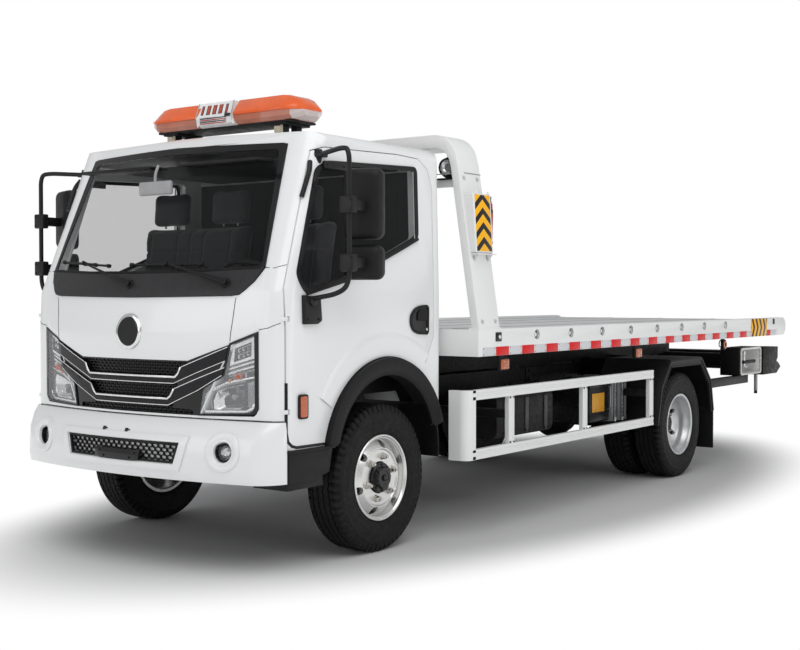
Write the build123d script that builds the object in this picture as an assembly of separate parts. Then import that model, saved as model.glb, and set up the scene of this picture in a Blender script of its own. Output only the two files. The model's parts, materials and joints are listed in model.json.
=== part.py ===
from build123d import *
from functools import lru_cache
import math
import os

# Flatbed tow truck.  Millimetres.  The front faces -Y, +X is the vehicle's left, +Z is up.
# The origin lies on the ground at the middle of the truck's length and width.

# ---------------------------------------------------------------- driving sizes
FRONT_OVERHANG = 1015.0
WHEELBASE = 3535.0
REAR_OVERHANG = 2140.0
LENGTH = FRONT_OVERHANG + WHEELBASE + REAR_OVERHANG
FRONT_Y = -LENGTH / 2
TAIL_Y = LENGTH / 2
AXLE_Y = FRONT_Y + FRONT_OVERHANG
REAR_AXLE_Y = AXLE_Y + WHEELBASE
RUNNING_GAP = 0.3
SLIDE_GAP = 0.5
PANEL_GAP = 5.0
EVERYWHERE = (-4000.0, 4000.0)

# wheels
TYRE_R = 395.0
TYRE_W = 215.0
BEAD_R = 212.0
BEAD_W = 176.0
RIM_WALL = 8.0
RIM_LIP_R = 228.0
HUB_R = 85.0
HUB_BORE_R = 30.0
WHEEL_X = 822.5
DUAL_X = 855.0
DUAL_SPACING = 255.0
WHEEL_Z = TYRE_R

# chassis
RAIL_HALF = 375.0
RAIL_W = 65.0
RAIL_WALL = 7.0
RAIL_TOP = 790.0
RAIL_DEPTH = 200.0
RAIL_FRONT_Y = AXLE_Y - 700.0
SPRING_X = 412.0
SPRING_W = 70.0
KINGPIN_X = 655.0
KINGPIN_R = 18.0
TIE_ROD_BACK = 150.0
TIE_ROD_Z = 302.0
TIE_PIN_R = 9.0
GEARBOX_BACK_Y = AXLE_Y + 850.0
GEARBOX_Z = 595.0
AXLE_NOSE_Y = REAR_AXLE_Y - 270.0
AXLE_NOSE_Z = WHEEL_Z + 30.0
CYLINDER_BORE_R = 48.0
ROD_R = 28.0
SUBFRAME = 60.0
CROSS_MEMBERS = (-600.0, 900.0, 1480.0, 3090.0)
REST_PADS = (900.0, 2300.0, 3900.0)
BARREL_Y = AXLE_Y + 2885.0
BARREL_Z = 640.0
BARREL_PIN_R = 22.0
BARREL_X = 235.0
BARREL_R = 55.0
EYE_Y = AXLE_Y + 1635.0
EYE_Z = 905.0

# cab
CAB_HINGE_Y = AXLE_Y - 660.0
CAB_HINGE_Z = 520.0
CAB_PIN_R = 15.0
CAB_WALL = 50.0
CAB_REAR_Y = AXLE_Y + 539.0
CAB_REAR_R = 45.0
CAB_HALF = 943.0
CAB_FLOOR_Z = 860.0
CAB_FLOOR_LOW = CAB_FLOOR_Z - 40.0
CAB_ROOF_Z = 2218.0
ROOF_EDGE_R = 110.0
CAB_SILL_Z = 757.0
TUNNEL_HALF = 360.0
TUNNEL_TOP = 1040.0
TUNNEL_WALL = 30.0
SEAT_BOX_TOP = 1080.0
ARCH_Y = AXLE_Y + 30.0
ARCH_Z = 510.0
ARCH_R = 525.0
FLARE_R = 430.0
FLARE_OUT_X = 952.0
GLASS = 6.0
GLASS_SET = 4.0
DOOR_WALL = 60.0
DOOR_INNER_X = 760.0
DOOR_FRONT_Y = AXLE_Y - 760.0
DOOR_HINGE_X = 914.0
DOOR_HINGE_Y = AXLE_Y - 757.0
DOOR_HINGES = (800.0, 1250.0)
DOOR_PIN_R = 5.0
BUMPER_LOW = 453.0
BUMPER_TOP = 750.0
FOG_X = 669.0
FOG_Z = 606.0
FOG_R = 52.0
LIGHT_BAR_HALF = 606.0
LIGHT_BAR_Y = AXLE_Y - 145.0
LIGHT_BAR_LOW = 2292.0
MIRROR_X = 1158.0
MIRROR_Y = AXLE_Y - 575.0
ARM_R = 12.0
WHEEL_HUB = (450.0, AXLE_Y - 400.0, 1430.0)

# bed and underlift
BED_HALF = 1150.0
BED_FRONT_Y = AXLE_Y + 596.0
BED_LOW = 1020.0
BED_TOP = 1172.0
BED_RAIL_W = 60.0
DECK_Z = 1152.0
DECK_PLATE = 8.0
DECK_SPLIT_Y = BED_FRONT_Y + 700.0
WINCH_DECK_Z = DECK_Z - 4.0
TILT_Z = 1000.0
TILT_DEPTH = 135.0
TILT_HALF = 375.0
TILT_W = 70.0
PAD = 5.0
HINGE_Y = REAR_AXLE_Y + 1110.0
HINGE_Z = 820.0
HINGE_PIN_R = 25.0
GANTRY_DEPTH = 225.0
GANTRY_WALL = 52.0
GANTRY_TOP = 2282.0
GANTRY_LEG_X = BED_HALF - 4.0
WINCH_Y = BED_FRONT_Y + 420.0
WINCH_Z = DECK_Z + 130.0
WINCH_PIN_R = 20.0
HOLE_PITCH = 430.0
HOLE_COUNT = 8
HOLE_R = 27.0
HOLE_RISE = 110.0
BOOM_Y = AXLE_Y + 4130.0
BOOM_Z = 705.0
BOOM_PIN_R = 20.0
BOOM_W = 120.0
BOOM_H = 110.0
BOOM_WALL = 10.0
BOOM_BACK_Y = AXLE_Y + 5130.0
CROSSBAR_Y = AXLE_Y + 5290.0
LAMP_BOX_BACK_Y = AXLE_Y + 5165.0
LAMP_BOX_INNER_X = 936.0
GUARD_X = 1110.0


# ---------------------------------------------------------------- helpers
def block(x, y, z):
    """A block from its low and high face along each axis."""
    size = [high - low for low, high in (x, y, z)]
    centre = [(high + low) / 2 for low, high in (x, y, z)]
    return Pos(*centre) * Box(*size)


def outline(points, radius=0.0):
    """A closed flat face through the points, its corners rounded."""
    if radius:
        return make_face(FilletPolyline(*points, radius=radius, close=True))
    return make_face(Polyline(*points, close=True))


def along_x(face, x0, x1):
    """A (y, z) face drawn out from x0 to x1."""
    return Pos(x0, 0, 0) * extrude(Plane.YZ * face, amount=x1 - x0)


def along_y(face, y0, y1):
    """An (x, z) face drawn out from y0 to y1."""
    return Pos(0, y1, 0) * extrude(Plane.XZ * face, amount=y1 - y0)


def bar(start, end, radius):
    """A round bar between two points."""
    start = Vector(*start)
    run = Vector(*end) - start
    return extrude(Plane(origin=start, z_dir=run) * Circle(radius), amount=run.length)


def pipe(points, radius, bend):
    """A round tube through the points, bent at each corner."""
    path = FilletPolyline(*points, radius=bend)
    return sweep(Plane(origin=path @ 0, z_dir=path % 0) * Circle(radius), path)


def spun(points):
    """A profile of (x, radius) points turned about the X axis."""
    return revolve(Plane.XZ * outline(points), Axis.X)


def mirrored(shape):
    """The same shape on the other side of the truck."""
    return mirror(shape, Plane.YZ)


def both(shape):
    """The shape with its mirror image."""
    return [*solids_of(shape), *solids_of(mirrored(shape))]


def solids_of(*shapes):
    """All solids of the shapes in one flat list."""
    found = []
    for shape in shapes:
        if isinstance(shape, (list, tuple)):
            found += solids_of(*shape)
        else:
            found += shape.solids()
    return found


PARTS = {}


def keep(node, *shapes):
    """Notes the solids of one node."""
    PARTS[node] = Compound(children=solids_of(*shapes), label=node)


# ---------------------------------------------------------------- wheels
def tyre():
    half = TYRE_W / 2
    bead = BEAD_W / 2
    side = [(bead, BEAD_R), (bead, BEAD_R + 20), (half - 2, 270), (half, 325),
            (half - 11, TYRE_R - 22), (half - 34, TYRE_R - 4)]
    other = [(-x, r) for x, r in reversed(side)]
    return spun(side + [(0, TYRE_R)] + other)


def rim_ring():
    bead = BEAD_W / 2 + RUNNING_GAP
    lip = bead + RIM_WALL
    seat = BEAD_R - RUNNING_GAP
    inner = seat - RIM_WALL
    return spun([(-lip, inner), (lip, inner), (lip, RIM_LIP_R), (bead, RIM_LIP_R), (bead, seat),
                 (-bead, seat), (-bead, RIM_LIP_R), (-lip, RIM_LIP_R)])


def vents(count, radius, hole):
    holes = []
    for i in range(count):
        angle = math.radians(360 * (i + 0.5) / count)
        at = (radius * math.cos(angle), radius * math.sin(angle))
        holes.append(Plane.YZ * Pos(*at) * Cylinder(hole, 200))
    return holes


def front_wheel():
    inner = BEAD_R - RUNNING_GAP - RIM_WALL
    disc = spun([(30, inner + 1), (44, inner + 1), (88, 160), (82, 148), (82, 60), (70, 60), (70, 150)])
    disc = disc - vents(6, 178, 21)
    hub = spun([(-60, HUB_BORE_R + RUNNING_GAP), (-60, 70), (62, 70), (70, HUB_R), (98, 80),
                (101, 60), (118, 56), (121, 50), (121, 0), (76, 0), (76, HUB_BORE_R + RUNNING_GAP)])
    drum = spun([(-92, 138), (-92, 150), (10, 150), (10, 60), (-2, 60), (-2, 138)])
    return rim_ring() + disc + hub + drum


def rear_rims():
    inner = BEAD_R - RUNNING_GAP - RIM_WALL
    half = DUAL_SPACING / 2
    disc = spun([(7, inner + 1), (19, inner + 1), (-52, 120), (-52, 60), (-64, 60), (-64, 124)])
    disc = Pos(half, 0, 0) * (disc - vents(6, 160, 20))
    hub = spun([(-60, HUB_BORE_R + RUNNING_GAP), (-60, 70), (60, 70), (60, HUB_R), (84, HUB_R),
                (90, 66), (128, 60), (128, 0), (100, 0), (100, HUB_BORE_R + RUNNING_GAP)])
    drum = spun([(-170, 158), (-170, 170), (70, 170), (70, 60), (58, 60), (58, 158)])
    return (Pos(half, 0, 0) * rim_ring()) + disc + hub + drum + inner_dual_rim(half, inner)


def inner_dual_rim(half, inner):
    disc = spun([(64, 60), (76, 60), (76, 124), (-20, inner + 1), (-32, inner + 1), (64, 120)])
    return (Pos(-half, 0, 0) * rim_ring()) + (Pos(-half + 127, 0, 0) * disc)


def wheels():
    half = DUAL_SPACING / 2
    front = Pos(WHEEL_X, AXLE_Y, WHEEL_Z)
    rear = Pos(DUAL_X, REAR_AXLE_Y, WHEEL_Z)
    pieces = {
        "front_tyre": [front * tyre()],
        "front_rim": [front * front_wheel()],
        "rear_tyres": [rear * Pos(x, 0, 0) * tyre() for x in (-half, half)],
        "rear_rims": [rear * rear_rims()],
    }
    for name, shapes in pieces.items():
        keep(name + "_left", shapes)
        keep(name + "_right", [mirrored(shape) for shape in shapes])


# ---------------------------------------------------------------- axles and springs
def knuckle():
    top = WHEEL_Z + 85
    low = WHEEL_Z - 85
    eye_top = WHEEL_Z + 45
    eye_low = WHEEL_Z - 45
    arm = (TIE_ROD_Z + 16, TIE_ROD_Z + 36)
    ears = [block((KINGPIN_X - 34, 712), (AXLE_Y - 38, AXLE_Y + 38), z)
            for z in ((eye_top + 2, top), (low, eye_low - 2))]
    web = block((690, 712), (AXLE_Y - 38, AXLE_Y + 38), (low, top))
    pin = bar((KINGPIN_X, AXLE_Y, low), (KINGPIN_X, AXLE_Y, top), KINGPIN_R)
    spindle = bar((700, AXLE_Y, WHEEL_Z), (WHEEL_X + 74, AXLE_Y, WHEEL_Z), HUB_BORE_R)
    tie_arm = block((KINGPIN_X - 18, KINGPIN_X + 18), (AXLE_Y, AXLE_Y + TIE_ROD_BACK + 22), arm)
    tie_hole = Pos(KINGPIN_X, AXLE_Y + TIE_ROD_BACK, TIE_ROD_Z) * Cylinder(TIE_PIN_R + RUNNING_GAP, 200)
    return ears[0] + ears[1] + web + pin + spindle + tie_arm - tie_hole


def tie_rod():
    y = AXLE_Y + TIE_ROD_BACK
    rod = bar((-KINGPIN_X, y, TIE_ROD_Z), (KINGPIN_X, y, TIE_ROD_Z), 13)
    end = bar((KINGPIN_X, y, TIE_ROD_Z - 15), (KINGPIN_X, y, TIE_ROD_Z + 15), 20)
    pin = bar((KINGPIN_X, y, TIE_ROD_Z), (KINGPIN_X, y, TIE_ROD_Z + 44), TIE_PIN_R)
    return rod + end + pin + mirrored(end) + mirrored(pin)


def front_axle():
    eye = Pos(KINGPIN_X, AXLE_Y, WHEEL_Z) * Cylinder(30, 90)
    bore = Pos(KINGPIN_X, AXLE_Y, WHEEL_Z) * Cylinder(KINGPIN_R + RUNNING_GAP, 200)
    beam = along_y(outline([(-640, 420), (-560, 420), (-470, 360), (470, 360), (560, 420), (640, 420),
                            (640, 370), (575, 370), (485, 300), (-485, 300), (-575, 370), (-640, 370)]),
                   AXLE_Y - 35, AXLE_Y + 35)
    seat = block((SPRING_X - 45, SPRING_X + 45), (AXLE_Y - 60, AXLE_Y + 60), (355, 400))
    return beam + eye + mirrored(eye) + seat + mirrored(seat) - bore - mirrored(bore)


def rear_axle():
    tube = bar((-700, REAR_AXLE_Y, WHEEL_Z), (700, REAR_AXLE_Y, WHEEL_Z), 58)
    spindle = bar((-DUAL_X - 96, REAR_AXLE_Y, WHEEL_Z), (DUAL_X + 96, REAR_AXLE_Y, WHEEL_Z), HUB_BORE_R)
    casing = Pos(0, REAR_AXLE_Y, WHEEL_Z) * Sphere(165)
    nose = bar((0, AXLE_NOSE_Y, AXLE_NOSE_Z), (0, AXLE_NOSE_Y + 40, AXLE_NOSE_Z), 75)
    nose += bar((0, AXLE_NOSE_Y + 30, AXLE_NOSE_Z), (0, REAR_AXLE_Y, WHEEL_Z), 72)
    y = REAR_AXLE_Y
    seat = block((SPRING_X - 45, SPRING_X + 45), (y - 70, y + 70), (WHEEL_Z, WHEEL_Z + 75))
    return tube + spindle + casing + nose + seat + mirrored(seat)


def leaf_spring(axle_y, half, seat_z, leaves, eye_rise):
    """A stack of leaves bowed up to its two eyes, with the hangers that hold the eyes to the rail."""
    thick = 11.0
    eye_z = seat_z + eye_rise
    arc = ThreePointArc((axle_y - half, eye_z), (axle_y, seat_z), (axle_y + half, eye_z))
    radius = arc.radius
    centre = (axle_y, seat_z + radius)
    ring = Pos(*centre) * (Circle(radius) - Circle(radius - thick * leaves))
    low = Pos(axle_y, seat_z) * Rectangle(2 * half, 2 * eye_rise + 2 * thick * leaves)
    stack = along_x(ring & low, SPRING_X - SPRING_W / 2, SPRING_X + SPRING_W / 2)
    hanger_top = RAIL_TOP - RAIL_DEPTH + 50
    for y in (axle_y - half + 20, axle_y + half - 20):
        stack += block((RAIL_HALF, SPRING_X + 30), (y - 22, y + 22), (eye_z - 30, hanger_top))
    return stack


# ---------------------------------------------------------------- chassis
def rail():
    """One pressed channel, open towards the truck's middle."""
    low = RAIL_TOP - RAIL_DEPTH
    inner = RAIL_HALF - RAIL_W
    web = outline([(inner, low), (RAIL_HALF, low), (RAIL_HALF, RAIL_TOP), (inner, RAIL_TOP),
                   (inner, RAIL_TOP - RAIL_WALL), (RAIL_HALF - RAIL_WALL, RAIL_TOP - RAIL_WALL),
                   (RAIL_HALF - RAIL_WALL, low + RAIL_WALL), (inner, low + RAIL_WALL)])
    return along_y(web, RAIL_FRONT_Y, HINGE_Y - 60)


def chassis_frame():
    low = RAIL_TOP - RAIL_DEPTH
    inner = RAIL_HALF - RAIL_W
    inside = RAIL_HALF - RAIL_WALL
    pad_top = TILT_Z - TILT_DEPTH - RUNNING_GAP
    frame = rail() + mirrored(rail())
    for back in CROSS_MEMBERS:
        y = AXLE_Y + back
        frame += block((-inside, inside), (y - 30, y + 30), (low + 90, low + 180))
    side = block((inner, RAIL_HALF), (CAB_REAR_Y + 60, HINGE_Y - 60), (RAIL_TOP, RAIL_TOP + SUBFRAME))
    for back in REST_PADS:
        y = AXLE_Y + back
        side += block((inner, RAIL_HALF), (y - 60, y + 60), (RAIL_TOP + SUBFRAME, pad_top))
    side += tilt_ear() + cab_pin()
    bed_pin = bar((0, HINGE_Y, HINGE_Z), (RAIL_HALF, HINGE_Y, HINGE_Z), HINGE_PIN_R)
    barrel_pin = bar((0, BARREL_Y, BARREL_Z), (inside, BARREL_Y, BARREL_Z), BARREL_PIN_R)
    side += bed_pin + barrel_pin
    return frame + side + mirrored(side)


def tilt_ear():
    low = RAIL_TOP - RAIL_DEPTH
    inner = RAIL_HALF - RAIL_W
    y, top = HINGE_Y, HINGE_Z + 30
    plate = outline([(y - 200, low + 20), (y - 60, low + 100), (y + 44, HINGE_Z - 30), (y + 44, top),
                     (y - 60, top), (y - 200, top - 10)])
    return along_x(plate, inner - 25, inner)


def cab_pin():
    y, z = CAB_HINGE_Y, CAB_HINGE_Z
    bracket = block((RAIL_HALF - RAIL_W, RAIL_HALF), (y - 35, y + 35), (z - 35, RAIL_TOP - RAIL_DEPTH + 5))
    return bracket + bar((RAIL_HALF - 10, y, z), (RAIL_HALF + 52, y, z), CAB_PIN_R)


# ---------------------------------------------------------------- cab
# One row for each level: z, half-width and y of the front corner, y at the middle of the front,
# half-width and y where the side begins, half-width at the rear.  y is measured from the front axle.
CAB_LEVELS = [
    (560.0, 797.0, -822.0, -915.0, 928.0, -730.0, 941.0),
    (1180.0, 799.0, -823.0, -936.0, 930.0, -725.0, CAB_HALF),
    (1380.0, 805.0, -813.0, -905.0, 931.0, -705.0, CAB_HALF),
    (2150.0, 727.0, -517.0, -587.0, 898.0, -430.0, 925.0),
    (2260.0, 716.0, -475.0, -545.0, 893.0, -391.0, 922.0),
]


def cab_section(level, inset):
    """The cab's plan at one level, moved in by the inset."""
    z, corner_x, corner_y, nose_y, side_x, side_y, rear_x = level
    nose = AXLE_Y + nose_y + inset
    corner = (corner_x - inset * 0.7, AXLE_Y + corner_y + inset)
    side = (side_x - inset, AXLE_Y + side_y + inset * 0.5)
    back = CAB_REAR_Y - inset
    rear_x = rear_x - inset
    bow_x = (corner[0] + side[0]) / 2 + 26
    bow_y = (corner[1] + side[1]) / 2 - 20
    turn = CAB_REAR_R * (1 - math.sqrt(0.5))
    left = [Line((rear_x, back - CAB_REAR_R), side),
            ThreePointArc(side, (bow_x, bow_y), corner)]
    front = ThreePointArc(corner, (0, nose), (-corner[0], corner[1]))
    right = [ThreePointArc((-corner[0], corner[1]), (-bow_x, bow_y), (-side[0], side[1])),
             Line((-side[0], side[1]), (-rear_x, back - CAB_REAR_R))]
    flat = rear_x - CAB_REAR_R
    rear = [ThreePointArc((-rear_x, back - CAB_REAR_R), (-rear_x + turn, back - turn), (-flat, back)),
            Line((-flat, back), (flat, back)),
            ThreePointArc((flat, back), (rear_x - turn, back - turn), (rear_x, back - CAB_REAR_R))]
    face = make_face(Curve() + left + [front] + right + rear)
    return Pos(0, 0, z) * face


@lru_cache(maxsize=None)
def cab_solid(inset):
    """The cab's whole outer form, moved in by the inset on every side but below."""
    body = loft([cab_section(level, inset) for level in CAB_LEVELS], ruled=True)
    top = CAB_ROOF_Z - inset
    edge = ROOF_EDGE_R - inset * 0.5
    far = 1100.0
    end = outline([(-far, 500), (-far, 1200), (-960 + inset, 1400), (-925 + inset, top - 34), (0, top + 6),
                   (925 - inset, top - 34), (960 - inset, 1400), (far, 1200), (far, 500)])
    end = fillet(end.vertices().filter_by(lambda v: abs(abs(v.X) - 925 + inset) < 1), edge)
    side = outline([(FRONT_Y - 100, 500), (FRONT_Y - 100, 1200), (AXLE_Y - 560 + inset, 2150 - inset),
                    (AXLE_Y - 440, top), (CAB_REAR_Y - inset, top - 20), (CAB_REAR_Y + 200, top - 24),
                    (CAB_REAR_Y + 200, 500)])
    return body & along_y(end, FRONT_Y - 200, CAB_REAR_Y + 300) & along_x(side, -far, far)


# ---------------------------------------------------------------- doors, windows and lamp openings
# Outlines as (y from the front axle, z) on the side and (x, z) on the front.
DOOR_EDGE = [(-763.0, 613.0), (-763.0, 1390.0), (-505.0, 2085.0), (-450.0, 2104.0), (150.0, 2120.0),
             (330.0, 2112.0), (415.0, 2062.0), (455.0, 1960.0), (455.0, 1134.0), (345.0, 940.0),
             (345.0, 613.0)]
SIDE_WINDOW = [(-693.0, 1455.0), (-631.0, 1372.0), (-306.0, 1444.0), (148.0, 1612.0), (313.0, 1676.0),
               (313.0, 2063.0), (-440.0, 2035.0), (-505.0, 2000.0)]
WINDSCREEN = [(-612.0, 1378.0), (-778.0, 1492.0), (-716.0, 2122.0), (0.0, 2150.0), (716.0, 2122.0),
              (778.0, 1492.0), (612.0, 1378.0)]
REAR_WINDOW = [(-620.0, 1560.0), (-620.0, 1960.0), (620.0, 1960.0), (620.0, 1560.0)]
LAMP_EDGE = [(465.0, 768.0), (660.0, 1130.0), (792.0, 1182.0), (786.0, 790.0), (770.0, 775.0)]
GRILLE_EDGE = [(-652.0, 1128.0), (-393.0, 1039.0), (393.0, 1039.0), (652.0, 1128.0), (457.0, 768.0),
               (-457.0, 768.0)]


def from_axle(points):
    return [(AXLE_Y + y, z) for y, z in points]


def grown(face, amount):
    """The face with its edge moved out, or in for a negative amount."""
    return offset(face, amount=amount, kind=Kind.INTERSECTION)


def skin(outer_inset, inner_inset):
    """The layer of the cab's form between two insets."""
    return cab_solid(outer_inset) - cab_solid(inner_inset)


def arch_cut(radius, x0, x1):
    return along_x(Pos(ARCH_Y, ARCH_Z) * Circle(radius), x0, x1)


def cab_shell():
    """Walls and roof, with the openings for doors, glass, lamps and grille."""
    shell = skin(0, CAB_WALL) & block((-1000, 1000), (FRONT_Y, 0), (CAB_SILL_Z, 3000))
    rear = (CAB_REAR_Y - 100, CAB_REAR_Y + 10)
    inside = TUNNEL_HALF - TUNNEL_WALL
    shell -= block((-inside, inside), rear, (0, TUNNEL_TOP - TUNNEL_WALL))
    shell -= block((-RAIL_HALF - 50, RAIL_HALF + 50), rear, (0, CAB_FLOOR_LOW))
    arch = arch_cut(ARCH_R, 690, 1000)
    door_hole = along_x(grown(outline(from_axle(DOOR_EDGE)), PANEL_GAP), 700, 1000)
    lamp = along_y(outline(LAMP_EDGE), FRONT_Y, AXLE_Y - 650)
    shell -= arch + mirrored(arch) + door_hole + mirrored(door_hole)
    shell -= along_y(outline(WINDSCREEN, 35), FRONT_Y, AXLE_Y - 350)
    shell -= along_y(outline(REAR_WINDOW, 60), CAB_REAR_Y - 100, CAB_REAR_Y + 100)
    shell -= lamp + mirrored(lamp) + along_y(outline(GRILLE_EDGE), FRONT_Y, AXLE_Y - 700)
    for z in DOOR_HINGES:
        tab = hinge_tab(z)
        shell += tab + mirrored(tab)
    return shell


def hinge_tab(z):
    """The shell's half of a door hinge: a root on the pillar with a bored boss."""
    x, y = DOOR_HINGE_X, DOOR_HINGE_Y
    tab = block((x - 22, x + 7), (AXLE_Y - 780, DOOR_FRONT_Y - 4), (z - 10, z + 10))
    tab += Pos(x, y, z) * Cylinder(9, 20)
    return tab - Pos(x, y, z) * Cylinder(DOOR_PIN_R + RUNNING_GAP, 60)


def cab_floor():
    """The floor with the box under the seats, the tunnel over the engine and the two tilt lugs."""
    low = CAB_FLOOR_LOW
    floor = block(EVERYWHERE, EVERYWHERE, (low, CAB_FLOOR_Z))
    floor += block((-CAB_HALF, CAB_HALF), (AXLE_Y - 420, CAB_REAR_Y), (low, SEAT_BOX_TOP))
    floor += block((-TUNNEL_HALF, TUNNEL_HALF), (AXLE_Y - 800, CAB_REAR_Y), (low, TUNNEL_TOP))
    floor &= cab_solid(CAB_WALL + RUNNING_GAP) & block((-1000, 1000), (FRONT_Y, 0), (0, 3000))
    door_clear = along_x(grown(outline(from_axle(DOOR_EDGE)), PANEL_GAP), DOOR_INNER_X - PANEL_GAP, 1000)
    floor -= door_clear + mirrored(door_clear)
    inside = TUNNEL_HALF - TUNNEL_WALL
    floor -= block((-inside, inside), (FRONT_Y, 0), (0, TUNNEL_TOP - TUNNEL_WALL))
    arch = arch_cut(ARCH_R, 690, 1000)
    floor -= arch + mirrored(arch)
    y, z = CAB_HINGE_Y, CAB_HINGE_Z
    lug = block((RAIL_HALF + 10, RAIL_HALF + 40), (y - 36, y + 36), (z - 36, low + 5))
    lug -= bar((0, y, z), (900, y, z), CAB_PIN_R + RUNNING_GAP)
    return floor + lug + mirrored(lug)


def cab_glass():
    glass = skin(GLASS_SET, GLASS_SET + GLASS)
    screen = glass & along_y(grown(outline(WINDSCREEN, 35), -RUNNING_GAP), FRONT_Y, AXLE_Y - 350)
    rear = glass & along_y(grown(outline(REAR_WINDOW, 60), -RUNNING_GAP), CAB_REAR_Y - 40, CAB_REAR_Y)
    return [screen, rear]


def door():
    edge = along_x(outline(from_axle(DOOR_EDGE)), DOOR_INNER_X, 1000)
    edge &= block(EVERYWHERE, (DOOR_FRONT_Y, 0), EVERYWHERE)
    panel = (skin(0, DOOR_WALL) & edge) - arch_cut(ARCH_R + PANEL_GAP, 600, 1100)
    for z in DOOR_HINGES:
        y = DOOR_HINGE_Y
        panel -= block((DOOR_HINGE_X - 17, 1000), (y - 20, y + 15), (z - 13, z + 13))
        panel += Pos(DOOR_HINGE_X, y, z) * Cylinder(DOOR_PIN_R, 36)
    window = outline(from_axle(SIDE_WINDOW), 28)
    panel -= along_x(window, 700, 1000)
    glass = skin(GLASS_SET, GLASS_SET + GLASS) & along_x(grown(window, -RUNNING_GAP), 700, 1000)
    return panel, glass


def grille():
    plate = skin(12, 34) & along_y(grown(outline(GRILLE_EDGE), -RUNNING_GAP), FRONT_Y, AXLE_Y - 700)
    for z_mid, bend, rise in ((954.0, 318.0, 0.34), (845.0, 278.0, 0.55)):
        end = 640 - (1000 - z_mid) * 0.2
        z_end = z_mid + (end - bend) * rise
        band = outline([(-end, z_end + 14), (-bend, z_mid + 14), (bend, z_mid + 14), (end, z_end + 14),
                        (end, z_end - 14), (bend, z_mid - 14), (-bend, z_mid - 14), (-end, z_end - 14)])
        inside = along_y(grown(outline(GRILLE_EDGE), -RUNNING_GAP), FRONT_Y, AXLE_Y - 700)
        plate += (cab_solid(-6) - cab_solid(20)) & along_y(band, FRONT_Y, AXLE_Y - 700) & inside
    return plate


def headlamp():
    edge = grown(outline(LAMP_EDGE), -RUNNING_GAP)
    return skin(2, 48) & along_y(edge, FRONT_Y, AXLE_Y - 650)


# ---------------------------------------------------------------- front bumper and steps
# One row for each level: z and how far the face stands out from the cab's plan.
BUMPER_LEVELS = [(BUMPER_LOW, 92.0), (500.0, 100.0), (640.0, 92.0), (710.0, 60.0), (BUMPER_TOP, 16.0)]


def bumper_form(inset):
    base = CAB_LEVELS[0]
    faces = []
    for z, out in BUMPER_LEVELS:
        level = (z, base[1] + out * 0.2, base[2] - out, base[3] - out, base[4] + 4, base[5] - 10, base[6])
        faces.append(cab_section(level, inset))
    return loft(faces, ruled=True)


def bumper():
    shell = bumper_form(0) - bumper_form(40)
    shell &= block((-1000, 1000), (FRONT_Y - 100, AXLE_Y - 770), (BUMPER_LOW, BUMPER_TOP))
    for x in (-FOG_X, FOG_X):
        shell -= bar((x, FRONT_Y - 100, FOG_Z), (x, AXLE_Y - 700, FOG_Z), FOG_R)
    mouth = outline([(-404, 633), (404, 633), (376, 539), (-376, 539)], 14)
    intake = along_y(mouth, FRONT_Y - 100, AXLE_Y - 700)
    shell -= intake
    mesh = (bumper_form(24) - bumper_form(36)) & intake
    x = (RAIL_HALF + 60, RAIL_HALF + 100)
    stay = block(x, (AXLE_Y - 940, AXLE_Y - 770), (BUMPER_LOW + 60, BUMPER_LOW + 140))
    stay += block(x, (AXLE_Y - 810, AXLE_Y - 770), (BUMPER_LOW + 60, CAB_FLOOR_LOW))
    return shell + mesh + stay + mirrored(stay)


def fog_lamps():
    lamps = []
    for x in (-FOG_X, FOG_X):
        tube = bar((x, FRONT_Y - 100, FOG_Z), (x, AXLE_Y - 700, FOG_Z), FOG_R - RUNNING_GAP)
        lamps.append((bumper_form(6) - bumper_form(70)) & tube)
    return lamps


def wheel_arch():
    ring = Pos(ARCH_Y, ARCH_Z) * (Circle(ARCH_R - RUNNING_GAP) - Circle(FLARE_R))
    front, middle, back = AXLE_Y - 700, AXLE_Y + 200, CAB_REAR_Y - 12
    keep_in = outline([(front, 613), (front, 1100), (back, 1100), (back, CAB_SILL_Z), (middle, CAB_SILL_Z),
                       (middle, 613)])
    flare = along_x(ring & keep_in, 860, FLARE_OUT_X)
    liner = Pos(ARCH_Y, ARCH_Z) * (Circle(ARCH_R - RUNNING_GAP) - Circle(ARCH_R - 14))
    return flare + along_x(liner & keep_in, 692, 870)


def cab_step():
    x, y = (700, 922), (AXLE_Y - 760, AXLE_Y - 412)
    well = (block(x, y, (415, 608)) & cab_solid(8)) + block(x, y, (415, 560))
    well -= block((760, 1000), (AXLE_Y - 700, AXLE_Y - 450), (470, 590))
    riser = block((660, 840), (AXLE_Y - 700, AXLE_Y - 412), (600, CAB_FLOOR_LOW))
    riser -= block((700, 1000), (AXLE_Y - 680, AXLE_Y - 500), (613, 900))
    return well + riser - arch_cut(ARCH_R + 1, 600, 1000)


# ---------------------------------------------------------------- roof, mirrors, wipers and door fittings
def light_bar():
    y, low = LIGHT_BAR_Y, LIGHT_BAR_LOW
    root = LIGHT_BAR_HALF - 120
    body = along_x(outline([(y - 140, low + 8), (y - 120, low), (y + 120, low), (y + 140, low + 8),
                            (y + 128, low + 108), (y + 80, low + 150), (y - 80, low + 150),
                            (y - 128, low + 108)]), -root, root)
    faces = [Plane(origin=(x, y, z), x_dir=(0, 1, 0), z_dir=(1, 0, 0)) * RectangleRounded(*size, 40)
             for x, z, size in ((root, low + 75, (270, 148)), (LIGHT_BAR_HALF, low + 70, (150, 96)))]
    end = loft(faces)
    foot = block((380, 440), (y - 90, y + 90), (CAB_ROOF_Z - 20, low + 2))
    foot -= cab_solid(-RUNNING_GAP)
    return body + end + mirrored(end) + foot + mirrored(foot)


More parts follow.
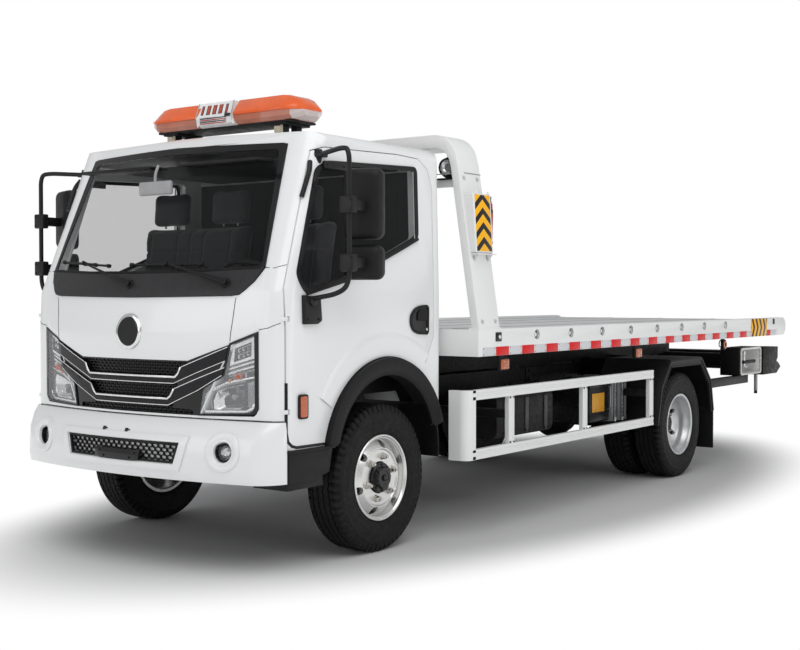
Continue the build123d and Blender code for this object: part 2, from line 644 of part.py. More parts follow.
def mirror_set():
    x, y = MIRROR_X, MIRROR_Y
    body = cab_solid(-RUNNING_GAP)
    foot = (925, y - 30, 1350)
    arm = pipe([(850, y + 110, 2064), (x, y, 2066), (x, y, 1420), (x - 60, y - 6, 1380), foot],
               ARM_R, [50, 30, 40]) - body
    base = block((905, 955), (y - 90, y + 40), (1222, 1365)) - body
    top = block((820, 912), (y + 80, y + 145), (2042, 2084)) - body
    heads = []
    for z0, z1 in ((1646, 1985), (1446, 1606)):
        head = extrude(RectangleRounded(195, z1 - z0, 40), amount=80)
        head = fillet(head.faces().sort_by(Axis.Z)[0].edges(), 25)
        middle = (x - 20, y + 110, (z0 + z1) / 2)
        place = Plane(origin=middle, x_dir=(0.94, 0.34, 0), z_dir=(-0.34, 0.94, 0))
        heads.append(place * head)
        heads.append(block((x - 14, x + 14), (y, y + 130), (z0 + 60, z0 + 90)))
    return arm + base + top + heads


def on_screen(x, z, out):
    """A point on the windscreen's face, moved out from it."""
    return (x, AXLE_Y - 841 - out + 0.000141 * x ** 2 + 0.413 * (z - 1525), z)


def wiper(pivot, tip, blade):
    """An arm from its pivot on the cowl to the blade that lies along the foot of the glass."""
    arm = bar(on_screen(*pivot, -15), on_screen(*pivot, 34), 12)
    arm += bar(on_screen(*pivot, 26), on_screen(*tip, 10), 7)
    arm += bar(*[on_screen(*end, 4) for end in blade], 8)
    return arm - cab_solid(GLASS_SET)


def wipers():
    return [wiper((-34, 1420), (-462, 1528), [(-690, 1542), (-235, 1514)]),
            wiper((590, 1424), (205, 1516), [(-65, 1517), (430, 1515)])]


def door_fittings():
    """The cupped handle and the side lamp on one door."""
    handle = block((926, 950), (AXLE_Y + 178, AXLE_Y + 354), (1152, 1310))
    handle = fillet(handle.edges().filter_by(Axis.X), 50)
    lamp = fillet(block((915, 952), (AXLE_Y - 690, AXLE_Y - 625), (760, 878)).edges().filter_by(Axis.X), 14)
    body = cab_solid(-RUNNING_GAP)
    return [handle - body, lamp - body]


# ---------------------------------------------------------------- inside the cab
def seats():
    found = []
    back = CAB_REAR_Y - CAB_WALL
    low = SEAT_BOX_TOP + RUNNING_GAP
    for x0, x1, heads in ((200.0, 700.0, (450.0,)), (-780.0, 90.0, (-560.0, -130.0))):
        side = outline([(back - 560, low), (back - 580, 1200), (back - 200, 1240), (back - 120, 1800),
                        (back - 20, 1800), (back - 70, low)], 30)
        seat = along_x(side, x0, x1)
        for head in heads:
            seat += block((head - 130, head + 130), (back - 130, back - 50), (1790, 1975))
        found.append(seat)
    return found


def dashboard():
    low = TUNNEL_TOP + RUNNING_GAP
    side = outline(from_axle([(-930, low), (-930, 1330), (-700, 1395), (-560, 1350), (-520, 1250),
                              (-560, 1090), (-700, low)]), 20)
    body = along_x(side, -DOOR_INNER_X + 2 * PANEL_GAP, DOOR_INNER_X - 2 * PANEL_GAP)
    return body & cab_solid(CAB_WALL + RUNNING_GAP)


def steering_wheel():
    plane = Plane(origin=WHEEL_HUB, x_dir=(1, 0, 0), z_dir=(0, 0.5, 0.866))
    ring = plane * Torus(215, 15)
    spokes = plane * (Box(420, 34, 16) + Pos(0, -105, 0) * Box(34, 210, 16) + Cylinder(60, 34))
    column = bar((WHEEL_HUB[0], WHEEL_HUB[1] - 190, WHEEL_HUB[2] - 310), WHEEL_HUB, 26) - dashboard()
    return ring + spokes + column


# ---------------------------------------------------------------- tilt frame
def tilt_frame():
    inner = TILT_HALF - TILT_W
    low = TILT_Z - TILT_DEPTH
    front = BED_FRONT_Y + 90
    back = AXLE_Y + 4935
    half = block((inner, TILT_HALF), (front, back), (low, TILT_Z))
    for i in range(7):
        y = front + 60 + i * (back - front - 200) / 6
        half += block((inner + 10, TILT_HALF - 10), (y, y + 80), (TILT_Z - 1, TILT_Z + PAD - RUNNING_GAP))
    half += hinge_lug(inner, low) + cylinder_bracket(inner) + boom_bracket(low)
    frame = half + mirrored(half)
    for y0, rise in ((front, 20), (EYE_Y - 260, 60), (BARREL_Y - 60, 60), (BOOM_Y - 130, 20),
                     (BOOM_Y - 40, 20), (back - 100, 20)):
        frame += block((-inner, inner), (y0, y0 + 80), (low + rise, TILT_Z - 20))
    reach = LAMP_BOX_INNER_X - RUNNING_GAP
    return frame + block((-reach, reach), (back - 95, back - 15), (BOOM_Z + BOOM_H / 2 + 10, low + 10))


def hinge_lug(inner, low):
    half_w = HINGE_PIN_R + 19
    side = Pos(HINGE_Y, HINGE_Z) * Circle(half_w)
    side += outline([(HINGE_Y - half_w, HINGE_Z), (HINGE_Y + half_w, HINGE_Z), (HINGE_Y + half_w, low + 20),
                     (HINGE_Y - half_w, low + 20)])
    pin = bar((0, HINGE_Y, HINGE_Z), (900, HINGE_Y, HINGE_Z), HINGE_PIN_R + RUNNING_GAP)
    return along_x(side, inner + 5, TILT_HALF) - pin


def cylinder_bracket(inner):
    y = (EYE_Y - 40, EYE_Y + 60)
    ears = [block((x - 9, x + 9), y, (EYE_Z - 40, TILT_Z - 25)) for x in (BARREL_X - 42, BARREL_X + 42)]
    return ears[0] + ears[1] + block((BARREL_X - 51, inner + 5), y, (TILT_Z - 45, TILT_Z - 25))


def boom_bracket(low):
    ear = block((BOOM_W / 2 + 35, BOOM_W / 2 + 65), (BOOM_Y - 50, BOOM_Y + 50), (BOOM_Z - 50, low + 60))
    return ear - bar((0, BOOM_Y, BOOM_Z), (900, BOOM_Y, BOOM_Z), BOOM_PIN_R)


def underlift():
    w, h = BOOM_W / 2, BOOM_H / 2
    sleeve = block((-w, w), (BOOM_Y - 45, BOOM_BACK_Y), (BOOM_Z - h, BOOM_Z + h))
    w, h = w - BOOM_WALL, h - BOOM_WALL
    sleeve -= block((-w, w), (BOOM_Y + 60, BOOM_BACK_Y + 1), (BOOM_Z - h, BOOM_Z + h))
    pin_x = BOOM_W / 2 + 64
    boom = sleeve + bar((-pin_x, BOOM_Y, BOOM_Z), (pin_x, BOOM_Y, BOOM_Z), BOOM_PIN_R - RUNNING_GAP)
    w, h = w - SLIDE_GAP, h - SLIDE_GAP
    stinger = block((-w, w), (BOOM_Y + 80, CROSSBAR_Y - 40), (BOOM_Z - h, BOOM_Z + h))
    head = block((-90, 90), (CROSSBAR_Y - 50, CROSSBAR_Y), (BOOM_Z - 60, BOOM_Z + 200))
    return boom, stinger + head, crossbar()


def crossbar():
    """The beam that carries the lifted wheels, a notched claw at each end."""
    beam = block((-1000, 1000), (CROSSBAR_Y, CROSSBAR_Y + 150), (720, 880))
    claw = along_x(outline(from_axle([(5230, 682), (5230, 925), (5600, 915), (5600, 820), (5570, 790),
                                      (5620, 770), (5672, 735), (5570, 682)])), 1000, 1110)
    return beam + claw + mirrored(claw)


def lamp_box():
    """An open-sided box with its lamp set in the rear face."""
    x0, x1 = LAMP_BOX_INNER_X, 1110
    y0, y1 = LAMP_BOX_BACK_Y - 475, LAMP_BOX_BACK_Y
    box = block((x0, x1), (y0, y1), (700, 930)) - block((x0 + 14, 1200), (y0 + 14, y1 - 14), (714, 916))
    box -= block((960, 1090), (y1 - 20, y1 + 5), (735, 895))
    lamp = block((960 + RUNNING_GAP, 1090 - RUNNING_GAP), (y1 - 14, y1 - 2),
                 (735 + RUNNING_GAP, 895 - RUNNING_GAP))
    return box, lamp


def stow_arm():
    """A square arm stowed under one lamp box, with the drop pin behind it."""
    arm = block((1010, 1070), (AXLE_Y + 4180, AXLE_Y + 4980), (628, 694))
    arm += Pos(1040, AXLE_Y + 4180, 661) * Rot(0, 90, 0) * Cylinder(33, 60)
    arm += block((1015, 1065), (AXLE_Y + 4760, AXLE_Y + 4860), (690, 700))
    pin = bar((1080, LAMP_BOX_BACK_Y - 30, 527), (1080, LAMP_BOX_BACK_Y - 30, 700 - RUNNING_GAP), 14)
    return [arm - block(EVERYWHERE, EVERYWHERE, (700 - RUNNING_GAP, 800)), pin]


def lift_cylinder():
    base = Vector(BARREL_X, BARREL_Y, BARREL_Z)
    eye = Vector(BARREL_X, EYE_Y, EYE_Z)
    run = (eye - base).length
    mouth = run - 190

    def along(start, end, radius):
        unit = (eye - base).normalized()
        return bar(tuple(base + unit * start), tuple(base + unit * end), radius)

    def across(at, radius, width):
        return Pos(*at) * Rot(0, 90, 0) * Cylinder(radius, width)

    barrel = along(20, mouth, BARREL_R) - along(140, mouth - 25, CYLINDER_BORE_R)
    barrel -= along(100, mouth + 10, ROD_R + RUNNING_GAP) & along(130, mouth + 10, BARREL_R)
    barrel += across(base, 40, 60)
    barrel -= across(base, BARREL_PIN_R + RUNNING_GAP, 200)
    rod = along(150, run - 20, ROD_R) + along(150, 200, CYLINDER_BORE_R - RUNNING_GAP)
    return barrel, rod + across(eye, 32, 56)


# ---------------------------------------------------------------- bed
def bed_rail():
    inner = BED_HALF - BED_RAIL_W
    half = (BED_TOP - BED_LOW) / 2
    side = outline([(BED_FRONT_Y, BED_LOW), (BED_FRONT_Y, BED_TOP), (TAIL_Y - half, BED_TOP),
                    (TAIL_Y - half, BED_LOW)])
    side += Pos(TAIL_Y - half, BED_LOW + half) * Circle(half)
    rail_solid = along_x(side, inner, BED_HALF)
    z = BED_LOW + HOLE_RISE
    for i in range(HOLE_COUNT):
        y = BED_FRONT_Y + 657 + i * HOLE_PITCH
        rail_solid -= bar((BED_HALF - 14, y, z), (BED_HALF + 10, y, z), HOLE_R)
    return rail_solid


def bed():
    inner = BED_HALF - BED_RAIL_W
    back = TAIL_Y - (BED_TOP - BED_LOW) / 2
    deck = block((-inner, inner), (BED_FRONT_Y, DECK_SPLIT_Y), (DECK_Z - DECK_PLATE, WINCH_DECK_Z))
    deck += block((-inner, inner), (DECK_SPLIT_Y, back), (DECK_Z - DECK_PLATE, DECK_Z))
    deck += block((-inner, inner), (BED_FRONT_Y, BED_FRONT_Y + 8), (BED_LOW, BED_TOP))
    under = DECK_Z - DECK_PLATE
    for i in range(12):
        y = BED_FRONT_Y + 40 + i * (back - BED_FRONT_Y - 140) / 11
        deck += block((-inner, inner), (y, y + 60), (under - 70, under))
    across = (TILT_HALF - TILT_W + 12, TILT_HALF - 12)
    slide = block(across, (BED_FRONT_Y, back - 60), (TILT_Z + PAD, under))
    tail = bar((-inner, back, BED_LOW + 76), (inner, back, BED_LOW + 76), 60)
    tail &= block((-inner, inner), (back - 100, TAIL_Y), (BED_LOW, DECK_Z))
    return deck + slide + mirrored(slide) + tail + bed_rail() + mirrored(bed_rail())


def arch_face(points, bends):
    """A face closed by a straight foot under a line through the points, bent at each corner."""
    return make_face(Curve() + [FilletPolyline(*points, radius=bends), Line(points[-1], points[0])])


def arch_points(half, low):
    """Mirrored corner points from the right-hand ones, feet at the low level."""
    right = [(GANTRY_LEG_X - half, low)] + [(x - half * share, z) for x, z, share in
                                            ((1003, 2100, 1.0), (958, GANTRY_TOP - half * 1.5, 0.7))]
    return right + [(-x, z) for x, z in reversed(right)]


def gantry():
    outer = arch_face(arch_points(0, BED_TOP), [400, 160, 160, 400])
    inner = arch_face(arch_points(GANTRY_WALL, BED_TOP), [350, 110, 110, 350])
    y0 = BED_FRONT_Y + 14
    arch = along_y(outer - inner, y0, y0 + GANTRY_DEPTH)
    return arch + (block((-990, 990), (y0 + 90, y0 + 140), (1990, 2040)) & along_y(outer, y0, y0 + 300))


def warning_panel():
    y0 = BED_FRONT_Y + 24
    box = block((1060, 1112), (y0, y0 + 205), (1602, 1946))
    foot, top = GANTRY_LEG_X + RUNNING_GAP, 1003 + RUNNING_GAP
    leg = outline([(0, BED_TOP), (0, 2100), (top, 2100), (foot, BED_TOP)])
    return box - along_y(leg, y0 - 50, y0 + 400)


def bed_lamps():
    """Square amber lamps on plates under the side rail, and a work lamp in the gantry's corner."""
    found = []
    for back in (903, 2695, 4300):
        y = AXLE_Y + back
        lamp = block((BED_HALF - 40, BED_HALF - 12), (y - 38, y + 38), (938, 1012))
        found.append(lamp + block((BED_HALF - 44, BED_HALF - 36), (y - 30, y + 30), (940, BED_LOW)))
    y = BED_FRONT_Y + 80
    lamp = Pos(880, y + 45, 2100) * Rot(90, 0, 0) * Cylinder(48, 70)
    lamp += block((870, 890), (y + 35, y + 60), (2140, GANTRY_TOP - 78))
    return [*found, lamp - gantry()]


def winch():
    y, z = WINCH_Y, WINCH_Z
    base = block((-300, 300), (y - 120, y + 120), (WINCH_DECK_Z, DECK_Z + 16))
    for x in (-235, 215):
        base += block((x, x + 20), (y - 110, y + 110), (DECK_Z, z + 100))
    base += bar((235, y, z), (330, y, z), 85)
    base -= bar((-400, y, z), (215, y, z), WINCH_PIN_R + RUNNING_GAP)
    drum = bar((-240, y, z), (215, y, z), WINCH_PIN_R)
    drum += bar((-210, y, z), (210, y, z), 60)
    for x in (-208, 196):
        drum += bar((x, y, z), (x + 12, y, z), 100)
    return base, drum


# ---------------------------------------------------------------- chassis sides
def side_guard():
    """Two rails with a forward return, on posts held out from the frame."""
    outer = GUARD_X
    inner = outer - 30
    front = AXLE_Y + 545
    low, top = 435, 830
    guard = block((inner, outer - 4), (front, front + 30), (low, top))
    for z0, z1 in ((low, low + 58), (top - 58, top)):
        guard += block((inner, outer), (front, AXLE_Y + 3004), (z0, z1))
        guard += block((985, outer), (front, front + 30), (z0, z1))
    for y0, y1 in ((978, 1040), (1900, 1990), (2910, 3004)):
        guard += block((inner, outer - 4), (AXLE_Y + y0, AXLE_Y + y1), (low, top))
    for back in (1010, 2390):
        y = (AXLE_Y + back - 25, AXLE_Y + back + 25)
        guard += block((RAIL_HALF, inner), y, (640, 690)) + block((inner - 20, inner), y, (low, top))
    return guard


def mudguards():
    outer = [(3030, 430), (3100, 700), (3270, 893), (3850, 893), (4045, 700), (4095, 462)]
    inner = [(4083, 462), (4034, 695), (3845, 883), (3275, 883), (3110, 697), (3042, 430)]
    rear = along_x(outline(from_axle(outer + inner)), 600, 1120)
    rear += block((600, 1120), (AXLE_Y + 4083, AXLE_Y + 4095), (165, 470))
    for back in (3320, 3800):
        rear += block((RAIL_HALF, 620), (AXLE_Y + back - 20, AXLE_Y + back + 20), (760, 889))
    ring = Pos(ARCH_Y, ARCH_Z) * (Circle(ARCH_R - 25) - Circle(ARCH_R - 37))
    front = along_x(ring & (Pos(AXLE_Y + 480, 600) * Rectangle(200, 290)), 690, 930)
    front += block((RAIL_HALF, 700), (AXLE_Y + 500, AXLE_Y + 530), (640, 680))
    return [rear, front]


def rounded_tank(x, y, z, radius):
    """A long tank, its lengthwise edges rounded."""
    return fillet(block(x, y, z).edges().filter_by(Axis.Y), radius)


def tanks():
    y = AXLE_Y
    battery = block((560, 900), (y + 2425, y + 2733), (480, 747))
    battery += block((RAIL_HALF, 565), (y + 2500, y + 2650), (640, 700))
    air = bar((560, y + 2845, 600), (900, y + 2845, 600), 105)
    air += block((RAIL_HALF, 565), (y + 2800, y + 2860), (600, 660))
    oil = rounded_tank((500, 900), (y + 1200, y + 1900), (480, 760), 50)
    oil += block((RAIL_HALF, 510), (y + 1300, y + 1800), (640, 700))
    fuel = mirrored(rounded_tank((480, 920), (y + 1150, y + 2250), (430, 780), 60))
    fuel += block((-490, -RAIL_HALF), (y + 1250, y + 2150), (640, 700))
    return battery, air, oil, fuel


def engine():
    body = block((-255, 255), (AXLE_Y - 470, AXLE_Y + 520), (520, 960))
    mount = block((-RAIL_HALF + RAIL_WALL, RAIL_HALF - RAIL_WALL), (AXLE_Y - 100, AXLE_Y), (640, 700))
    return body + mount + block((-150, 150), (AXLE_Y + 520, GEARBOX_BACK_Y), (520, GEARBOX_Z + 75))


def propeller_shaft():
    front, back = GEARBOX_BACK_Y, AXLE_NOSE_Y
    shaft = bar((0, front + 8, GEARBOX_Z), (0, back - 8, AXLE_NOSE_Z), 45)
    return shaft + bar((0, front, GEARBOX_Z), (0, front + 14, GEARBOX_Z), 65) + bar(
        (0, back - 14, AXLE_NOSE_Z), (0, back, AXLE_NOSE_Z), 65)


# ---------------------------------------------------------------- all nodes
def main():
    wheels()
    keep("knuckle_left", knuckle())
    keep("knuckle_right", mirrored(knuckle()))
    keep("tie_rod", tie_rod())
    keep("front_axle", front_axle())
    keep("rear_axle", rear_axle())
    front_spring = leaf_spring(AXLE_Y, 560, 400, 4, 95)
    rear_spring = leaf_spring(REAR_AXLE_Y, 620, WHEEL_Z + 75, 7, 60)
    keep("leaf_springs", both(front_spring), both(rear_spring))
    keep("chassis_frame", chassis_frame())
    keep("engine_block", engine())
    keep("propeller_shaft", propeller_shaft())
    battery, air, oil, fuel = tanks()
    keep("battery_box", battery)
    keep("air_tank", air)
    keep("oil_tank", oil)
    keep("fuel_tank", fuel)
    keep("side_guards", both(side_guard()))
    rear, front = mudguards()
    keep("mudguards", both(rear), both(front))
    keep("cab_shell", cab_shell())
    keep("cab_floor", cab_floor())
    keep("cab_glass", cab_glass())
    for side, flip in (("left", lambda shape: shape), ("right", mirrored)):
        panel, glass = door()
        keep("door_" + side, flip(panel))
        keep("door_glass_" + side, flip(glass))
        keep("mirror_" + side, [flip(piece) for piece in mirror_set()])
        keep("door_fittings_" + side, [flip(piece) for piece in door_fittings()])
    keep("grille", grille())
    keep("headlamps", both(headlamp()))
    keep("front_bumper", bumper())
    keep("fog_lamps", fog_lamps())
    keep("wheel_arches", both(wheel_arch()))
    keep("cab_steps", both(cab_step()))
    keep("light_bar", light_bar())
    keep("wipers", wipers())
    keep("seats", seats())
    keep("dashboard", dashboard())
    keep("steering_wheel", steering_wheel())
    keep("tilt_frame", tilt_frame())
    box, lamp = lamp_box()
    keep("lamp_boxes", both(box))
    keep("tail_lamps", both(lamp))
    keep("stow_arms", both(stow_arm()))
    barrel, rod = lift_cylinder()
    keep("lift_barrels", both(barrel))
    keep("lift_rods", both(rod))
    boom, stinger, beam = underlift()
    keep("underlift_boom", boom)
    keep("underlift_stinger", stinger)
    keep("underlift_crossbar", beam)
    keep("bed", bed())
    keep("gantry", gantry())
    keep("warning_panels", both(warning_panel()))
    keep("bed_lamps", both(bed_lamps()))
    base, drum = winch()
    keep("winch_frame", base)
    keep("winch_drum", drum)
    os.makedirs("parts", exist_ok=True)
    for node, shape in PARTS.items():
        export_step(shape, "parts/" + node + ".step")


main()
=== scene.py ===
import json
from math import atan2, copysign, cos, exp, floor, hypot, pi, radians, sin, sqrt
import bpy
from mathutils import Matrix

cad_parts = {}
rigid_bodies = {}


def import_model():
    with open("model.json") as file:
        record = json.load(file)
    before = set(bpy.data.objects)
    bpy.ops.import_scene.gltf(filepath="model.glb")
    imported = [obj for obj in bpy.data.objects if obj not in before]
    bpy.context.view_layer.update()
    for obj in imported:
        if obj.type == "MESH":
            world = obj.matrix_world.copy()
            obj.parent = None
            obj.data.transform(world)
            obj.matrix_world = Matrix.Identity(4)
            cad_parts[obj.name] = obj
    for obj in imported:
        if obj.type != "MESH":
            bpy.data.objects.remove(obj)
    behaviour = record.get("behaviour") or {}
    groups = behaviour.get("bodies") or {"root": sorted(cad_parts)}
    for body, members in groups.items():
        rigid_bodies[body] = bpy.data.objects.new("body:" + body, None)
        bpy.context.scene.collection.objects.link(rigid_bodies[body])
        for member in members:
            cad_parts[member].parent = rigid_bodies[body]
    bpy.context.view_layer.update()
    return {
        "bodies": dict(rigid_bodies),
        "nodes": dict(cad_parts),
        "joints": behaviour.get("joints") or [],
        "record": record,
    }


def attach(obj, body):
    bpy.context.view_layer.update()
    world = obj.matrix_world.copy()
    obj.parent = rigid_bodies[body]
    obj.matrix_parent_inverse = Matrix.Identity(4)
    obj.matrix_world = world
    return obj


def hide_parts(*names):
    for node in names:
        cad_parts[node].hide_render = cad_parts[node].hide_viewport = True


bl_info = {
    "name": "Flatbed tow truck",
    "version": (1, 0, 0),
    "blender": (4, 5, 0),
    "location": "View3D > Sidebar > Tow truck",
    "description": "Dresses the packed tow truck with its finished pieces, materials and stage",
    "category": "Add Mesh",
}

import bmesh
import bpy
from mathutils import Matrix, Vector
from mathutils.bvhtree import BVHTree

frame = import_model()

FRONT_AXLE = -2.33
REAR_AXLE = 1.205
AXLE_HEIGHT = 0.395
FRONT_WHEEL_X = 0.8225
OUTER_WHEEL_X = 0.9825
INNER_WHEEL_X = 0.7275
BED_FRONT = FRONT_AXLE + 0.596
DULL = 0.22


# ---------------------------------------------------------------- shader maths
class Value:
    """A socket in a material, with the sums that the finishes use."""

    def __init__(self, nodes, socket):
        self.nodes = nodes
        self.socket = socket

    def _sum(self, operation, first, second):
        return self.nodes.add("ShaderNodeMath", {"operation": operation}, first, second)

    def __add__(self, other):
        return self._sum("ADD", self, other)

    __radd__ = __add__

    def __sub__(self, other):
        return self._sum("SUBTRACT", self, other)

    def __rsub__(self, other):
        return self._sum("SUBTRACT", other, self)

    def __mul__(self, other):
        return self._sum("MULTIPLY", self, other)

    __rmul__ = __mul__

    def __truediv__(self, other):
        return self._sum("DIVIDE", self, other)

    def __gt__(self, other):
        return self._sum("GREATER_THAN", self, other)

    def __lt__(self, other):
        return self._sum("LESS_THAN", self, other)

    def __abs__(self):
        return self._sum("ABSOLUTE", self, 0.0)

    def fract(self):
        return self._sum("FRACT", self, 0.0)

    def power(self, other):
        return self._sum("POWER", self, other)

    def ramp(self, low, high, start=0.0, end=1.0):
        """Runs from start to end while the value goes from low to high."""
        settings = {"clamp": True, "interpolation_type": "SMOOTHSTEP"}
        return self.nodes.add("ShaderNodeMapRange", settings, self, low, high, start, end)


class Nodes:
    """The node tree of one finish."""

    def __init__(self, name):
        self.material = bpy.data.materials.new(name)
        self.material.use_nodes = True
        self.tree = self.material.node_tree
        self.shader = self.tree.nodes["Principled BSDF"]
        self.place = self.add("ShaderNodeTexCoord", {}, out="Object")

    def add(self, kind, settings, *values, out=0, **named):
        """A node, its settings made first, then its sockets by order or by name."""
        node = self.tree.nodes.new(kind)
        for key, value in settings.items():
            if key == "stops":
                self._stops(node, value)
            else:
                setattr(node, key, value)
        for key, value in [*enumerate(values), *named.items()]:
            if value is None:
                continue
            target = node.inputs[key]
            if isinstance(value, Value):
                self.tree.links.new(value.socket, target)
            else:
                target.default_value = value
        return Value(self, node.outputs[out])

    def _stops(self, node, stops):
        ramp = node.color_ramp
        while len(ramp.elements) < len(stops):
            ramp.elements.new(0.5)
        for element, (at, colour) in zip(ramp.elements, stops):
            element.position = at
            element.color = (*colour, 1.0)

    def axes(self):
        """The x, y and z of the place on the piece."""
        node = self.tree.nodes.new("ShaderNodeSeparateXYZ")
        self.tree.links.new(self.place.socket, node.inputs[0])
        return [Value(self, output) for output in node.outputs]

    def noise(self, scale, detail=3.0, rough=0.5, place=None):
        named = {"Vector": place or self.place, "Scale": scale, "Detail": detail, "Roughness": rough}
        return self.add("ShaderNodeTexNoise", {}, **named)

    def cells(self, scale, feature="F1", place=None):
        named = {"Vector": place or self.place, "Scale": scale}
        return self.add("ShaderNodeTexVoronoi", {"feature": feature}, **named)

    def mix(self, factor, first, second):
        """A colour between two colours."""
        node = self.tree.nodes.new("ShaderNodeMix")
        node.data_type = "RGBA"
        for index, value in ((0, factor), (6, first), (7, second)):
            if isinstance(value, Value):
                self.tree.links.new(value.socket, node.inputs[index])
            elif index:
                node.inputs[index].default_value = (*value[:3], 1.0)
            else:
                node.inputs[index].default_value = value
        return Value(self, node.outputs[2])

    def bump(self, height, strength, distance=0.001):
        return self.add("ShaderNodeBump", {}, Strength=strength, Distance=distance, Height=height)

    def finish(self, colour, rough, metal=0.0, normal=None, **named):
        """Sets the shader's sockets and gives the material."""
        named = {"Base Color": colour, "Roughness": rough, "Metallic": metal, "Normal": normal, **named}
        for key, value in named.items():
            if value is None:
                continue
            if isinstance(value, Value):
                self.tree.links.new(value.socket, self.shader.inputs[key])
            elif isinstance(value, (tuple, list)) or hasattr(value, "__len__"):
                self.shader.inputs[key].default_value = (*value[:3], 1.0)
            else:
                self.shader.inputs[key].default_value = value
        return self.material


def shade(colour, amount):
    return tuple(max(0.0, c * amount) for c in colour[:3])


def dust_low(n, colour, top, amount):
    """The colour with road dust towards the ground."""
    height = n.axes()[2]
    speck = n.noise(9.0, 5.0).ramp(0.35, 0.7)
    return n.mix(height.ramp(0.1, top, amount, 0.0) * speck, colour, (0.3, 0.27, 0.23))


def white_paint():
    n = Nodes("white_paint")
    white = look().paint
    tone = n.mix(n.noise(1.7, 2.0).ramp(0.35, 0.65), shade(white, 0.995), white)
    tone = dust_low(n, tone, 0.75, 0.06)
    peel = n.noise(420.0, 2.0)
    return n.finish(tone, n.noise(6.0).ramp(0.3, 0.7, 0.28, 0.3), 0.0, n.bump(peel, 0.05), **{
        "Coat Weight": 0.6, "Coat Roughness": 0.06})


def powder_white():
    """Thicker, duller white on the bed and its steelwork."""
    n = Nodes("powder_white")
    white = look().bed_paint
    tone = n.mix(n.noise(2.3, 3.0).ramp(0.35, 0.7), shade(white, 0.97), white)
    rub = n.noise(30.0, 6.0, 0.7).ramp(0.66, 0.74)
    tone = n.mix(rub * 0.12, tone, (0.45, 0.43, 0.4))
    return n.finish(tone, n.noise(14.0).ramp(0.3, 0.7, 0.34, 0.46), 0.0, n.bump(n.noise(260.0, 3.0), 0.1), **{
        "Coat Weight": 0.25, "Coat Roughness": 0.15})


def moulded_black():
    n = Nodes("moulded_black")
    black = look().plastic
    grain = n.cells(650.0)
    tone = n.mix(n.noise(5.0).ramp(0.3, 0.7), shade(black, 0.8), shade(black, 1.15))
    tone = dust_low(n, tone, 0.7, 0.1)
    return n.finish(tone, n.noise(18.0).ramp(0.3, 0.7, 0.42, 0.55), 0.0, n.bump(grain, 0.25, 0.0006), **{
        "Specular IOR Level": DULL})


def gloss_black():
    n = Nodes("gloss_black")
    tone = n.mix(n.noise(3.0).ramp(0.3, 0.7), (0.006, 0.006, 0.007), (0.012, 0.012, 0.013))
    return n.finish(tone, 0.16, 0.0, n.bump(n.noise(300.0), 0.02), **{"Specular IOR Level": 0.35})


def chassis_black():
    n = Nodes("chassis_black")
    tone = n.mix(n.noise(12.0, 6.0, 0.65).ramp(0.4, 0.75), (0.004, 0.004, 0.004), (0.011, 0.011, 0.011))
    tone = dust_low(n, tone, 0.8, 0.08)
    return n.finish(tone, n.noise(40.0).ramp(0.3, 0.7, 0.38, 0.6), 0.0, n.bump(n.noise(180.0, 4.0), 0.18), **{
        "Specular IOR Level": DULL})


def rubber():
    n = Nodes("rubber")
    tone = n.mix(n.noise(14.0, 5.0, 0.6).ramp(0.35, 0.7), (0.004, 0.004, 0.0045), (0.009, 0.0088, 0.0085))
    return n.finish(tone, n.noise(60.0).ramp(0.3, 0.7, 0.55, 0.72), 0.0,
        n.bump(n.noise(700.0, 3.0), 0.25, 0.0006), **{"Specular IOR Level": DULL})


def turned_metal(name, colour, rough, metal, side):
    """Bright metal with fine rings about its axle."""
    n = Nodes(name)
    axle = n.add("ShaderNodeMapping", {}, Vector=n.place, Location=(0.0, -side[0], -side[1]))
    parts = n.tree.nodes.new("ShaderNodeSeparateXYZ")
    n.tree.links.new(axle.socket, parts.inputs[0])
    y, z = Value(n, parts.outputs[1]), Value(n, parts.outputs[2])
    radius = (y * y + z * z).power(0.5)
    rings = n.add("ShaderNodeTexNoise", {"noise_dimensions": "1D"}, W=radius * 900.0, Detail=4.0)
    tone = n.mix(rings.ramp(0.3, 0.7), shade(colour, 0.86), colour)
    tone = n.mix(n.noise(30.0, 5.0).ramp(0.55, 0.8) * 0.25, tone, shade(colour, 0.5))
    return n.finish(tone, rings.ramp(0.2, 0.8, rough, rough + 0.1), metal, n.bump(rings, 0.08, 0.0004))


def bright_metal(name, colour, rough):
    n = Nodes(name)
    tone = n.mix(n.noise(35.0, 4.0).ramp(0.4, 0.7), shade(colour, 0.85), colour)
    return n.finish(tone, n.noise(90.0, 4.0).ramp(0.3, 0.7, rough, rough + 0.08), 1.0,
        n.bump(n.noise(500.0), 0.04))


def window_glass():
    n = Nodes("window_glass")
    smear = n.noise(4.0, 4.0)
    return n.finish((0.012, 0.014, 0.015), smear.ramp(0.3, 0.7, 0.01, 0.03), 0.0, None, **{
        "IOR": 1.5, "Alpha": 0.16})


def clear_lens(name, colour, alpha):
    n = Nodes(name)
    ribs = (n.axes()[0] * 90.0).fract()
    return n.finish(colour, 0.04, 0.0, n.bump(ribs, 0.05), **{"Alpha": alpha, "IOR": 1.6, "Coat Weight": 0.5})


def lens(name, colour, scale=120.0):
    """A coloured lamp lens with moulded prisms."""
    n = Nodes(name)
    prisms = n.cells(scale)
    tone = n.mix(prisms.ramp(0.1, 0.6), colour, shade(colour, 0.55))
    return n.finish(tone, 0.12, 0.0, n.bump(prisms, 0.35, 0.001), **{
        "Coat Weight": 0.7, "Coat Roughness": 0.03, "Emission Color": tone, "Emission Strength": 0.04})


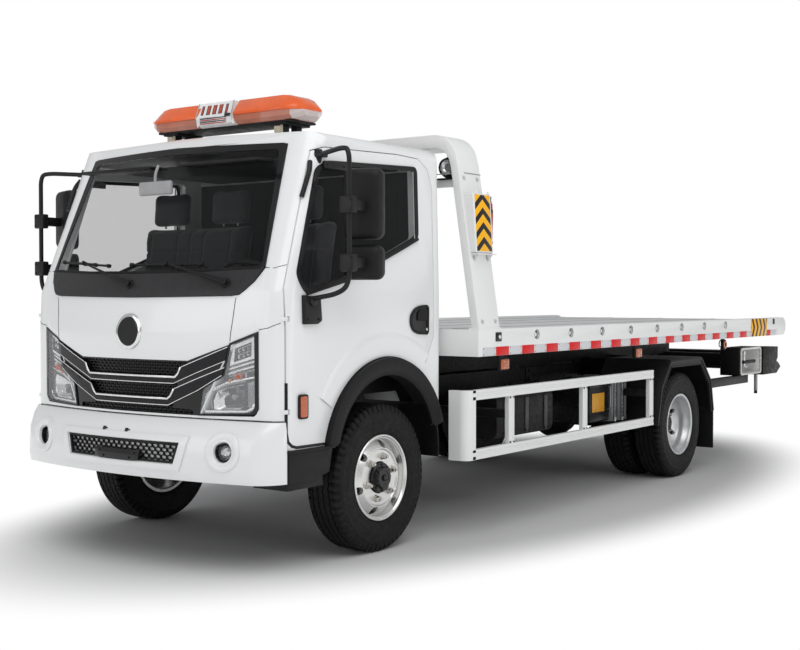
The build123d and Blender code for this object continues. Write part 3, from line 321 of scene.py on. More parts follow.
def flat_tone(name, colour, rough=0.5, metal=0.0, grain=300.0, depth=0.1):
    n = Nodes(name)
    tone = n.mix(n.noise(20.0, 4.0).ramp(0.35, 0.7), shade(colour, 0.88), colour)
    return n.finish(tone, n.noise(50.0).ramp(0.3, 0.7, rough, min(1.0, rough + 0.08)), metal,
        n.bump(n.noise(grain, 3.0), depth), **{"Specular IOR Level": DULL if max(colour) < 0.1 else 0.5})


def tape(name, colour):
    """Retro-reflective tape with its small honeycomb."""
    n = Nodes(name)
    cells = n.cells(260.0, "DISTANCE_TO_EDGE").ramp(0.02, 0.08)
    tone = n.mix(cells, shade(colour, 0.8), colour)
    return n.finish(tone, 0.32, 0.0, n.bump(cells, 0.2, 0.0005), **{"Specular IOR Level": DULL})


def chevrons(name, across, along, middle, period, slope):
    """Black and yellow chevrons, their points on the middle line and one pair in each period."""
    n = Nodes(name)
    parts = n.axes()
    run = parts[along] + abs(parts[across] - middle) * slope
    black = (run / period).fract() < 0.46
    tone = n.mix(black, look().chevron, (0.012, 0.012, 0.016))
    cells = n.cells(260.0, "DISTANCE_TO_EDGE").ramp(0.02, 0.08)
    return n.finish(tone, 0.3, 0.0, n.bump(cells, 0.15, 0.0005), **{"Specular IOR Level": DULL})


def woven(name, colour):
    """Seat cloth: a plain weave with a soft nap."""
    n = Nodes(name)
    x, y, z = n.axes()
    warp = abs((x * 420.0).fract() - 0.5)
    weft = abs(((y + z) * 420.0).fract() - 0.5)
    weave = warp * weft * 4.0
    tone = n.mix(weave.ramp(0.1, 0.8), shade(colour, 0.7), shade(colour, 1.2))
    return n.finish(tone, 0.9, 0.0, n.bump(weave, 0.4, 0.0008), **{"Sheen Weight": 0.25})


def deck_plate():
    """Raised diamonds rolled into the painted deck."""
    n = Nodes("deck_plate")
    x, y, _ = n.axes()
    left = abs(((x + y) * 22.0).fract() - 0.5) + abs(((x - y) * 7.5).fract() - 0.5) * 1.4
    right = abs(((x - y) * 22.0).fract() - 0.5) + abs(((x + y) * 7.5).fract() - 0.5) * 1.4
    bars = left.ramp(0.1, 0.22, 1.0, 0.0) + right.ramp(0.1, 0.22, 1.0, 0.0)
    white = look().bed_paint
    tone = n.mix(n.noise(3.0, 5.0).ramp(0.35, 0.75), shade(white, 0.8), shade(white, 0.92))
    tone = n.mix(n.noise(40.0, 6.0, 0.7).ramp(0.6, 0.75) * 0.3, tone, (0.35, 0.33, 0.31))
    return n.finish(tone, 0.42, 0.0, n.bump(bars, 0.6, 0.002))


MATERIALS = {}


def made_of(finish):
    """The material of that finish in LOOKS, made once."""
    if finish not in MATERIALS:
        make, *values = LOOKS[finish][1:]
        values = [getattr(look(), v) if isinstance(v, str) else v for v in values]
        MATERIALS[finish] = make(finish, *values) if values else make()
    return MATERIALS[finish]


# ---------------------------------------------------------------- shapes
def linked(name, data):
    """A new object in the scene."""
    made = bpy.data.objects.new(name, data)
    bpy.context.scene.collection.objects.link(made)
    return made


def bevelled(bm, edges, width, steps, **named):
    bmesh.ops.bevel(bm, geom=edges, offset=width, affect="EDGES", segments=steps, profile=0.5, material=-1,
        **named)


def rounded(bm, width, sharp=30.0, steps=2):
    """Bevels every edge that is sharper than the angle."""
    limit = radians(sharp)
    edges = [e for e in bm.edges if len(e.link_faces) == 2 and e.calc_face_angle(0.0) > limit]
    if width and edges:
        bevelled(bm, edges, width, steps, clamp_overlap=True)


def piece(bm, name, finish, body, stands_for=(), sharp=35.0, outwards=True):
    """Makes the mesh a finished piece that rides on a body."""
    if outwards:
        bmesh.ops.recalc_face_normals(bm, faces=bm.faces)
    limit = radians(sharp)
    for face in bm.faces:
        face.smooth = True
    for edge in bm.edges:
        if len(edge.link_faces) == 2 and edge.calc_face_angle(0.0) > limit:
            edge.smooth = False
    mesh = bpy.data.meshes.new(name)
    bm.to_mesh(mesh)
    bm.free()
    made = linked(name, mesh)
    mesh.materials.append(made_of(finish))
    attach(made, body)
    if stands_for:
        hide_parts(*stands_for)
    return made


def add_block(bm, low, high, width=0.0, steps=2):
    """A block between two corners, its edges rounded."""
    low, high = Vector(low), Vector(high)
    old = set(bm.verts)
    place = Matrix.Translation((low + high) / 2) @ Matrix.Diagonal((*(high - low), 1.0))
    made = bmesh.ops.create_cube(bm, size=1.0, matrix=place)
    if width:
        edges = {e for v in made["verts"] for e in v.link_edges}
        bevelled(bm, list(edges), width, steps)
    return [v for v in bm.verts if v not in old]


def add_rod(bm, start, end, radius, steps=24, top=None, width=0.0):
    """A round bar between two points, its ends rounded."""
    start, end = Vector(start), Vector(end)
    run = end - start
    turn = run.to_track_quat("Z", "Y").to_matrix().to_4x4()
    place = Matrix.Translation((start + end) / 2) @ turn
    old = set(bm.verts)
    bmesh.ops.create_cone(bm, cap_ends=True, segments=steps, radius1=radius,
        radius2=radius if top is None else top, depth=run.length, matrix=place)
    made = [v for v in bm.verts if v not in old]
    if width:
        edges = [e for e in {e for v in made for e in v.link_edges} if len(e.link_faces) == 2
                 and e.calc_face_angle(0.0) > 0.9]
        bevelled(bm, edges, width, 2)
    return [v for v in bm.verts if v not in old]


def add_plate(bm, points, push, width=0.0, steps=2):
    """A flat outline of points pushed out by a vector, its edges rounded."""
    old = set(bm.verts)
    verts = [bm.verts.new(p) for p in points]
    face = bm.faces.new(verts)
    grown = bmesh.ops.extrude_face_region(bm, geom=[face], use_keep_orig=True)
    bmesh.ops.translate(bm, vec=Vector(push), verts=[v for v in grown["geom"] if isinstance(v,
        bmesh.types.BMVert)])
    made = [v for v in bm.verts if v not in old]
    if width:
        edges = {e for v in made for e in v.link_edges}
        bevelled(bm, list(edges), width, steps)
    return [v for v in bm.verts if v not in old]


def add_spun(bm, profile, centre, steps=96):
    """A profile of (x, radius) points turned about the X axis through the centre."""
    old = set(bm.verts)
    verts = [bm.verts.new((x, 0.0, r)) for x, r in profile]
    edges = [bm.edges.new(pair) for pair in zip(verts, verts[1:])]
    bmesh.ops.spin(bm, geom=verts + edges, cent=(0, 0, 0), axis=(1, 0, 0), angle=2 * pi, steps=steps,
                   use_merge=True)
    made = [v for v in bm.verts if v not in old]
    bmesh.ops.remove_doubles(bm, verts=made, dist=1e-5)
    made = [v for v in bm.verts if v not in old]
    bmesh.ops.translate(bm, vec=Vector(centre), verts=made)
    return made


def add_tube(bm, points, radius, bend=0.04, steps=14):
    """A bent round tube through the points."""
    curve = bpy.data.curves.new("tube", "CURVE")
    curve.dimensions = "3D"
    line = curve.splines.new("BEZIER")
    points = [Vector(p) for p in points]
    knots = [(points[0], None, None)]
    for before, at, after in zip(points, points[1:], points[2:]):
        back = (before - at).normalized() * min(bend, (before - at).length * 0.45)
        ahead = (after - at).normalized() * min(bend, (after - at).length * 0.45)
        knots += [(at + back, at, "in"), (at + ahead, at, "out")]
    knots.append((points[-1], None, None))
    line.bezier_points.add(len(knots) - 1)
    for knot, (at, corner, way) in zip(line.bezier_points, knots):
        knot.co = at
        knot.handle_left_type = knot.handle_right_type = "VECTOR" if corner is None else "FREE"
        if corner is not None:
            pull = at + (corner - at) * 0.55
            knot.handle_right = pull if way == "in" else at - (corner - at) * 0.1
            knot.handle_left = pull if way == "out" else at - (corner - at) * 0.1
    curve.bevel_depth = radius
    curve.bevel_resolution = steps // 4
    curve.resolution_u = 8
    curve.use_fill_caps = True
    made = bpy.data.objects.new("tube", curve)
    mesh = bpy.data.meshes.new_from_object(made)
    old = set(bm.verts)
    bm.from_mesh(mesh)
    bpy.data.objects.remove(made)
    bpy.data.curves.remove(curve)
    bpy.data.meshes.remove(mesh)
    return [v for v in bm.verts if v not in old]


def mirror_all(bm):
    """Adds the mirror image of the whole mesh across the truck's middle."""
    copy = bmesh.ops.duplicate(bm, geom=bm.verts[:] + bm.edges[:] + bm.faces[:])
    verts = [v for v in copy["geom"] if isinstance(v, bmesh.types.BMVert)]
    bmesh.ops.scale(bm, vec=(-1, 1, 1), verts=verts)
    bmesh.ops.reverse_faces(bm, faces=[f for f in copy["geom"] if isinstance(f, bmesh.types.BMFace)])


def flipped(bm):
    """Turns the mesh into its mirror image."""
    bmesh.ops.scale(bm, vec=(-1, 1, 1), verts=bm.verts)
    bmesh.ops.reverse_faces(bm, faces=bm.faces)


def handed(bm, way):
    """The mesh as made for the left side, or mirrored for the right."""
    if way < 0:
        flipped(bm)
    return bm


def from_node(node, flat=1.2):
    """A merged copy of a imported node's mesh, its flat faces joined."""
    bm = bmesh.new()
    bm.from_mesh(frame["nodes"][node].data)
    bmesh.ops.remove_doubles(bm, verts=bm.verts, dist=2e-5)
    bmesh.ops.dissolve_limit(bm, angle_limit=radians(flat), verts=bm.verts, edges=bm.edges)
    return bm


def refine(node, name, finish, body, width, sharp=28.0, steps=2, flat=1.2):
    """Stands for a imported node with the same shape, its edges rounded."""
    bm = from_node(node, flat)
    rounded(bm, width, sharp, steps)
    return piece(bm, name, finish, body, (node,), 32.0)


def coat(node, finish):
    """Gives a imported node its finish."""
    made = frame["nodes"][node]
    if not made.material_slots:
        made.data.materials.append(made_of(finish))
    for place in made.material_slots:
        place.material = made_of(finish)


def look():
    return bpy.context.scene.tow_truck


# ---------------------------------------------------------------- what a user may change
def colour_prop(name, text, default):
    return bpy.props.FloatVectorProperty(name=name, description=text, default=default, size=3, min=0.0,
        max=1.0, subtype="COLOR")


def size_prop(name, text, default):
    return bpy.props.FloatProperty(name=name, description=text, default=default, min=0.0, unit="LENGTH")


class TowTruckLook(bpy.types.PropertyGroup):
    """Colours and small sizes of the tow truck."""

    paint: colour_prop("Cab paint", "Colour of the cab's paint", (0.8, 0.81, 0.815))
    bed_paint: colour_prop("Bed paint", "Colour of the bed and gantry", (0.8, 0.805, 0.8))
    plastic: colour_prop("Moulded plastic", "Colour of bare moulded trim", (0.008, 0.008, 0.009))
    amber: colour_prop("Amber lens", "Colour of the light bar and side lamps", (0.92, 0.125, 0.004))
    tape_red: colour_prop("Red tape", "Red blocks of the reflective tape", (0.7, 0.008, 0.01))
    tape_white: colour_prop("White tape", "White blocks of the reflective tape", (0.66, 0.67, 0.69))
    chevron: colour_prop("Chevron yellow", "Yellow of the warning chevrons", (0.95, 0.47, 0.005))
    groove: size_prop("Tread depth", "Depth of the tyre's grooves", 0.009)
    notch: size_prop("Shoulder notch", "Depth of the notches in the tyre's shoulder", 0.007)
    tape_height: size_prop("Tape height", "Height of the reflective tape", 0.05)
    tape_pitch: size_prop("Tape pitch", "Length of one red and one white block", 0.292)
    mesh_pitch: size_prop("Grille mesh pitch", "Width of one cell of the grille's mesh", 0.034)


class TowTruckPiece:
    """What every piece's operator shares."""

    bl_options = {"REGISTER", "UNDO"}


# ---------------------------------------------------------------- wheels
# x from the tyre's middle, radius (0 at the bottom of a groove) and which way the zigzag moves the point
TREAD_RADIUS = 0.394
ZIGZAG = 0.0028
TREAD = [(0.0, 0.395, 0), (0.014, 0.3949, 1), (0.014, 0.0, 1), (0.021, 0.0, 1), (0.021, 0.3947, 1),
         (0.035, 0.3945, 0), (0.05, 0.394, -1), (0.05, 0.0, -1), (0.058, 0.0, -1), (0.058, 0.3935, -1),
         (0.072, 0.3925, 0), (0.0865, 0.3895, 0)]
SIDEWALL = [(0.0935, 0.3815, 0), (0.0985, 0.367, 0), (0.103, 0.356, 0), (0.1055, 0.347, 0),
            (0.1073, 0.344, 0), (0.1074, 0.3385, 0), (0.1064, 0.335, 0), (0.1074, 0.312, 0),
            (0.1066, 0.286, 0), (0.104, 0.265, 0), (0.1026, 0.261, 0), (0.1034, 0.2585, 0),
            (0.0985, 0.245, 0), (0.0925, 0.236, 0), (0.09, 0.23, 0), (0.0885, 0.223, 0), (0.086, 0.2135, 0)]


def add_tyre(bm, centre, steps=240):
    """A tyre whose tread ribs run in zigzags and whose shoulders are notched."""
    depth = look().groove
    half = [(x, r or TREAD_RADIUS - depth, way) for x, r, way in TREAD + SIDEWALL]
    ring = [(-x, r, way) for x, r, way in reversed(half[1:])] + half
    old = set(bm.verts)
    made = add_spun(bm, [(x, r) for x, r, _ in ring], (0, 0, 0), steps)
    ways = {(round(x, 4), round(r, 4)): way for x, r, way in ring}
    for v in made:
        way = ways.get((round(v.co.x, 4), round(hypot(v.co.y, v.co.z), 4)), 0)
        turn = round(atan2(v.co.y, v.co.z) / (2 * pi) * steps)
        if way:
            v.co.x += way * (ZIGZAG if (turn // 2) % 2 else -ZIGZAG)
    bm.faces.ensure_lookup_table()
    cut = []
    for face in bm.faces:
        if face.verts[0] in old:
            continue
        at = face.calc_center_median()
        radius = hypot(at.y, at.z)
        turn = floor(atan2(at.y, at.z) / (2 * pi) * steps) % 4
        if turn == 0 and radius > 0.36 and abs(at.x) > 0.073:
            cut.append(face)
    grown = bmesh.ops.extrude_face_region(bm, geom=cut)
    for v in grown["geom"]:
        if isinstance(v, bmesh.types.BMVert):
            way = Vector((0.0, v.co.y, v.co.z)).normalized() * 0.8 + Vector((copysign(0.5, v.co.x), 0, 0))
            v.co -= way * look().notch
    made = [v for v in bm.verts if v not in old]
    bmesh.ops.translate(bm, vec=Vector(centre), verts=made)
    return made


WHEELS = (("front_tyre_", "front_wheel_", FRONT_AXLE, (FRONT_WHEEL_X,)),
          ("rear_tyres_", "rear_wheels_", REAR_AXLE, (INNER_WHEEL_X, OUTER_WHEEL_X)))


class TOWTRUCK_OT_tyres(bpy.types.Operator, TowTruckPiece):
    """Six road tyres with zigzag ribs and notched shoulders"""

    bl_idname = "towtruck.tyres"
    bl_label = "Tyres"

    def execute(self, context):
        for side, way in (("left", 1), ("right", -1)):
            for node, body, y, xs in WHEELS:
                bm = bmesh.new()
                for x in xs:
                    add_tyre(bm, (way * x, y, AXLE_HEIGHT))
                piece(bm, "road_" + node + side, "rubber", body + side, (node + side,), 40.0)
        return {"FINISHED"}


def add_nuts(bm, x, centre, radius, count, size, tall, turn=0.0):
    """A ring of wheel nuts with their studs."""
    for i in range(count):
        angle = 2 * pi * i / count + turn
        y, z = centre[1] + radius * sin(angle), centre[2] + radius * cos(angle)
        way = copysign(1.0, x)
        add_rod(bm, (x, y, z), (x + way * 0.006, y, z), size * 1.25, 20, size * 1.1)
        add_rod(bm, (x + way * 0.004, y, z), (x + way * tall, y, z), size, 6, size * 0.94, 0.0015)
        add_rod(bm, (x + way * tall, y, z), (x + way * (tall + 0.012), y, z), size * 0.5, 14, None, 0.001)


def punch(centre, radius, count, size, low, high, steps=20, turn=0.0):
    """A ring of round bars that cut holes through a spun disc's wall."""
    cutter = bmesh.new()
    for i in range(count):
        angle = 2 * pi * (i + turn) / count
        y, z = centre[1] + radius * sin(angle), centre[2] + radius * cos(angle)
        add_rod(cutter, (low, y, z), (high, y, z), size, steps)
    return cutter


def cut_with(made, cutter):
    """Takes the cutter's shapes out of a finished piece."""
    mesh = bpy.data.meshes.new("cutter")
    bmesh.ops.recalc_face_normals(cutter, faces=cutter.faces)
    cutter.to_mesh(mesh)
    cutter.free()
    tool = linked("cutter", mesh)
    change = made.modifiers.new("cut", "BOOLEAN")
    change.operation, change.solver, change.object = "DIFFERENCE", "EXACT", tool
    bpy.context.view_layer.update()
    shown = made.evaluated_get(bpy.context.evaluated_depsgraph_get())
    result = bpy.data.meshes.new_from_object(shown)
    made.modifiers.clear()
    made.data = result
    bpy.data.objects.remove(tool)
    bpy.data.meshes.remove(mesh)


FRONT_DISC = [(0.0905, 0.229), (0.0965, 0.23), (0.1, 0.227), (0.1, 0.2215), (0.096, 0.217),
              (0.085, 0.212), (0.064, 0.207), (0.047, 0.206), (0.044, 0.203), (0.047, 0.2),
              (0.064, 0.188), (0.083, 0.168), (0.09, 0.159), (0.09, 0.154), (0.085, 0.15),
              (0.082, 0.146), (0.082, 0.086), (0.078, 0.084), (0.07, 0.084), (0.07, 0.148),
              (0.05, 0.18), (0.034, 0.196), (0.03, 0.2035), (-0.09, 0.2035), (-0.096, 0.212),
              (-0.096, 0.228), (-0.0905, 0.229), (-0.089, 0.211), (0.089, 0.211), (0.0905, 0.229)]
FRONT_HUB = [(0.056, 0.08), (0.098, 0.08), (0.101, 0.077), (0.101, 0.06), (0.104, 0.058),
             (0.118, 0.056), (0.121, 0.053), (0.121, 0.036), (0.118, 0.034), (0.118, 0.018),
             (0.126, 0.016), (0.128, 0.012), (0.128, 0.0)]
REAR_DISC = [(0.0905, 0.229), (0.0965, 0.23), (0.1, 0.227), (0.1, 0.2215), (0.096, 0.215),
             (0.086, 0.211), (0.076, 0.21), (0.06, 0.204), (0.048, 0.196), (0.034, 0.1935),
             (0.01, 0.193), (0.002, 0.19), (-0.004, 0.185), (-0.024, 0.17), (-0.042, 0.142),
             (-0.047, 0.13), (-0.047, 0.085), (-0.06, 0.085), (-0.06, 0.13), (-0.05, 0.15),
             (-0.03, 0.18), (-0.02, 0.2035), (-0.09, 0.2035), (-0.096, 0.212), (-0.096, 0.228),
             (-0.0905, 0.229), (-0.089, 0.211), (0.089, 0.211), (0.0905, 0.229)]


class TOWTRUCK_OT_rims(bpy.types.Operator, TowTruckPiece):
    """Polished front wheels and deep silver rear wheels with their nuts and hubs"""

    bl_idname = "towtruck.rims"
    bl_label = "Wheels"

    def execute(self, context):
        for side, way in (("left", 1), ("right", -1)):
            self.front(side, way)
            self.rear(side, way)
        return {"FINISHED"}

    def front(self, side, way):
        centre = (FRONT_WHEEL_X, FRONT_AXLE, AXLE_HEIGHT)
        bm = bmesh.new()
        add_spun(bm, FRONT_DISC, centre, 96)
        handed(bm, way)
        made = piece(bm, "front_disc_" + side, "polished_wheel", "front_wheel_" + side,
            ("front_rim_" + side,))
        low, high = sorted((way * (FRONT_WHEEL_X + 0.03), way * (FRONT_WHEEL_X + 0.12)))
        cut_with(made, punch((0, *centre[1:]), 0.178, 6, 0.022, low, high, 28, 0.2))
        bm = bmesh.new()
        add_nuts(bm, FRONT_WHEEL_X + 0.082, centre, 0.114, 6, 0.0165, 0.026, 0.25)
        handed(bm, way)
        piece(bm, "front_nuts_" + side, "nut_metal", "front_wheel_" + side, sharp=30.0)
        bm = bmesh.new()
        add_spun(bm, FRONT_HUB, (FRONT_WHEEL_X, FRONT_AXLE, AXLE_HEIGHT), 48)
        for i in range(8):
            angle = 2 * pi * i / 8
            y, z = FRONT_AXLE + 0.068 * sin(angle), AXLE_HEIGHT + 0.068 * cos(angle)
            add_rod(bm, (FRONT_WHEEL_X + 0.1, y, z), (FRONT_WHEEL_X + 0.107, y, z), 0.006, 6)
        add_spun(bm, [(-0.088, 0.138), (-0.088, 0.152), (0.012, 0.152), (0.012, 0.075)], centre, 64)
        handed(bm, way)
        piece(bm, "front_hub_" + side, "hub_black", "front_wheel_" + side)

    def rear(self, side, way):
        bm = bmesh.new()
        add_spun(bm, REAR_DISC, (OUTER_WHEEL_X, REAR_AXLE, AXLE_HEIGHT), 96)
        add_spun(bm, [(-x, r) for x, r in REAR_DISC], (INNER_WHEEL_X, REAR_AXLE, AXLE_HEIGHT), 96)
        handed(bm, way)
        made = piece(bm, "rear_discs_" + side, "silver_wheel", "rear_wheels_" + side, ("rear_rims_" + side,))
        low, high = sorted((way * 0.9, way * 1.0))
        cut_with(made, punch((0, REAR_AXLE, AXLE_HEIGHT), 0.16, 6, 0.02, low, high, 28))
        bm = bmesh.new()
        add_nuts(bm, OUTER_WHEEL_X - 0.047, (0, REAR_AXLE, AXLE_HEIGHT), 0.112, 6, 0.0165, 0.026)
        handed(bm, way)
        piece(bm, "rear_nuts_" + side, "nut_metal", "rear_wheels_" + side, sharp=30.0)
        bm = bmesh.new()
        add_spun(bm, [(0.82, 0.084), (0.94, 0.084), (0.944, 0.08), (0.944, 0.072), (0.985, 0.066),
            (0.99, 0.06), (0.99, 0.045), (0.986, 0.04), (0.986, 0.0)], (0, REAR_AXLE, AXLE_HEIGHT), 48)
        add_spun(bm, [(0.69, 0.158), (0.69, 0.172), (0.915, 0.172), (0.915, 0.08)],
                 (0, REAR_AXLE, AXLE_HEIGHT), 64)
        handed(bm, way)
        piece(bm, "rear_hub_" + side, "hub_black", "rear_wheels_" + side)


# ---------------------------------------------------------------- pieces that follow the cab's skin
def skin_of(*nodes):
    """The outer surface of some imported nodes, for laying thin pieces on."""
    bm = bmesh.new()
    for node in nodes:
        bm.from_mesh(frame["nodes"][node].data)
    tree = BVHTree.FromBMesh(bm)
    bm.free()
    return tree


def lay_on(verts, tree, way, lift):
    """Moves each point along the way until it stands that far off the surface."""
    way = Vector(way)
    last = None
    for v in verts:
        hit = tree.ray_cast(v.co - way * 3.0, way)[0]
        if hit is not None:
            v.co = hit - way * lift
            last = v.co.copy()
        elif last is not None:
            v.co = v.co + way * ((last - v.co).dot(way))


def is_inside(point, edge):
    """Whether a flat point lies in the closed edge."""
    inside = False
    u, v = point
    for (u0, v0), (u1, v1) in zip(edge, edge[1:] + edge[:1]):
        if (v0 > v) != (v1 > v) and u < (u1 - u0) * (v - v0) / (v1 - v0) + u0:
            inside = not inside
    return inside


def net(edge, hole=None, step=0.03, side=False):
    """A flat mesh of small squares trimmed to a closed edge, seen from the front or from the side."""
    us, vs = [u for u, _ in edge], [v for _, v in edge]
    middle = ((min(us) + max(us)) / 2, (min(vs) + max(vs)) / 2)
    half = max(max(us) - min(us), max(vs) - min(vs)) / 2 + step
    count = max(2, int(2 * half / step))

    def place(u, v):
        return Vector((0.0, u, v)) if side else Vector((u, 0.0, v))

    bm = bmesh.new()
    turn = Matrix.Rotation(pi / 2, 4, "X")
    if side:
        turn = Matrix.Rotation(pi / 2, 4, "Z") @ turn
    bmesh.ops.create_grid(bm, x_segments=count, y_segments=count, size=half,
                          matrix=Matrix.Translation(place(*middle)) @ turn)
    for loop in (edge, hole) if hole else (edge,):
        for (u0, v0), (u1, v1) in zip(loop, loop[1:] + loop[:1]):
            along = place(u1 - u0, v1 - v0)
            normal = along.cross(Vector((1, 0, 0)) if side else Vector((0, 1, 0)))
            near = [f for f in bm.faces if loop is edge or (f.calc_center_median() - place(u0, v0)).length
                    < along.length + 3 * step]
            geom = near + list({e for f in near for e in f.edges}) + list({v for f in near for v in f.verts})
            bmesh.ops.bisect_plane(bm, geom=geom, dist=1e-6, plane_co=place(u0, v0), plane_no=normal)
    gone = []
    for face in bm.faces:
        at = face.calc_center_median()
        at = (at.y, at.z) if side else (at.x, at.z)
        if not is_inside(at, edge) or (hole and is_inside(at, hole)):
            gone.append(face)
    bmesh.ops.delete(bm, geom=gone, context="FACES")
    return bm


def thicken(bm, push):
    """Gives a thin sheet a wall by pushing a copy back."""
    push = Vector(push)
    grown = bmesh.ops.extrude_face_region(bm, geom=bm.faces[:], use_keep_orig=True)
    bmesh.ops.translate(bm, vec=push, verts=[v for v in grown["geom"] if isinstance(v, bmesh.types.BMVert)])


def ribbon(points, width, step=0.03, side=False):
    """A flat strip of even width along points, seen from the front or from the side."""
    bm = bmesh.new()
    fine = [Vector(points[0])]
    for start, end in zip(points, points[1:]):
        start, end = Vector(start), Vector(end)
        count = max(1, int((end - start).length / step))
        fine += [start.lerp(end, (i + 1) / count) for i in range(count)]
    rows = []
    for i, at in enumerate(fine):
        before = (at - fine[i - 1]).normalized() if i else (fine[1] - at).normalized()
        after = (fine[i + 1] - at).normalized() if i + 1 < len(fine) else before
        run = (before + after).normalized()
        across = Vector((-run.y, run.x)) * (width / 2 / max(0.4, run.dot(before)))
        row = []
        for share in (-1.0, -0.33, 0.33, 1.0):
            u, v = at + across * share
            row.append(bm.verts.new((0.0, u, v) if side else (u, 0.0, v)))
        rows.append(row)
    for low, high in zip(rows, rows[1:]):
        for i in range(3):
            bm.faces.new((low[i], low[i + 1], high[i + 1], high[i]))
    return bm


INWARD = (-1.0, 0.0, 0.0)


def laid(bm, tree, way, lift, depth):
    """Lays a flat sheet on a surface and gives it a wall."""
    lay_on(bm.verts, tree, way, lift)
    thicken(bm, Vector(way) * depth)
    return bm


def mm(points, shift=0.0):
    """Points in metres from millimetres, the first number moved along."""
    return [(u / 1000.0 + shift, v / 1000.0) for u, v in points]


# ---------------------------------------------------------------- pieces that follow the cab's face
# One row for each level of the cab: z, x and y of the front corner, y at the middle, x and y of the side.
CAB_PLAN = [(0.56, 0.797, -0.822, -0.915, 0.928, -0.73), (1.18, 0.799, -0.823, -0.936, 0.93, -0.725),
            (1.38, 0.805, -0.813, -0.905, 0.931, -0.705), (2.15, 0.727, -0.517, -0.587, 0.898, -0.43),
            (2.26, 0.716, -0.475, -0.545, 0.893, -0.391)]
# One row for each level of the bumper: z, and how far it stands out from the cab's lowest level.
BUMPER_RISE = [(0.453, 0.092), (0.5, 0.1), (0.64, 0.092), (0.71, 0.06), (0.75, 0.016)]
BUMPER_PLAN = [(z, 0.797 + out * 0.2, -0.822 - out, -0.915 - out, 0.932, -0.74) for z, out in BUMPER_RISE]


def plan_y(row, x):
    """How far forward one level of a plan stands at x."""
    _, corner_x, corner_y, nose_y, side_x, side_y = row
    x = abs(x)
    if x <= corner_x:
        sag = corner_y - nose_y
        radius = (corner_x ** 2 + sag ** 2) / (2 * sag)
        return nose_y + radius - sqrt(radius ** 2 - x ** 2)
    if x >= side_x:
        return side_y
    middle = Vector(((corner_x + side_x) / 2 + 0.026, (corner_y + side_y) / 2 - 0.02))
    first, last = Vector((corner_x, corner_y)), Vector((side_x, side_y))
    one, two = middle - first, last - first
    cross = 2 * (one.x * two.y - one.y * two.x)
    centre = first + Vector((two.y * one.length_squared - one.y * two.length_squared,
                             one.x * two.length_squared - two.x * one.length_squared)) / cross
    radius = (first - centre).length
    return centre.y - sqrt(max(0.0, radius ** 2 - (x - centre.x) ** 2))


def face_y(plan, x, z):
    """The face's y at x and z, straight between the levels of its plan."""
    for low, high in zip(plan, plan[1:]):
        if z <= high[0]:
            break
    share = (z - low[0]) / (high[0] - low[0])
    return FRONT_AXLE + plan_y(low, x) * (1 - share) + plan_y(high, x) * share


def wrapped(bm, plan=CAB_PLAN):
    """Bends a mesh made flat against y = 0 round the face, -y standing out from it."""
    step = 0.004
    for v in bm.verts:
        x, out, z = v.co.x, -v.co.y, v.co.z
        y = face_y(plan, x, z)
        slope_x = (face_y(plan, x + step, z) - face_y(plan, x - step, z)) / (2 * step)
        slope_z = (face_y(plan, x, z + step) - face_y(plan, x, z - step)) / (2 * step)
        v.co = Vector((x, y, z)) + Vector((slope_x, -1.0, slope_z)).normalized() * out
    return bm


def both_sides(points):
    """A closed outline from the points of its left half, which run from the middle to the middle."""
    return points + [(-u, v) for u, v in reversed(points) if u > 1e-6]


def trimmed(bm, edge, side=False):
    """Cuts a flat mesh along a closed edge and drops what lies outside."""
    def place(u, v):
        return Vector((0.0, u, v)) if side else Vector((u, 0.0, v))
    for (u0, v0), (u1, v1) in zip(edge, edge[1:] + edge[:1]):
        normal = place(u1 - u0, v1 - v0).cross(Vector((1, 0, 0)) if side else Vector((0, 1, 0)))
        bmesh.ops.bisect_plane(bm, geom=bm.verts[:] + bm.edges[:] + bm.faces[:], dist=1e-6,
                               plane_co=place(u0, v0), plane_no=normal)
    gone = []
    for face in bm.faces:
        at = face.calc_center_median()
        if not is_inside((at.y, at.z) if side else (at.x, at.z), edge):
            gone.append(face)
    bmesh.ops.delete(bm, geom=gone, context="FACES")
    return bm


def honeycomb(edge, pitch, wall, depth):
    """A flat honeycomb of low wide cells trimmed to a closed edge."""
    tall = pitch * 0.6
    us, vs = [u for u, _ in edge], [v for _, v in edge]
    bm = bmesh.new()
    rows = int((max(vs) - min(vs)) / (tall * 0.75)) + 2
    columns = int((max(us) - min(us)) / pitch) + 2
    hexagon = [(0, 0.5), (0.5, 0.25), (0.5, -0.25), (0, -0.5), (-0.5, -0.25), (-0.5, 0.25)]
    for row in range(rows):
        for column in range(columns):
            u = min(us) + (column + 0.5 * (row % 2)) * pitch
            v = min(vs) + row * tall * 0.75
            bm.faces.new([bm.verts.new((u + a * pitch, 0.0, v + b * tall)) for a, b in hexagon])
    bmesh.ops.remove_doubles(bm, verts=bm.verts, dist=1e-4)
    holes = bm.faces[:]
    bmesh.ops.inset_individual(bm, faces=holes, thickness=wall / 2)
    bmesh.ops.delete(bm, geom=holes, context="FACES")
    trimmed(bm, edge)
    thicken(bm, (0.0, depth, 0.0))
    return bm


def slab(edge, out, depth, hole=None, step=0.03, round_by=0.0):
    """A flat plate of even depth whose face stands out from the cab's."""
    bm = net(edge, hole, step)
    bmesh.ops.translate(bm, vec=(0.0, -out, 0.0), verts=bm.verts)
    thicken(bm, (0.0, depth, 0.0))
    if round_by:
        rounded(bm, round_by, 60.0)
    return bm


def joined(*parts):
    """One mesh from several."""
    bm = parts[0]
    for part in parts[1:]:
        mesh = bpy.data.meshes.new("part")
        part.to_mesh(mesh)
        part.free()
        bm.from_mesh(mesh)
        bpy.data.meshes.remove(mesh)
    return bm


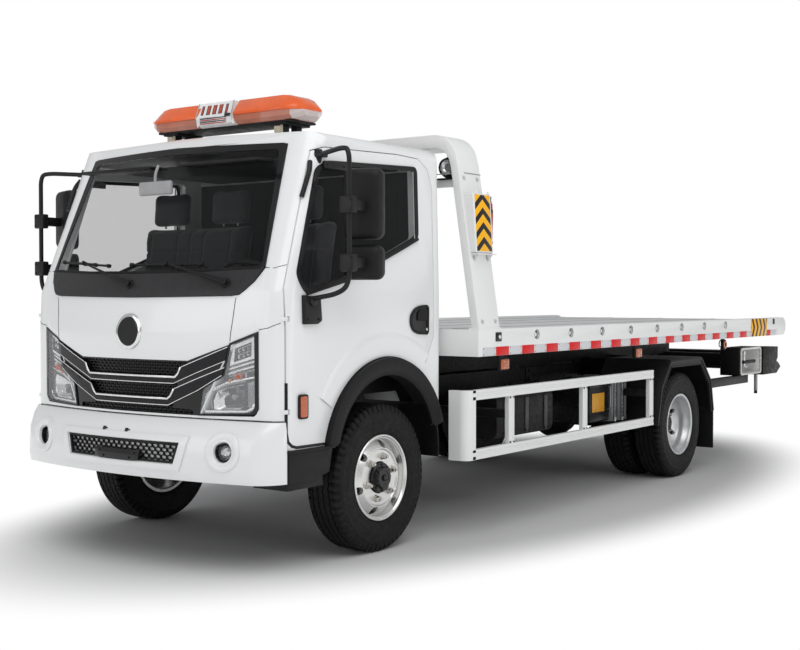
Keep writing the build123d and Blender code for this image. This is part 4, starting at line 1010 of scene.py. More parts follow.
def strip(points, width, out, depth, step=0.03, round_by=0.0):
    """A flat bar of even width along points, its face standing out."""
    bm = ribbon(points, width, step)
    bmesh.ops.translate(bm, vec=(0.0, -out, 0.0), verts=bm.verts)
    thicken(bm, (0.0, depth, 0.0))
    if round_by:
        rounded(bm, round_by, 60.0)
    return bm


def add_bowl(bm, edge, centre, out, sinks):
    """A hollow that closes from its edge towards its centre, one ring for each (share, depth)."""
    verts = [bm.verts.new((u, -out, v)) for u, v in edge]
    ring = [bm.edges.new(pair) for pair in zip(verts, verts[1:] + verts[:1])]
    middle = Vector((centre[0], 0.0, centre[1]))
    last = (1.0, 0.0)
    for share, depth in sinks:
        grown = bmesh.ops.extrude_edge_only(bm, edges=ring)["geom"]
        new = [g for g in grown if isinstance(g, bmesh.types.BMVert)]
        ring = [g for g in grown if isinstance(g, bmesh.types.BMEdge)]
        bmesh.ops.scale(bm, vec=(share / last[0], 1.0, share / last[0]), verts=new,
                        space=Matrix.Translation(-middle))
        bmesh.ops.translate(bm, vec=(0.0, depth - last[1], 0.0), verts=new)
        last = (share, depth)
    bmesh.ops.edgeloop_fill(bm, edges=ring)


GRILLE_EDGE = both_sides(mm([(0, 1037), (393, 1038), (636, 1128), (600, 978), (490, 914), (472, 890),
    (455, 766), (0, 758)]))
WINGS = [(mm([(0, 956), (318, 956), (337, 972), (357, 1007), (459, 1045), (634, 1112)]),
          mm([(0, 924), (308, 924), (457, 983), (618, 1043)])),
         (mm([(0, 846), (266, 846), (286, 860), (310, 897), (473, 959), (614, 1011)]),
          mm([(0, 813), (268, 813), (455, 893), (598, 972)]))]


class TOWTRUCK_OT_grille(bpy.types.Operator, TowTruckPiece):
    """Honeycomb grille with two satin wings and their bright trims"""

    bl_idname = "towtruck.grille"
    bl_label = "Grille"

    def execute(self, context):
        window = both_sides(mm([(0, 1031), (390, 1031), (420, 1020), (320, 930), (330, 905), (290, 800),
            (415, 795), (420, 772), (0, 768)]))
        back = slab(GRILLE_EDGE, -0.03, 0.006)
        frame_ = slab(GRILLE_EDGE, -0.004, 0.02, window)
        piece(wrapped(joined(back, frame_)), "grille_frame", "gloss_black", "cab", ("grille",))
        mesh = honeycomb(both_sides(mm([(0, 1034), (432, 1034), (432, 766), (0, 766)])), look().mesh_pitch,
            0.005, 0.01)
        bmesh.ops.translate(mesh, vec=(0.0, 0.014, 0.0), verts=mesh.verts)
        piece(wrapped(mesh), "grille_mesh", "mesh_black", "cab")
        plates, trims = [], []
        for top, low in WINGS:
            edge = both_sides(top + low[::-1])
            plates.append(slab(edge, 0.006, 0.014, None, 0.03, 0.002))
            line = [(-u, v) for u, v in top[:0:-1]] + top
            inner = line[2:-2]
            trims.append(strip(inner, 0.011, 0.012, 0.01, 0.03, 0.003))
            for way in (1, -1):
                trims.append(strip([(way * u, v) for u, v in top[-3:]], 0.0035, 0.008, 0.006))
                trims.append(strip([(way * u, v) for u, v in low[1:]], 0.003, 0.008, 0.006))
            trims.append(strip([(-low[1][0], low[1][1]), low[1]], 0.0035, 0.008, 0.006))
        piece(wrapped(joined(*plates)), "grille_wings", "wing_satin", "cab")
        piece(wrapped(joined(*trims)), "grille_trims", "chrome", "cab")
        badge = bmesh.new()
        add_rod(badge, (0, 0.006, 1.179), (0, -0.01, 1.179), 0.096, 64, 0.09, 0.003)
        piece(wrapped(badge), "nose_ring", "chrome", "cab")
        badge = bmesh.new()
        add_rod(badge, (0, -0.006, 1.179), (0, -0.014, 1.179), 0.078, 64, 0.07, 0.004)
        piece(wrapped(badge), "nose_disc", "gloss_black", "cab")
        return {"FINISHED"}


LAMP_EDGE = mm([(454, 768), (474, 892), (492, 916), (603, 979), (640, 1130), (796, 1190), (796, 812),
    (786, 795), (765, 783)])
LAMP_INNER = mm([(466, 778), (484, 888), (499, 908), (612, 973), (649, 1121), (774, 1169), (776, 828),
    (768, 806), (748, 792)])


class TOWTRUCK_OT_headlamps(bpy.types.Operator, TowTruckPiece):
    """Headlamps with their reflectors, bulbs, light strips and clear covers"""

    bl_idname = "towtruck.headlamps"
    bl_label = "Headlamps"

    def execute(self, context):
        parts = {
            "lamp_housings": (self.housing, "gloss_black"),
            "lamp_reflectors": (self.reflectors, "chrome"),
            "lamp_greys": (self.greys, "lamp_grey"),
            "lamp_strips": (self.strips, "strip_white"),
            "lamp_bulbs": (self.bulbs, "bulb_amber"),
            "lamp_covers": (self.cover, "lamp_cover"),
        }
        for name, (build, finish) in parts.items():
            stands_for = ("headlamps",) if name == "lamp_housings" else ()
            piece(both_ways(wrapped(build())), name, finish, "cab", stands_for)
        return {"FINISHED"}

    def housing(self):
        rim = slab(LAMP_EDGE, 0.003, 0.05, LAMP_INNER, 0.03, 0.002)
        back = slab(LAMP_EDGE, -0.075, 0.004, None, 0.05)
        module = slab(mm([(668, 1100), (750, 1132), (749, 1072), (662, 1042)]), -0.03, 0.03)
        return joined(rim, back, module)

    def reflectors(self):
        bm = slab(mm([(650, 1117), (772, 1164), (770, 1058), (634, 1018)]), -0.012, 0.006,
                  mm([(664, 1104), (754, 1138), (752, 1068), (656, 1036)]))
        add_bowl(bm, mm([(561, 892), (600, 907), (704, 930), (716, 900), (712, 832), (690, 806), (540, 799),
                         (537, 845)]), (0.64, 0.862), -0.014,
                 [(0.94, 0.004), (0.8, 0.026), (0.62, 0.044), (0.42, 0.056), (0.2, 0.062)])
        add_bowl(bm, mm([(650, 985), (700, 1000), (728, 990), (724, 952), (690, 940), (655, 944)]),
            (0.688, 0.969), -0.014, [(0.9, 0.004), (0.6, 0.02), (0.3, 0.027)])
        for u in (0.684, 0.708, 0.732):
            for v in (1.066, 1.096):
                v += (u - 0.684) * 0.36
                add_bowl(bm, [(u - 0.01, v - 0.012), (u + 0.01, v - 0.006), (u + 0.01, v + 0.013),
                    (u - 0.01, v + 0.007)], (u, v), -0.026, [(0.8, 0.002), (0.5, 0.008), (0.2, 0.01)])
        bars = [strip(mm([(612, 955 - k), (768, 1000 - k)]), 0.008, -0.016, 0.008) for k in (-42, -20)]
        bars.append(strip(mm([(480, 787), (724, 796), (758, 815), (766, 836)]), 0.014, -0.01, 0.01, 0.02,
            0.003))
        bars.append(strip(mm([(500, 862), (512, 884), (612, 934), (768, 966)]), 0.01, -0.012, 0.012, 0.02,
            0.003))
        return joined(bm, *bars)

    def greys(self):
        parts = [strip(mm([(625, 1010 - k), (768, 1047 - k)]), 0.009, -0.02, 0.01) for k in (0, 22, 44)]
        parts.append(slab(mm([(726, 936), (768, 948), (768, 838), (748, 815), (728, 818)]), -0.02, 0.006,
            None, 0.03, 0.002))
        parts.append(strip(mm([(528, 800), (522, 850), (540, 890), (620, 925), (720, 946)]), 0.01, -0.014,
            0.012, 0.02, 0.003))
        bm = joined(*parts)
        add_rod(bm, (0.64, 0.07, 0.862), (0.64, 0.035, 0.862), 0.014, 24, None, 0.003)
        return bm

    def strips(self):
        parts = []
        line = [Vector(p) for p in mm([(606, 930), (520, 893), (497, 866), (487, 815), (482, 792)])]
        for start, end in zip(line, line[1:]):
            count = max(1, round((end - start).length / 0.0135))
            for i in range(count):
                at = start.lerp(end, (i + 0.5) / count)
                way = (end - start).normalized() * 0.0045
                parts.append(strip([tuple(at - way), tuple(at + way)], 0.011, -0.008, 0.006, 0.03, 0.0015))
        return joined(*parts)

    def bulbs(self):
        bm = bmesh.new()
        for u, v, size in ((0.686, 0.968, 0.014), (0.633, 0.946, 0.008)):
            place = Matrix.Translation((u, 0.016, v)) @ Matrix.Diagonal((1.0, 1.5, 1.25, 1.0))
            bmesh.ops.create_uvsphere(bm, u_segments=24, v_segments=14, radius=size, matrix=place)
        return bm

    def cover(self):
        return slab(LAMP_INNER, 0.002, 0.003, None, 0.03)


SCREEN_EDGE = both_sides(mm([(0, 2148), (700, 2134), (728, 2128), (792, 1498), (756, 1433), (712, 1386),
    (684, 1366), (640, 1360), (300, 1355), (0, 1352)]))
SCREEN_VIEW = both_sides(mm([(0, 2110), (660, 2102), (684, 2094), (693, 2070), (768, 1530), (762, 1512),
    (745, 1506), (400, 1492), (0, 1488)]))
SCREEN_BAND = both_sides(mm([(0, 1474), (400, 1478), (700, 1492), (789, 1500), (756, 1435), (712, 1388),
    (684, 1368), (640, 1362), (300, 1357), (0, 1354)]))


class TOWTRUCK_OT_windscreen(bpy.types.Operator, TowTruckPiece):
    """Windscreen's black border, the cowl under it and the wipers"""

    bl_idname = "towtruck.windscreen"
    bl_label = "Windscreen"

    def execute(self, context):
        border = slab(SCREEN_EDGE, 0.0022, 0.0062, SCREEN_VIEW, 0.03)
        piece(wrapped(border), "screen_border", "gloss_black", "cab")
        bm = slab(SCREEN_BAND, 0.007, 0.004, None, 0.03, 0.0015)
        for way in (1, -1):
            bm = joined(bm, strip([(way * 0.69, 1.478), (way * 0.672, 1.372)], 0.003, 0.0076, 0.002))
        piece(wrapped(bm), "screen_cowl", "cowl_grey", "cab")
        rubber_line = strip([(u, v + 0.004) for u, v in mm([(-770, 1494), (-400, 1479), (0, 1475),
            (400, 1479), (770, 1494)])], 0.012, 0.01, 0.008, 0.03, 0.003)
        piece(wrapped(rubber_line), "screen_lip", "rubber", "cab")
        bm = bmesh.new()
        for pivot, tip, blade in ((mm([(-34, 1418)])[0], mm([(-462, 1530)])[0],
                mm([(-690, 1542), (-235, 1514)])), (mm([(596, 1422)])[0], mm([(205, 1518)])[0],
                mm([(-65, 1517), (430, 1515)]))):
            self.wiper(bm, pivot, tip, blade)
        piece(wrapped(bm), "wiper_set", "moulded_black", "cab", ("wipers",))
        return {"FINISHED"}

    def wiper(self, bm, pivot, tip, blade):
        root = Vector((pivot[0], 0.0, pivot[1]))
        end = Vector((tip[0], 0.0, tip[1]))
        add_rod(bm, root + Vector((0, 0.004, 0)), root + Vector((0, -0.034, 0)), 0.016, 28, 0.014, 0.003)
        add_rod(bm, root + Vector((0, -0.004, 0)), root + Vector((0, -0.016, 0)), 0.026, 28, 0.022, 0.003)
        run = (end - root).normalized()
        side = Vector((run.z, 0.0, -run.x))
        shoulder = root + run * 0.17
        for low, high, wide, tall in ((root - run * 0.02, shoulder, 0.013, 0.014),
                (shoulder, end, 0.007, 0.008)):
            points = [low + side * wide, high + side * wide * 0.6, high - side * wide * 0.6,
                low - side * wide]
            add_plate(bm, [p + Vector((0, -0.022, 0)) for p in points], (0.0, -tall, 0.0), 0.002)
        add_rod(bm, end + Vector((0, -0.006, 0)), end + Vector((0, -0.034, 0)), 0.01, 20, None, 0.002)
        ends = [Vector((u, 0.0, v)) for u, v in blade]
        count = 10
        for i in range(count):
            low, high = ends[0].lerp(ends[1], i / count), ends[0].lerp(ends[1], (i + 1) / count)
            add_rod(bm, low + Vector((0, -0.008, 0)), high + Vector((0, -0.008, 0)), 0.0045, 10)
            add_rod(bm, low + Vector((0, -0.016, 0)), high + Vector((0, -0.016, 0)),
                0.007 if 2 < i < 7 else 0.005, 10)
        for share in (0.02, 0.28, 0.5, 0.72, 0.98):
            at = ends[0].lerp(ends[1], share)
            low, high = at + Vector((-0.012, -0.022, -0.008)), at + Vector((0.012, -0.004, 0.008))
            add_block(bm, low, high, 0.002)


FOG_LAMP = (0.669, 0.606)


class TOWTRUCK_OT_bumper(bpy.types.Operator, TowTruckPiece):
    """Front bumper with its fog lamps, lower intake and plate bracket"""

    bl_idname = "towtruck.bumper"
    bl_label = "Bumper"

    def execute(self, context):
        refine("front_bumper", "bumper_shell", "white_paint", "cab", 0.0045, 40.0, 3)
        parts = []
        for way in (1, -1):
            ring = bmesh.new()
            profile = [(0.098, -0.002), (0.095, 0.007), (0.086, 0.012), (0.076, 0.011), (0.064, 0.004),
                (0.052, -0.006), (0.044, -0.04), (0.048, -0.046), (0.08, -0.014), (0.098, -0.008)]
            add_ring(ring, profile, (way * FOG_LAMP[0], FOG_LAMP[1]))
            parts.append(ring)
        piece(wrapped(joined(*parts), BUMPER_PLAN), "fog_bezels", "white_paint", "cab")
        dark, bright = bmesh.new(), bmesh.new()
        for way in (1, -1):
            add_ring(dark, [(0.0445, -0.01), (0.044, -0.07), (0.0, -0.072), (0.0, -0.076), (0.048, -0.074),
                            (0.048, -0.012)], (way * FOG_LAMP[0], FOG_LAMP[1]))
            add_ring(bright, [(0.036, -0.046), (0.03, -0.056), (0.018, -0.064), (0.0, -0.066), (0.0, -0.069),
                              (0.038, -0.068)], (way * FOG_LAMP[0], FOG_LAMP[1]))
            add_ring(bright, [(0.012, -0.046), (0.01, -0.042), (0.0, -0.041), (0.0, -0.06), (0.012, -0.06)],
                     (way * FOG_LAMP[0], FOG_LAMP[1]))
        piece(wrapped(dark, BUMPER_PLAN), "fog_tunnels", "gloss_black", "cab", ("fog_lamps",))
        piece(wrapped(bright, BUMPER_PLAN), "fog_mirrors", "chrome", "cab")
        covers = bmesh.new()
        for way in (1, -1):
            add_ring(covers, [(0.043, -0.038), (0.03, -0.034), (0.0, -0.032), (0.0, -0.035), (0.03, -0.037),
                              (0.043, -0.041)], (way * FOG_LAMP[0], FOG_LAMP[1]))
        piece(wrapped(covers, BUMPER_PLAN), "fog_glasses", "lamp_cover", "cab")
        self.intake()
        return {"FINISHED"}

    def intake(self):
        edge = both_sides(mm([(0, 630), (396, 630), (372, 543), (0, 543)]))
        mesh = honeycomb(edge, 0.04, 0.006, 0.012)
        bmesh.ops.translate(mesh, vec=(0.0, 0.012, 0.0), verts=mesh.verts)
        rim = slab(both_sides(mm([(0, 638), (410, 638), (380, 534), (0, 534)])), 0.002, 0.012,
                   both_sides(mm([(0, 628), (394, 628), (370, 545), (0, 545)])), 0.04, 0.002)
        frame = slab(both_sides(mm([(0, 668), (470, 668), (452, 600), (420, 500), (0, 500)])), 0.01, 0.014,
                     both_sides(mm([(0, 640), (420, 640), (384, 530), (0, 530)])), 0.04, 0.006)
        piece(wrapped(frame, BUMPER_PLAN), "bumper_frame", "white_paint", "cab")
        piece(wrapped(joined(mesh, rim), BUMPER_PLAN), "intake_mesh", "moulded_black", "cab")
        bracket = slab(mm([(-168, 585), (168, 585), (160, 540), (112, 532), (-112, 532), (-160, 540)]), 0.016,
            0.014, None, 0.04, 0.003)
        for u, v in ((-0.13, 0.574), (0.13, 0.574), (-0.095, 0.545), (0.095, 0.545)):
            add_rod(bracket, (u, -0.012, v), (u, -0.022, v), 0.006, 6, None, 0.001)
        for u in (-0.13, 0.04):
            add_block(bracket, (u - 0.012, -0.0035, 0.672), (u + 0.012, 0.006, 0.69), 0.004)
            add_block(bracket, (u + 0.014, -0.003, 0.677), (u + 0.024, 0.006, 0.685), 0.003)
        piece(wrapped(bracket, BUMPER_PLAN), "plate_bracket", "gloss_black", "cab")


def add_ring(bm, profile, centre, steps=56):
    """A profile of (radius, how far out) turned about a line that points out from the face."""
    old = set(bm.verts)
    verts = [bm.verts.new((r, -out, 0.0)) for r, out in profile]
    edges = [bm.edges.new(pair) for pair in zip(verts, verts[1:] + verts[:1])]
    bmesh.ops.spin(bm, geom=verts + edges, cent=(0, 0, 0), axis=(0, 1, 0), angle=2 * pi, steps=steps,
                   use_merge=True)
    made = [v for v in bm.verts if v not in old]
    bmesh.ops.remove_doubles(bm, verts=made, dist=1e-5)
    made = [v for v in bm.verts if v not in old]
    bmesh.ops.translate(bm, vec=(centre[0], 0.0, centre[1]), verts=made)


# ---------------------------------------------------------------- shapes for the sides
def back(distance):
    """The y of a place that many millimetres behind the front axle."""
    return FRONT_AXLE + distance / 1000.0


def behind(points):
    """Points (y, z) in metres from millimetres behind the front axle."""
    return mm(points, FRONT_AXLE)


def grown_edge(edge, amount):
    """A closed outline moved outwards, or inwards for a negative amount."""
    area = sum(u0 * v1 - u1 * v0 for (u0, v0), (u1, v1) in zip(edge, edge[1:] + edge[:1]))
    way = amount if area > 0 else -amount
    moved = []
    for before, at, after in zip(edge[-1:] + edge[:-1], edge, edge[1:] + edge[:1]):
        first = (Vector(at) - Vector(before)).normalized()
        second = (Vector(after) - Vector(at)).normalized()
        normal = Vector((first.y + second.y, -first.x - second.x))
        normal = normal.normalized() / max(0.35, normal.normalized().dot(Vector((first.y, -first.x))))
        moved.append(tuple(Vector(at) + normal * way))
    return moved


def softened(edge, radius, steps=5):
    """A closed outline with its corners rounded."""
    found = []
    for before, at, after in zip(edge[-1:] + edge[:-1], edge, edge[1:] + edge[:1]):
        at, before, after = Vector(at), Vector(before), Vector(after)
        reach = min(radius, (before - at).length * 0.45, (after - at).length * 0.45)
        start = at + (before - at).normalized() * reach
        end = at + (after - at).normalized() * reach
        for i in range(steps + 1):
            share = i / steps
            found.append(tuple(start * (1 - share) ** 2 + at * 2 * share * (1 - share) + end * share ** 2))
    return found


def add_loft(bm, rings, caps=True):
    """A skin through closed rings of points, its two ends capped."""
    rows = [[bm.verts.new(p) for p in ring] for ring in rings]
    for low, high in zip(rows, rows[1:]):
        for i in range(len(low)):
            j = (i + 1) % len(low)
            bm.faces.new((low[i], low[j], high[j], high[i]))
    if caps:
        bm.faces.new(rows[0][::-1])
        bm.faces.new(rows[-1])
    return [v for row in rows for v in row]


def side_sheet(edge, skin, lift, depth, hole=None, step=0.04, round_by=0.0):
    """A thin sheet laid on the left flank."""
    bm = laid(net(edge, hole, step, True), skin, INWARD, lift, depth)
    if round_by:
        rounded(bm, round_by, 60.0)
    return bm


def side_strip(points, width, skin, lift, depth, round_by=0.0, step=0.04):
    """A strip of even width laid on the left flank."""
    bm = laid(ribbon(points, width, step, True), skin, INWARD, lift, depth)
    if round_by:
        rounded(bm, round_by, 60.0)
    return bm


def both_ways(bm):
    mirror_all(bm)
    return bm


# ---------------------------------------------------------------- bed
RAIL_HOLES = [BED_FRONT + 0.657 + 0.43 * i for i in range(8)]
RAIL_HOLE_Z = 1.13
RAIL_LOW = 1.02
RAIL_FACE = 1.1496
RAIL_TOP = 1.172
TAPE_START = back(636)
STICKER = (back(4825), back(5206))
SIDE_LAMPS = (back(903), back(2695), back(4300))


class TOWTRUCK_OT_bed(bpy.types.Operator, TowTruckPiece):
    """Bed with its deck plate, reflective tape, hole plugs, latches and side lamps"""

    bl_idname = "towtruck.bed"
    bl_label = "Bed"

    def execute(self, context):
        refine("bed", "bed_body", "powder_white", "bed", 0.0025, 40.0)
        self.tape_row()
        self.stickers()
        self.plugs()
        self.deck()
        self.side_lamps()
        return {"FINISHED"}

    def tape_row(self):
        red, white, rivets = bmesh.new(), bmesh.new(), bmesh.new()
        pitch, half = look().tape_pitch, look().tape_height / 2
        low, high = RAIL_LOW + 0.0005, RAIL_LOW + 0.0005 + 2 * half
        count = round((STICKER[0] - TAPE_START) / pitch)
        for i in range(count + 1):
            start = TAPE_START + i * pitch
            middle, end = start + pitch * 0.5, start + pitch
            if start < STICKER[0] - 0.02:
                add_block(white, (RAIL_FACE, start + 0.004, low), (1.1509, min(middle, STICKER[0]) - 0.002,
                    high), 0.0004)
                for y in (start + 0.014, min(middle, STICKER[0]) - 0.012):
                    for z in (low + 0.008, high - 0.008):
                        add_rod(rivets, (1.15, y, z), (1.1522, y, z), 0.0035, 12, None, 0.0008)
            if end < STICKER[0] + 0.05:
                add_block(red, (RAIL_FACE, middle + 0.002, low), (1.1511, min(end, STICKER[0]) - 0.001, high),
                    0.0004)
        add_block(red, (RAIL_FACE, STICKER[1] + 0.006, low), (1.1511, STICKER[1] + 0.086, high), 0.0004)
        for i in range(2):
            y = STICKER[1] + 0.092 + i * 0.075
            add_block(white, (RAIL_FACE, y, low), (1.1509, y + 0.07, high), 0.0004)
        piece(both_ways(red), "tape_red", "tape_red", "bed")
        piece(both_ways(white), "tape_white", "tape_white", "bed")
        piece(both_ways(rivets), "tape_rivets", "rivet_grey", "bed")

    def stickers(self):
        bm = bmesh.new()
        add_block(bm, (RAIL_FACE, STICKER[0], RAIL_LOW + 0.001), (1.1512, STICKER[1], RAIL_TOP - 0.003),
            0.0004)
        piece(both_ways(bm), "rail_stickers", "rail_chevrons", "bed")

    def plugs(self):
        dark, white, metal = bmesh.new(), bmesh.new(), bmesh.new()
        for y in RAIL_HOLES:
            # Dark disc at the bottom of each hole: painted shadow inside the hole, left as a crescent beside
            # the white plug
            add_rod(dark, (1.135, y, RAIL_HOLE_Z), (1.1372, y, RAIL_HOLE_Z), 0.0262, 32)
            add_rod(white, (1.1365, y - 0.01, RAIL_HOLE_Z), (1.147, y - 0.01, RAIL_HOLE_Z), 0.015, 32, 0.013,
                0.002)
            add_spun(dark, [(1.1492, 0.0262), (1.1508, 0.0266), (1.1508, 0.0285), (1.1492, 0.029)],
                     (0, y, RAIL_HOLE_Z), 32)
        y, z = back(812), 1.127
        add_block(dark, (1.149, y - 0.034, z - 0.026), (1.153, y + 0.03, z + 0.026), 0.004)
        add_rod(metal, (1.15, y, z), (1.162, y, z), 0.013, 6, None, 0.002)
        add_rod(metal, (1.16, y, z), (1.166, y, z), 0.007, 16, None, 0.002)
        y, z = back(5366), 1.14
        add_block(dark, (1.149, y - 0.016, z - 0.024), (1.1525, y + 0.016, z + 0.024), 0.006)
        piece(both_ways(dark), "rail_darks", "gloss_black", "bed")
        piece(both_ways(white), "rail_plugs", "powder_white", "bed")
        piece(both_ways(metal), "rail_latch_bolts", "chrome", "bed")

    def deck(self):
        bm = bmesh.new()
        low, high = BED_FRONT + 0.704, back(5600)
        add_block(bm, (-1.0885, low, 1.1515), (1.0885, high, 1.1532))
        piece(bm, "deck_tread", "deck_plate", "bed")
        trims = bmesh.new()
        for x in (-1.0, -0.5, 0.0, 0.5, 1.0):
            add_block(trims, (x * 1.03 - 0.02, low + 0.01, 1.153), (x * 1.03 + 0.02, high - 0.01, 1.155),
                0.0009)
        piece(trims, "deck_strips", "deck_steel", "bed")

    def side_lamps(self):
        case, amber = bmesh.new(), bmesh.new()
        for i, y in enumerate(SIDE_LAMPS):
            add_block(case, (1.106, y - 0.03, 0.94), (1.114, y + 0.03, RAIL_LOW), 0.002)
            if i == 2:
                add_spun(case, [(1.112, 0.04), (1.13, 0.042), (1.134, 0.036), (1.134, 0.012), (1.128, 0.0)],
                         (0, y, 0.972), 40)
                add_spun(amber, [(1.129, 0.034), (1.137, 0.031), (1.139, 0.024), (1.137, 0.017),
                    (1.129, 0.014)], (0, y, 0.972), 40)
                add_tube(case, [(1.118, y - 0.03, 1.012), (1.12, y - 0.085, 1.006), (1.12, y - 0.1, 0.965),
                                (1.12, y - 0.055, 0.95), (1.12, y - 0.036, 0.972)], 0.004, 0.03)
                continue
            add_block(case, (1.11, y - 0.05, 0.93), (1.135, y + 0.05, 1.0), 0.006)
            add_block(amber, (1.132, y - 0.043, 0.936), (1.143, y + 0.043, 0.994), 0.005, 3)
            add_block(amber, (1.141, y - 0.034, 0.96), (1.1448, y + 0.034, 0.97), 0.0015)
            for dy, dz in ((-0.022, -0.016), (0.022, -0.016), (-0.022, 0.016), (0.022, 0.016)):
                add_block(amber, (1.1415, y + dy - 0.011, 0.965 + dz - 0.009),
                    (1.1442, y + dy + 0.011, 0.965 + dz + 0.009), 0.001)
        piece(both_ways(case), "side_lamp_cases", "moulded_black", "bed", ("bed_lamps",))
        piece(both_ways(amber), "side_lamp_lenses", "side_amber", "bed")


# ---------------------------------------------------------------- gantry
class TOWTRUCK_OT_gantry(bpy.types.Operator, TowTruckPiece):
    """Gantry with its joint plates, work lamps, chevron boxes and extinguisher"""

    bl_idname = "towtruck.gantry"
    bl_label = "Gantry"

    def execute(self, context):
        refine("gantry", "gantry_arch", "powder_white", "bed", 0.005, 35.0, 3)
        self.joints()
        self.boxes()
        self.lamps()
        return {"FINISHED"}

    def joints(self):
        skin = skin_of("gantry")
        low, high = BED_FRONT + 0.012, BED_FRONT + 0.241
        bm = laid(ribbon([(low, 2.06), (high, 2.06)], 0.006, 0.05, True), skin, INWARD, 0.0012, 0.004)
        piece(both_ways(bm), "gantry_seams", "seam_grey", "bed")
        bolts = bmesh.new()
        for y in (low + 0.045, high - 0.045):
            for z in (2.03, 1.575, 1.215):
                hit = skin.ray_cast(Vector((3.0, y, z)), Vector((-1, 0, 0)))[0]
                add_rod(bolts, (hit.x - 0.002, y, z), (hit.x + 0.003, y, z), 0.013, 20, None, 0.0015)
                add_rod(bolts, (hit.x + 0.002, y, z), (hit.x + 0.0095, y, z), 0.0085, 6, None, 0.0012)
        piece(both_ways(bolts), "gantry_bolts", "painted_bolts", "bed")
        foot = bmesh.new()
        add_block(foot, (1.08, low - 0.006, RAIL_TOP - 0.002), (1.149, high + 0.006, RAIL_TOP + 0.01), 0.003)
        piece(both_ways(foot), "gantry_feet", "powder_white", "bed")

    def boxes(self):
        low, high = BED_FRONT + 0.034, BED_FRONT + 0.22
        bm = bmesh.new()
        box = add_block(bm, (1.04, low, 1.606), (1.112, high, 1.944), 0.006, 3)
        lean = Matrix.Rotation(radians(-3.5), 4, "Y")
        bmesh.ops.rotate(bm, verts=box, cent=(1.112, low, 1.606), matrix=lean.to_3x3())
        add_plate(bm, [(1.05, low - 0.008, 1.602), (1.13, low - 0.008, 1.602), (1.13, high + 0.008, 1.602),
                               (1.05, high + 0.008, 1.602)], (0, 0, -0.006), 0.002)
        for y in (low + 0.02, high - 0.024):
            add_plate(bm, [(1.06, y, 1.598), (1.122, y, 1.598), (1.074, y, 1.53)], (0, 0.005, 0), 0.0015)
        for y in (low + 0.03, high - 0.03):
            add_rod(bm, (1.092, y, 1.94), (1.092, y, 1.956), 0.006, 16, None, 0.002)
        piece(both_ways(bm), "chevron_boxes", "powder_white", "bed", ("warning_panels",))
        bm = bmesh.new()
        sheet = add_block(bm, (1.111, low + 0.014, 1.615), (1.1128, high - 0.014, 1.935), 0.0005)
        bmesh.ops.rotate(bm, verts=sheet, cent=(1.112, low, 1.606), matrix=lean.to_3x3())
        piece(both_ways(bm), "chevron_sheets", "box_chevrons", "bed")
        bm = bmesh.new()
        add_rod(bm, (1.045, high + 0.034, 1.6), (1.045, high + 0.034, 1.9), 0.034, 40, None, 0.012)
        add_rod(bm, (1.045, high + 0.034, 1.89), (1.045, high + 0.034, 1.925), 0.014, 24, None, 0.003)
        piece(both_ways(bm), "extinguishers", "red_enamel", "bed")
        bm = bmesh.new()
        for z in (1.66, 1.84):
            add_spun_z(bm, [(0.033, z), (0.0365, z), (0.0365, z + 0.016), (0.033, z + 0.016)],
                (1.045, high + 0.034))
            add_block(bm, (1.02, high - 0.004, z), (1.07, high + 0.006, z + 0.016), 0.002)
        add_block(bm, (1.03, high + 0.004, 1.918), (1.06, high + 0.064, 1.936), 0.004)
        add_tube(bm, [(1.045, high + 0.064, 1.926), (1.052, high + 0.082, 1.86), (1.05, high + 0.076, 1.72)],
            0.007)
        piece(both_ways(bm), "extinguisher_clips", "moulded_black", "bed")

    def lamps(self):
        case, bright, glass = bmesh.new(), bmesh.new(), bmesh.new()
        y, x, z = BED_FRONT + 0.08, 0.88, 2.1
        outline = [(x + 0.062 * cos(a), z + 0.062 * sin(a)) for a in
                   [radians(40 + i * 14) for i in range(21)]]
        outline += [(x + 0.08, z - 0.02), (x + 0.088, z + 0.01)]
        add_plate(case, [(u, y + 0.018, v) for u, v in outline], (0, 0.07, 0), 0.008, 3)
        add_block(case, (0.866, y + 0.03, z + 0.04), (0.894, y + 0.066, 2.206), 0.003)
        add_plate(case, [(x - 0.075, y + 0.004, z - 0.07), (x + 0.085, y + 0.004, z - 0.07),
            (x + 0.095, y + 0.004, z - 0.06), (x - 0.065, y + 0.004, z - 0.06)], (0, 0.08, 0), 0.002)
        profile = [(0.049, 0.022), (0.052, 0.008), (0.052, -0.004), (0.046, -0.006), (0.043, 0.006),
            (0.043, 0.022)]
        add_turned_y(case, profile, (x, y, z))
        add_turned_y(bright, [(0.0425, 0.002), (0.034, 0.014), (0.016, 0.022), (0.0, 0.024), (0.0, 0.028),
                              (0.0425, 0.026)], (x, y, z))
        add_turned_y(glass, [(0.0445, 0.004), (0.03, -0.004), (0.0, -0.007), (0.0, -0.003), (0.03, 0.0),
                             (0.0445, 0.008)], (x, y, z))
        piece(both_ways(case), "work_lamp_cases", "moulded_black", "bed")
        piece(both_ways(bright), "work_lamp_mirrors", "chrome", "bed")
        piece(both_ways(glass), "work_lamp_glasses", "lamp_cover", "bed")


def add_turned(bm, profile, centre, axis, steps):
    """A profile of (radius, along) points turned about an upright or lengthwise line."""
    old = set(bm.verts)
    verts = [bm.verts.new((r, along, 0.0) if axis == "Y" else (r, 0.0, along)) for r, along in profile]
    edges = [bm.edges.new(pair) for pair in zip(verts, verts[1:] + verts[:1])]
    bmesh.ops.spin(bm, geom=verts + edges, cent=(0, 0, 0), axis=(0, 1, 0) if axis == "Y" else (0, 0, 1),
                   angle=2 * pi, steps=steps, use_merge=True)
    made = [v for v in bm.verts if v not in old]
    bmesh.ops.remove_doubles(bm, verts=made, dist=1e-5)
    made = [v for v in bm.verts if v not in old]
    bmesh.ops.translate(bm, vec=Vector(centre), verts=made)
    return made


